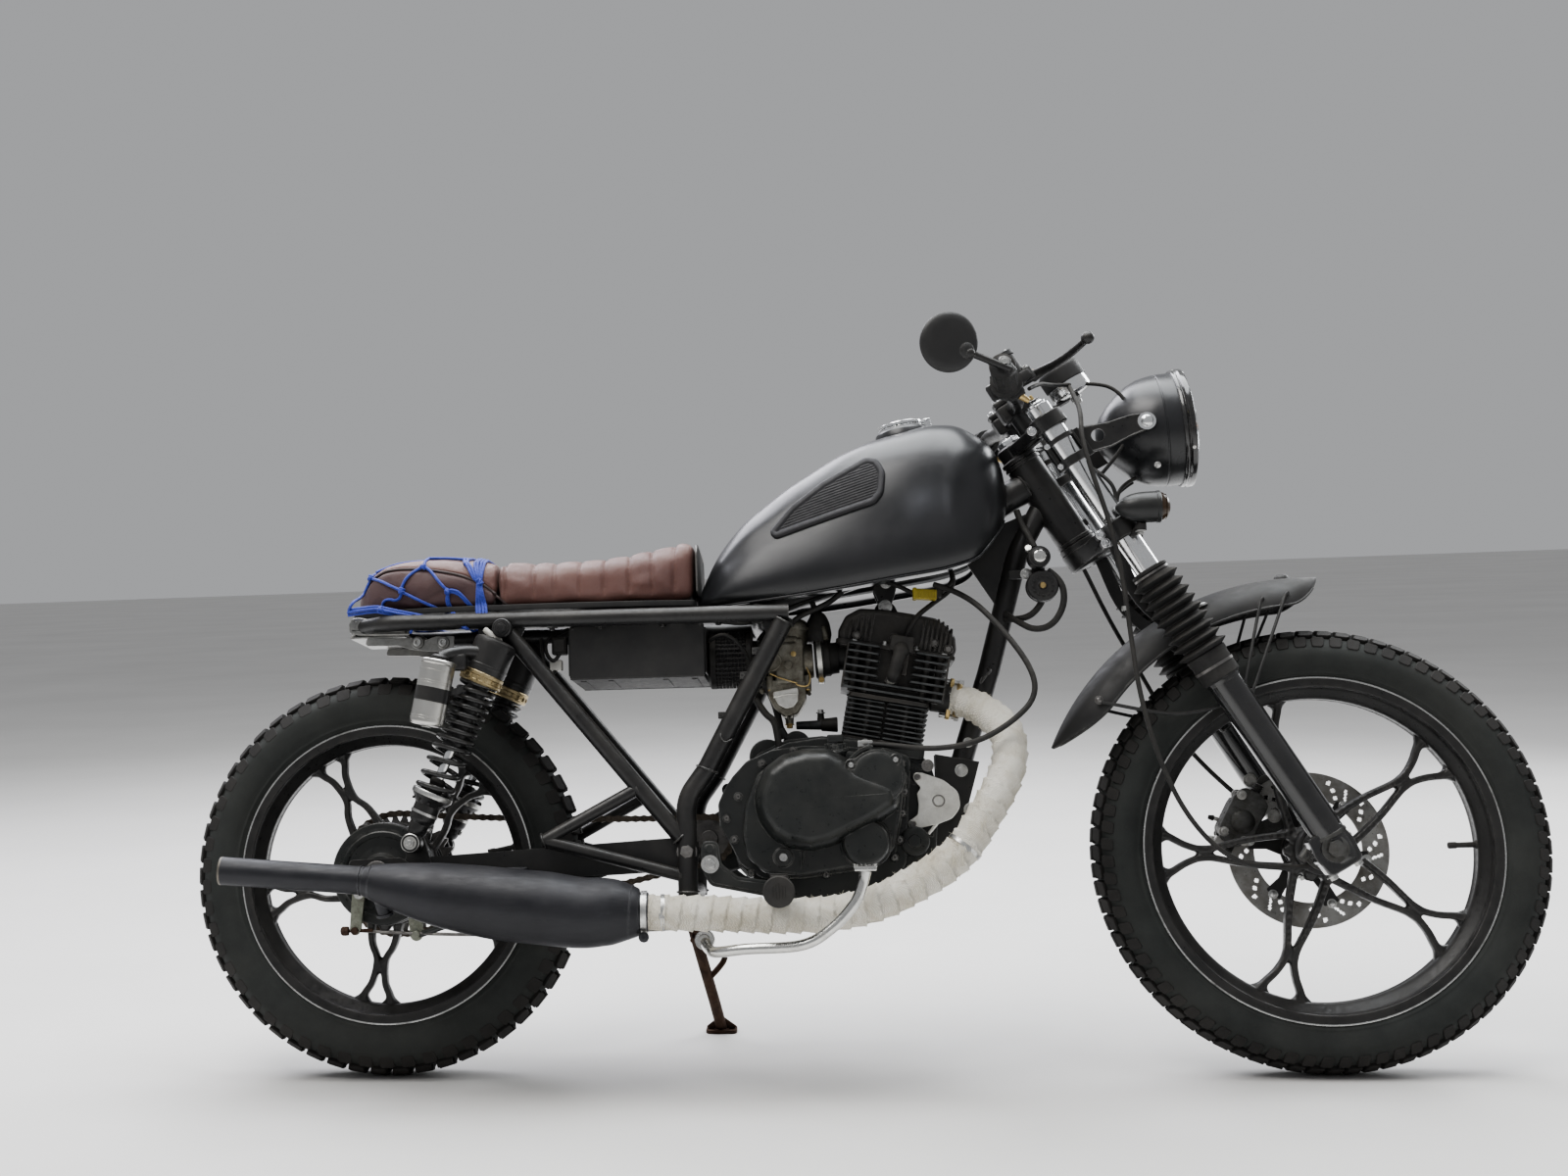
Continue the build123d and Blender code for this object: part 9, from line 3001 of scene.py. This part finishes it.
# cam boss, arm, adjuster
rb.rod((-30, -60, ZR - 28), (-30, -80, ZR - 28), 12, 11, 28, b=1.5)
rb.rod((-30, -80, ZR - 28), (-30, -90, ZR - 28), 6, 5.5, 20, b=0.8, mat=1)
arm_ = rounded([(-40, ZR - 22), (-20, ZR - 22), (-27, 214), (-32, 206), (-41, 206), (-44, 214)], [9, 9, 5, 6, 6, 5])
rb.slab(arm_, -88, -81, 2, 2.0)
rb.bolt((-30, -88, ZR - 28), (0, -1, 0), 5.4, 4.4, 1, "hex", True)
rb.rod((-36, -92, 212), (-36, -76, 212), 5.6, n=20, mat=3, b=0.8)
rb.rod((-58, -84, 212), (-10, -84, 213), 2.6, n=14, mat=3, b=0.5)
rb.lathe([(0, 0), (6.5, 0), (7.6, 2), (7.6, 8), (5, 11), (0, 11)], (-46, -84, 212), (-1, 0, 0), 6, 3)
rb.slab(rounded([(38, ZR - 40), (58, ZR - 40), (62, 206), (56, 198), (48, 198), (42, 206)], 5), -74, -68, 2, 1.6)
rb.bolt((52, -74, 206), (0, -1, 0), 6.6, 5, 2, "hex", True)
rb.tube(catmull([(52, -72, 204), (120, -78, 226), (230, -84, 262), (330, -88, 290)], 6), 4.6, 14, 0)
GREENZ = metal_mat("dull zinc", (0.33, 0.34, 0.29), (0.20, 0.21, 0.17), 0.5, 0.12, grime=0.45,
                   grime_c=(0.08, 0.06, 0.04), scale=50, bump=0.25)
piece("rear_brake_assembly", rb, [ENGINE, STEEL, GREENZ, RUST], "frame", "rear_brake_plate",
      angle=34)

# -------------------------------------------------- pegs and levers
pg, pr_ = Shape(), Shape()
for sg in (-1, 1):
    y = sg * 132.5
    arm_p = rounded([(468, 332), (494, 332), (497, 300), (520, 282), (566, 276), (590, 270), (590, 250), (560, 254),
                     (510, 264), (480, 270), (468, 296)], [10, 10, 14, 20, 20, 8, 8, 20, 16, 14, 12], 4)
    pg.slab(arm_p, sg * 127.6, sg * 137.4, 0, 2.4)
    pg.slab(inset(arm_p if area2(arm_p) > 0 else arm_p[::-1], 5.0), sg * 136.6, sg * 138.8, 0, 0.8)
    pg.rod((481, sg * 108, 300), (481, sg * 138, 300), 8, n=28, b=1)
    pg.lathe([(0, 0), (11.5, 0), (12.6, 0.8), (12.6, 2.2), (0, 2.6)], (481, sg * 138.6, 300), (0, sg, 0), 40, 1)
    pg.bolt((481, sg * 141, 300), (0, sg, 0), 8.6, 6.4, 1, "hex", False)
    pg.rod((481, sg * 127, 322), (481, sg * 140, 322), 6.4, 5.6, 20, b=1)
    pg.rod((577, sg * 128, 262), (577, sg * 186, 262), 8.0, n=28, b=1)
    pg.box((577, sg * 146, 262), (22, 18, 20), 0, 3.5)
    pg.rod((577, sg * 145, 250), (577, sg * 145, 274), 3.6, n=16, mat=1, b=0.8)
    # rubber: round with flats and cross grooves
    prof = [(8.2, 184), (18.0, 184), (20.0, 186)]
    s_ = 189.0
    while s_ < 242:
        prof += [(20.4, s_), (20.4, s_ + 3.6), (18.4, s_ + 4.6), (18.4, s_ + 6.0)]
        s_ += 7.0
    prof += [(20.2, 244), (21.4, 246), (21.4, 249), (19.4, 250.6), (0, 250.6)]
    pr_.lathe(prof, (577, 0, 262), (0, sg, 0), 48, 0)
    pr_.box((577, sg * 216, 281.5), (22, 56, 4), 0, 1.4)
    for k in range(7):
        pr_.box((577, sg * (192 + k * 8), 284), (24, 3.6, 3), 0, 0.8)
    for k in range(5):
        pr_.box((569 + k * 4.0, sg * 250.9, 262), (1.2, 1.4, 22 - abs(k - 2) * 4), 0, 0.4)
piece("footpeg_arms", pg, [ENGINE, STEEL], "frame", "footpegs", angle=34)
piece("footpeg_rubbers", pr_, [RUBBER], "frame", angle=34)

fl_ = Shape()
ped = catmull([(470, -128, 194), (478, -160, 184), (490, -184, 181), (530, -201, 185.5), (604, -204, 190),
               (645, -205, 212), (676, -206, 244), (688, -206, 270), (692, -207, 288)], 8)
fl_.tube(ped, np.interp(np.linspace(0, 1, len(ped)), [0, 0.1, 0.9, 1], [8.4, 7.5, 7.3, 8.6]), 24, 0)
fl_.lathe([(8, -11), (13, -11), (14, -9.8), (14, 9.8), (13, 11), (8, 11)], (470, -122, 196), YV, 36, 0, closed=True)
fl_.rod((470, -138, 196), (470, -102, 196), 7.6, n=24, mat=1, b=1)
fl_.box((470, -108, 214), (11, 9, 40), 1, 2.2)
fl_.rod((470, -103, 232), (470, -114, 232), 3.6, n=16, mat=1, b=0.8)
fl_.box((692, -212, 291), (30, 40, 7), 0, 1.8)
for i in range(5):
    for j in range(6):
        fl_.lathe([(0, 2.8), (1.6, 1.4), (2.7, 0)], (681.5 + i * 5.4, -228 + j * 6.4, 294.3), (0, 0, 1), 4, 0)
for x_ in (677.6, 706.4):
    fl_.box((x_, -212, 295.0), (2.6, 40, 5.4), 0, 0.8)
gl = catmull([(480, 146, 236), (500, 158, 232), (530, 169, 230), (575, 174, 224), (620, 176, 222), (660, 178, 234),
              (690, 180, 258)], 8)
fl_.tube(gl, 6.4, 22, 0)
fl_.lathe([(7, -9), (11.5, -9), (12.5, -8), (12.5, 8), (11.5, 9), (7, 9)], (480, 146, 238), YV, 36, 0, closed=True)
fl_.rod((480, 112, 240), (480, 158, 240), 6.6, n=24, mat=1, b=1)
fl_.rod((690, 172, 262), (690, 222, 262), 4.5, n=18, mat=1, b=0.8)
prof = [(5, 172), (8.4, 172.6)]
for k in range(8):
    prof += [(9.2, 175 + k * 5.6), (9.2, 178 + k * 5.6), (8.0, 178.8 + k * 5.6), (8.0, 180 + k * 5.6)]
prof += [(9.4, 219), (8.6, 221.6), (0, 222)]
fl_.lathe(prof, (690, 0, 262), YV, 32, 2)
piece("foot_lever_tubes", fl_, [POLISH, STEEL, RUBBER], "frame", "foot_levers", angle=34)
cords("clutch_cable_outer", [
    [(806, -66, 691), (846, -84, 676), (892, -118, 622), (930, -143, 560), (933, -147, 520), (900, -151, 487),
     (850, -149, 459), (790, -134, 452), (729, -124, 461), (700, -123, 463)]], 4.0, RUBBER, "frame", "clutch_cable")
# ---------------------------------------------------------- side stand
cL9, sL9 = cos(radians(9.0)), sin(radians(9.0))
up9 = lambda x, y, z: np.array((x, y * cL9 - z * sL9, y * sL9 + z * cL9))
FT = up9(470.0, 264.0, 10.0)
SPV = np.array((430.0, 118.0, 226.0))
PINV = unit(np.cross(FT - SPV, np.array((-230.0, 30, -6))))
PE = SPV + PINV * 11
LGV = unit(FT - PE)
SRX = np.cross(LGV, PINV)
SRM = np.column_stack([SRX, PINV, LGV])
ss = Shape()
# eye, forged neck and the leg, slightly flattened and curved
ss.lathe([(5.6, -5), (13.6, -5), (15, -3.8), (15, 3.8), (13.6, 5), (5.6, 5)], PE, PINV, 44, 0, closed=True)
ss.tube([PE + LGV * 8, PE + LGV * 22, PE + LGV * 34], 1,
        section=rounded([(-10.5, -5), (10.5, -5), (10.5, 5), (-10.5, 5)], 3.4, 3), up=PINV)
lg = [PE + LGV * 24, PE + LGV * 50, PE + (FT - PE) * 0.5, PE + (FT - PE) * 0.8, FT - up9(0, 0, 3)]
ss.tube(catmull(lg, 8), 8.6, 26, 0)
pt, rd = weld(PE + LGV * 34, LGV, 9.2, 1.2)
ss.tube(pt, np.array(rd), 8, closed=True)
md_ = SPV * 0.42 + FT * 0.58
ss.tube(catmull([md_ + (2, 0, 2), md_ + (14, 3, 14), md_ + (24, 7, 26), md_ + (28, 8, 35)], 6), 4.6, 16, 0)
ss.lathe([(0, 0), (4.7, 0), (4.7, -1.2), (0, -2)], md_ + (28, 8, 35), unit((4, 1, 9)), 20, 0)
# foot: pressed plate with a turned-up rim
cf = up9(470.0, 268.0, 0.0)
fx_, fy_, fz_ = np.array((1.0, 0, 0)), up9(0, 1, 0), up9(0, 0, 1)
fo_ = rounded([(-24, -18), (24, -18), (24, 18), (-24, 18)], 8, 6)
ss.prism(fo_, cf, fx_, fy_, 0.0, 4.6, 0, 1.2)
ring = [cf + fx_ * a + fy_ * b + fz_ * 4.6 for a, b in inset(fo_ if area2(fo_) > 0 else fo_[::-1], 1.6)]
ss.tube(ring, 1.4, 8, closed=True)
for a_ in (-1, 1):
    ss.tube([FT + fx_ * a_ * 2 + fz_ * 8, cf + fx_ * a_ * 19 + fz_ * 4.4], 1,
            section=rounded([(-1.8, -6), (1.8, -6), (1.8, 6), (-1.8, 6)], 1.0, 2), up=fy_)
pt, rd = weld(cf + fz_ * 5.0 - fy_ * 4 + fx_ * 0, fz_, 10.4, 1.5)
ss.tube(pt, np.array(rd), 8, closed=True)
# spring hook
ss.rod(PE + LGV * 44 - PINV * 6, PE + LGV * 44 - PINV * 17, 3.2, n=16, b=0.8)
ss.lathe([(0, 0), (5, 0), (5, 2), (0, 2.4)], PE + LGV * 44 - PINV * 16.4, -PINV, 20, 0)
piece("side_stand_leg", ss, [RUST], "side_stand", "side_stand", angle=34)
# ------------------------------------------------ CAD nodes that stay
KEEP = {
    "main_frame": BLACK, "seat_rails": BLACK, "side_tubes": BLACK, "swingarm": BLACK,
    "stand_lug": BLACK, "battery_box": PLASTIC, "crankcase": ENGINE, "clutch_cover": ENGINE,
    "cylinder": FINS, "cylinder_head": FINS, "carburettor": ALLOY, "air_filter": FOAM,
    "exhaust_header": TAPE, "muffler": MUFFLER, "tail_pipe": MUFFLER, "fuel_tank": TANKP,
    "knee_pads": RUBBER, "seat": LEATHER, "seat_hump": LEATHER2, "luggage_net": BLUE,
    "tail_bracket": POLISH, "rear_brake_plate": ENGINE, "shock_absorbers": SHOCKB,
    "shock_springs": SPRINGM, "chain": CHAINM, "footpegs": ENGINE, "foot_levers": POLISH,
    "ignition_lock": PLASTIC, "clutch_cable": RUBBER, "fork_yokes": BLACK,
    "fork_stanchions": CHROME, "fork_boots": RUBBER, "fork_sliders": GLOSSB,
    "headlight_bucket": TANKP, "headlight_lens": LENS, "headlight_bracket": BLACK,
    "handlebar": BLACK, "grips": RUBBER, "hand_levers": PLASTIC, "speedometer": PLASTIC,
    "mirror": PLASTIC, "front_indicators": PLASTIC, "front_fender": MATT,
    "brake_caliper": CASTD, "front_cables": RUBBER, "front_tyre": SIDEWALL,
    "front_wheel_casting": WHEELP, "front_brake_disc": DISCM, "rear_tyre": SIDEWALL,
    "rear_wheel_casting": WHEELP, "rear_sprocket": DARKST, "side_stand": RUST,
    "fuel_cap": CHROME,
}
for name, o in NODES.items():
    if o.hide_render or name not in KEEP:
        continue
    m = KEEP[name]
    if not o.data.materials:
        o.data.materials.append(m)
    for i in range(len(o.material_slots)):
        o.material_slots[i].link = "OBJECT"
        o.material_slots[i].material = m

# ----------------------------------------------------- floor and light


def floor_mat():
    m = Mat("pale studio floor", 0.75, 0.0, Specular_IOR_Level=0.3)
    m.color(m.mix(m.map(m.noise(0.9, 5, 0.6), 0.3, 0.7), (0.68, 0.67, 0.655), (0.74, 0.73, 0.715)))
    m.rough(m.map(m.noise(40.0, 3, 0.6), 0.3, 0.7, 0.7, 0.82))
    m.bump(m.noise(300.0, 3, 0.6), 0.08, 0.0006)
    return m.m


fm = bpy.data.meshes.new("floor")
S = 40.0
fm.from_pydata([(-S, -S, 0), (S, -S, 0), (S, S, 0), (-S, S, 0)], [], [(0, 1, 2, 3)])
fm.materials.append(floor_mat())
floor = bpy.data.objects.new("floor", fm)
bpy.context.scene.collection.objects.link(floor)

sc_view = bpy.context.scene.view_settings
sc_view.view_transform = "AgX"
sc_view.look = "AgX - Medium High Contrast"
world = bpy.data.worlds.new("studio")
bpy.context.scene.world = world
world.use_nodes = True
bg = world.node_tree.nodes.get("Background")
bg.inputs["Color"].default_value = (0.80, 0.81, 0.83, 1)
bg.inputs["Strength"].default_value = 0.44


def area(name, loc, aim, size, size_y, power, color=(1, 1, 1)):
    d = bpy.data.lights.new(name, "AREA")
    d.shape, d.size, d.size_y, d.energy, d.color = "RECTANGLE", size, size_y, power, color
    o = bpy.data.objects.new(name, d)
    bpy.context.scene.collection.objects.link(o)
    o.location = loc
    o.rotation_mode = "QUATERNION"
    o.rotation_quaternion = (Vector(aim) - Vector(loc)).to_track_quat("-Z", "Y")
    return o


area("key_light", (-1.5, -1.35, 4.0), (0, 0, 0.4), 2.6, 2.0, 104, (1.0, 0.985, 0.96))
area("back_sky", (-1.8, 2.3, 3.2), (-0.1, 0, 0.75), 3.0, 1.8, 105, (0.93, 0.93, 1.0))
area("sky_light", (0.4, 0.6, 4.2), (0, 0, 0.3), 4.0, 2.6, 195, (0.95, 0.98, 1.0))
area("rim_light", (2.6, 2.6, 2.2), (0, 0, 0.6), 2.2, 1.6, 70, (0.96, 0.98, 1.0))
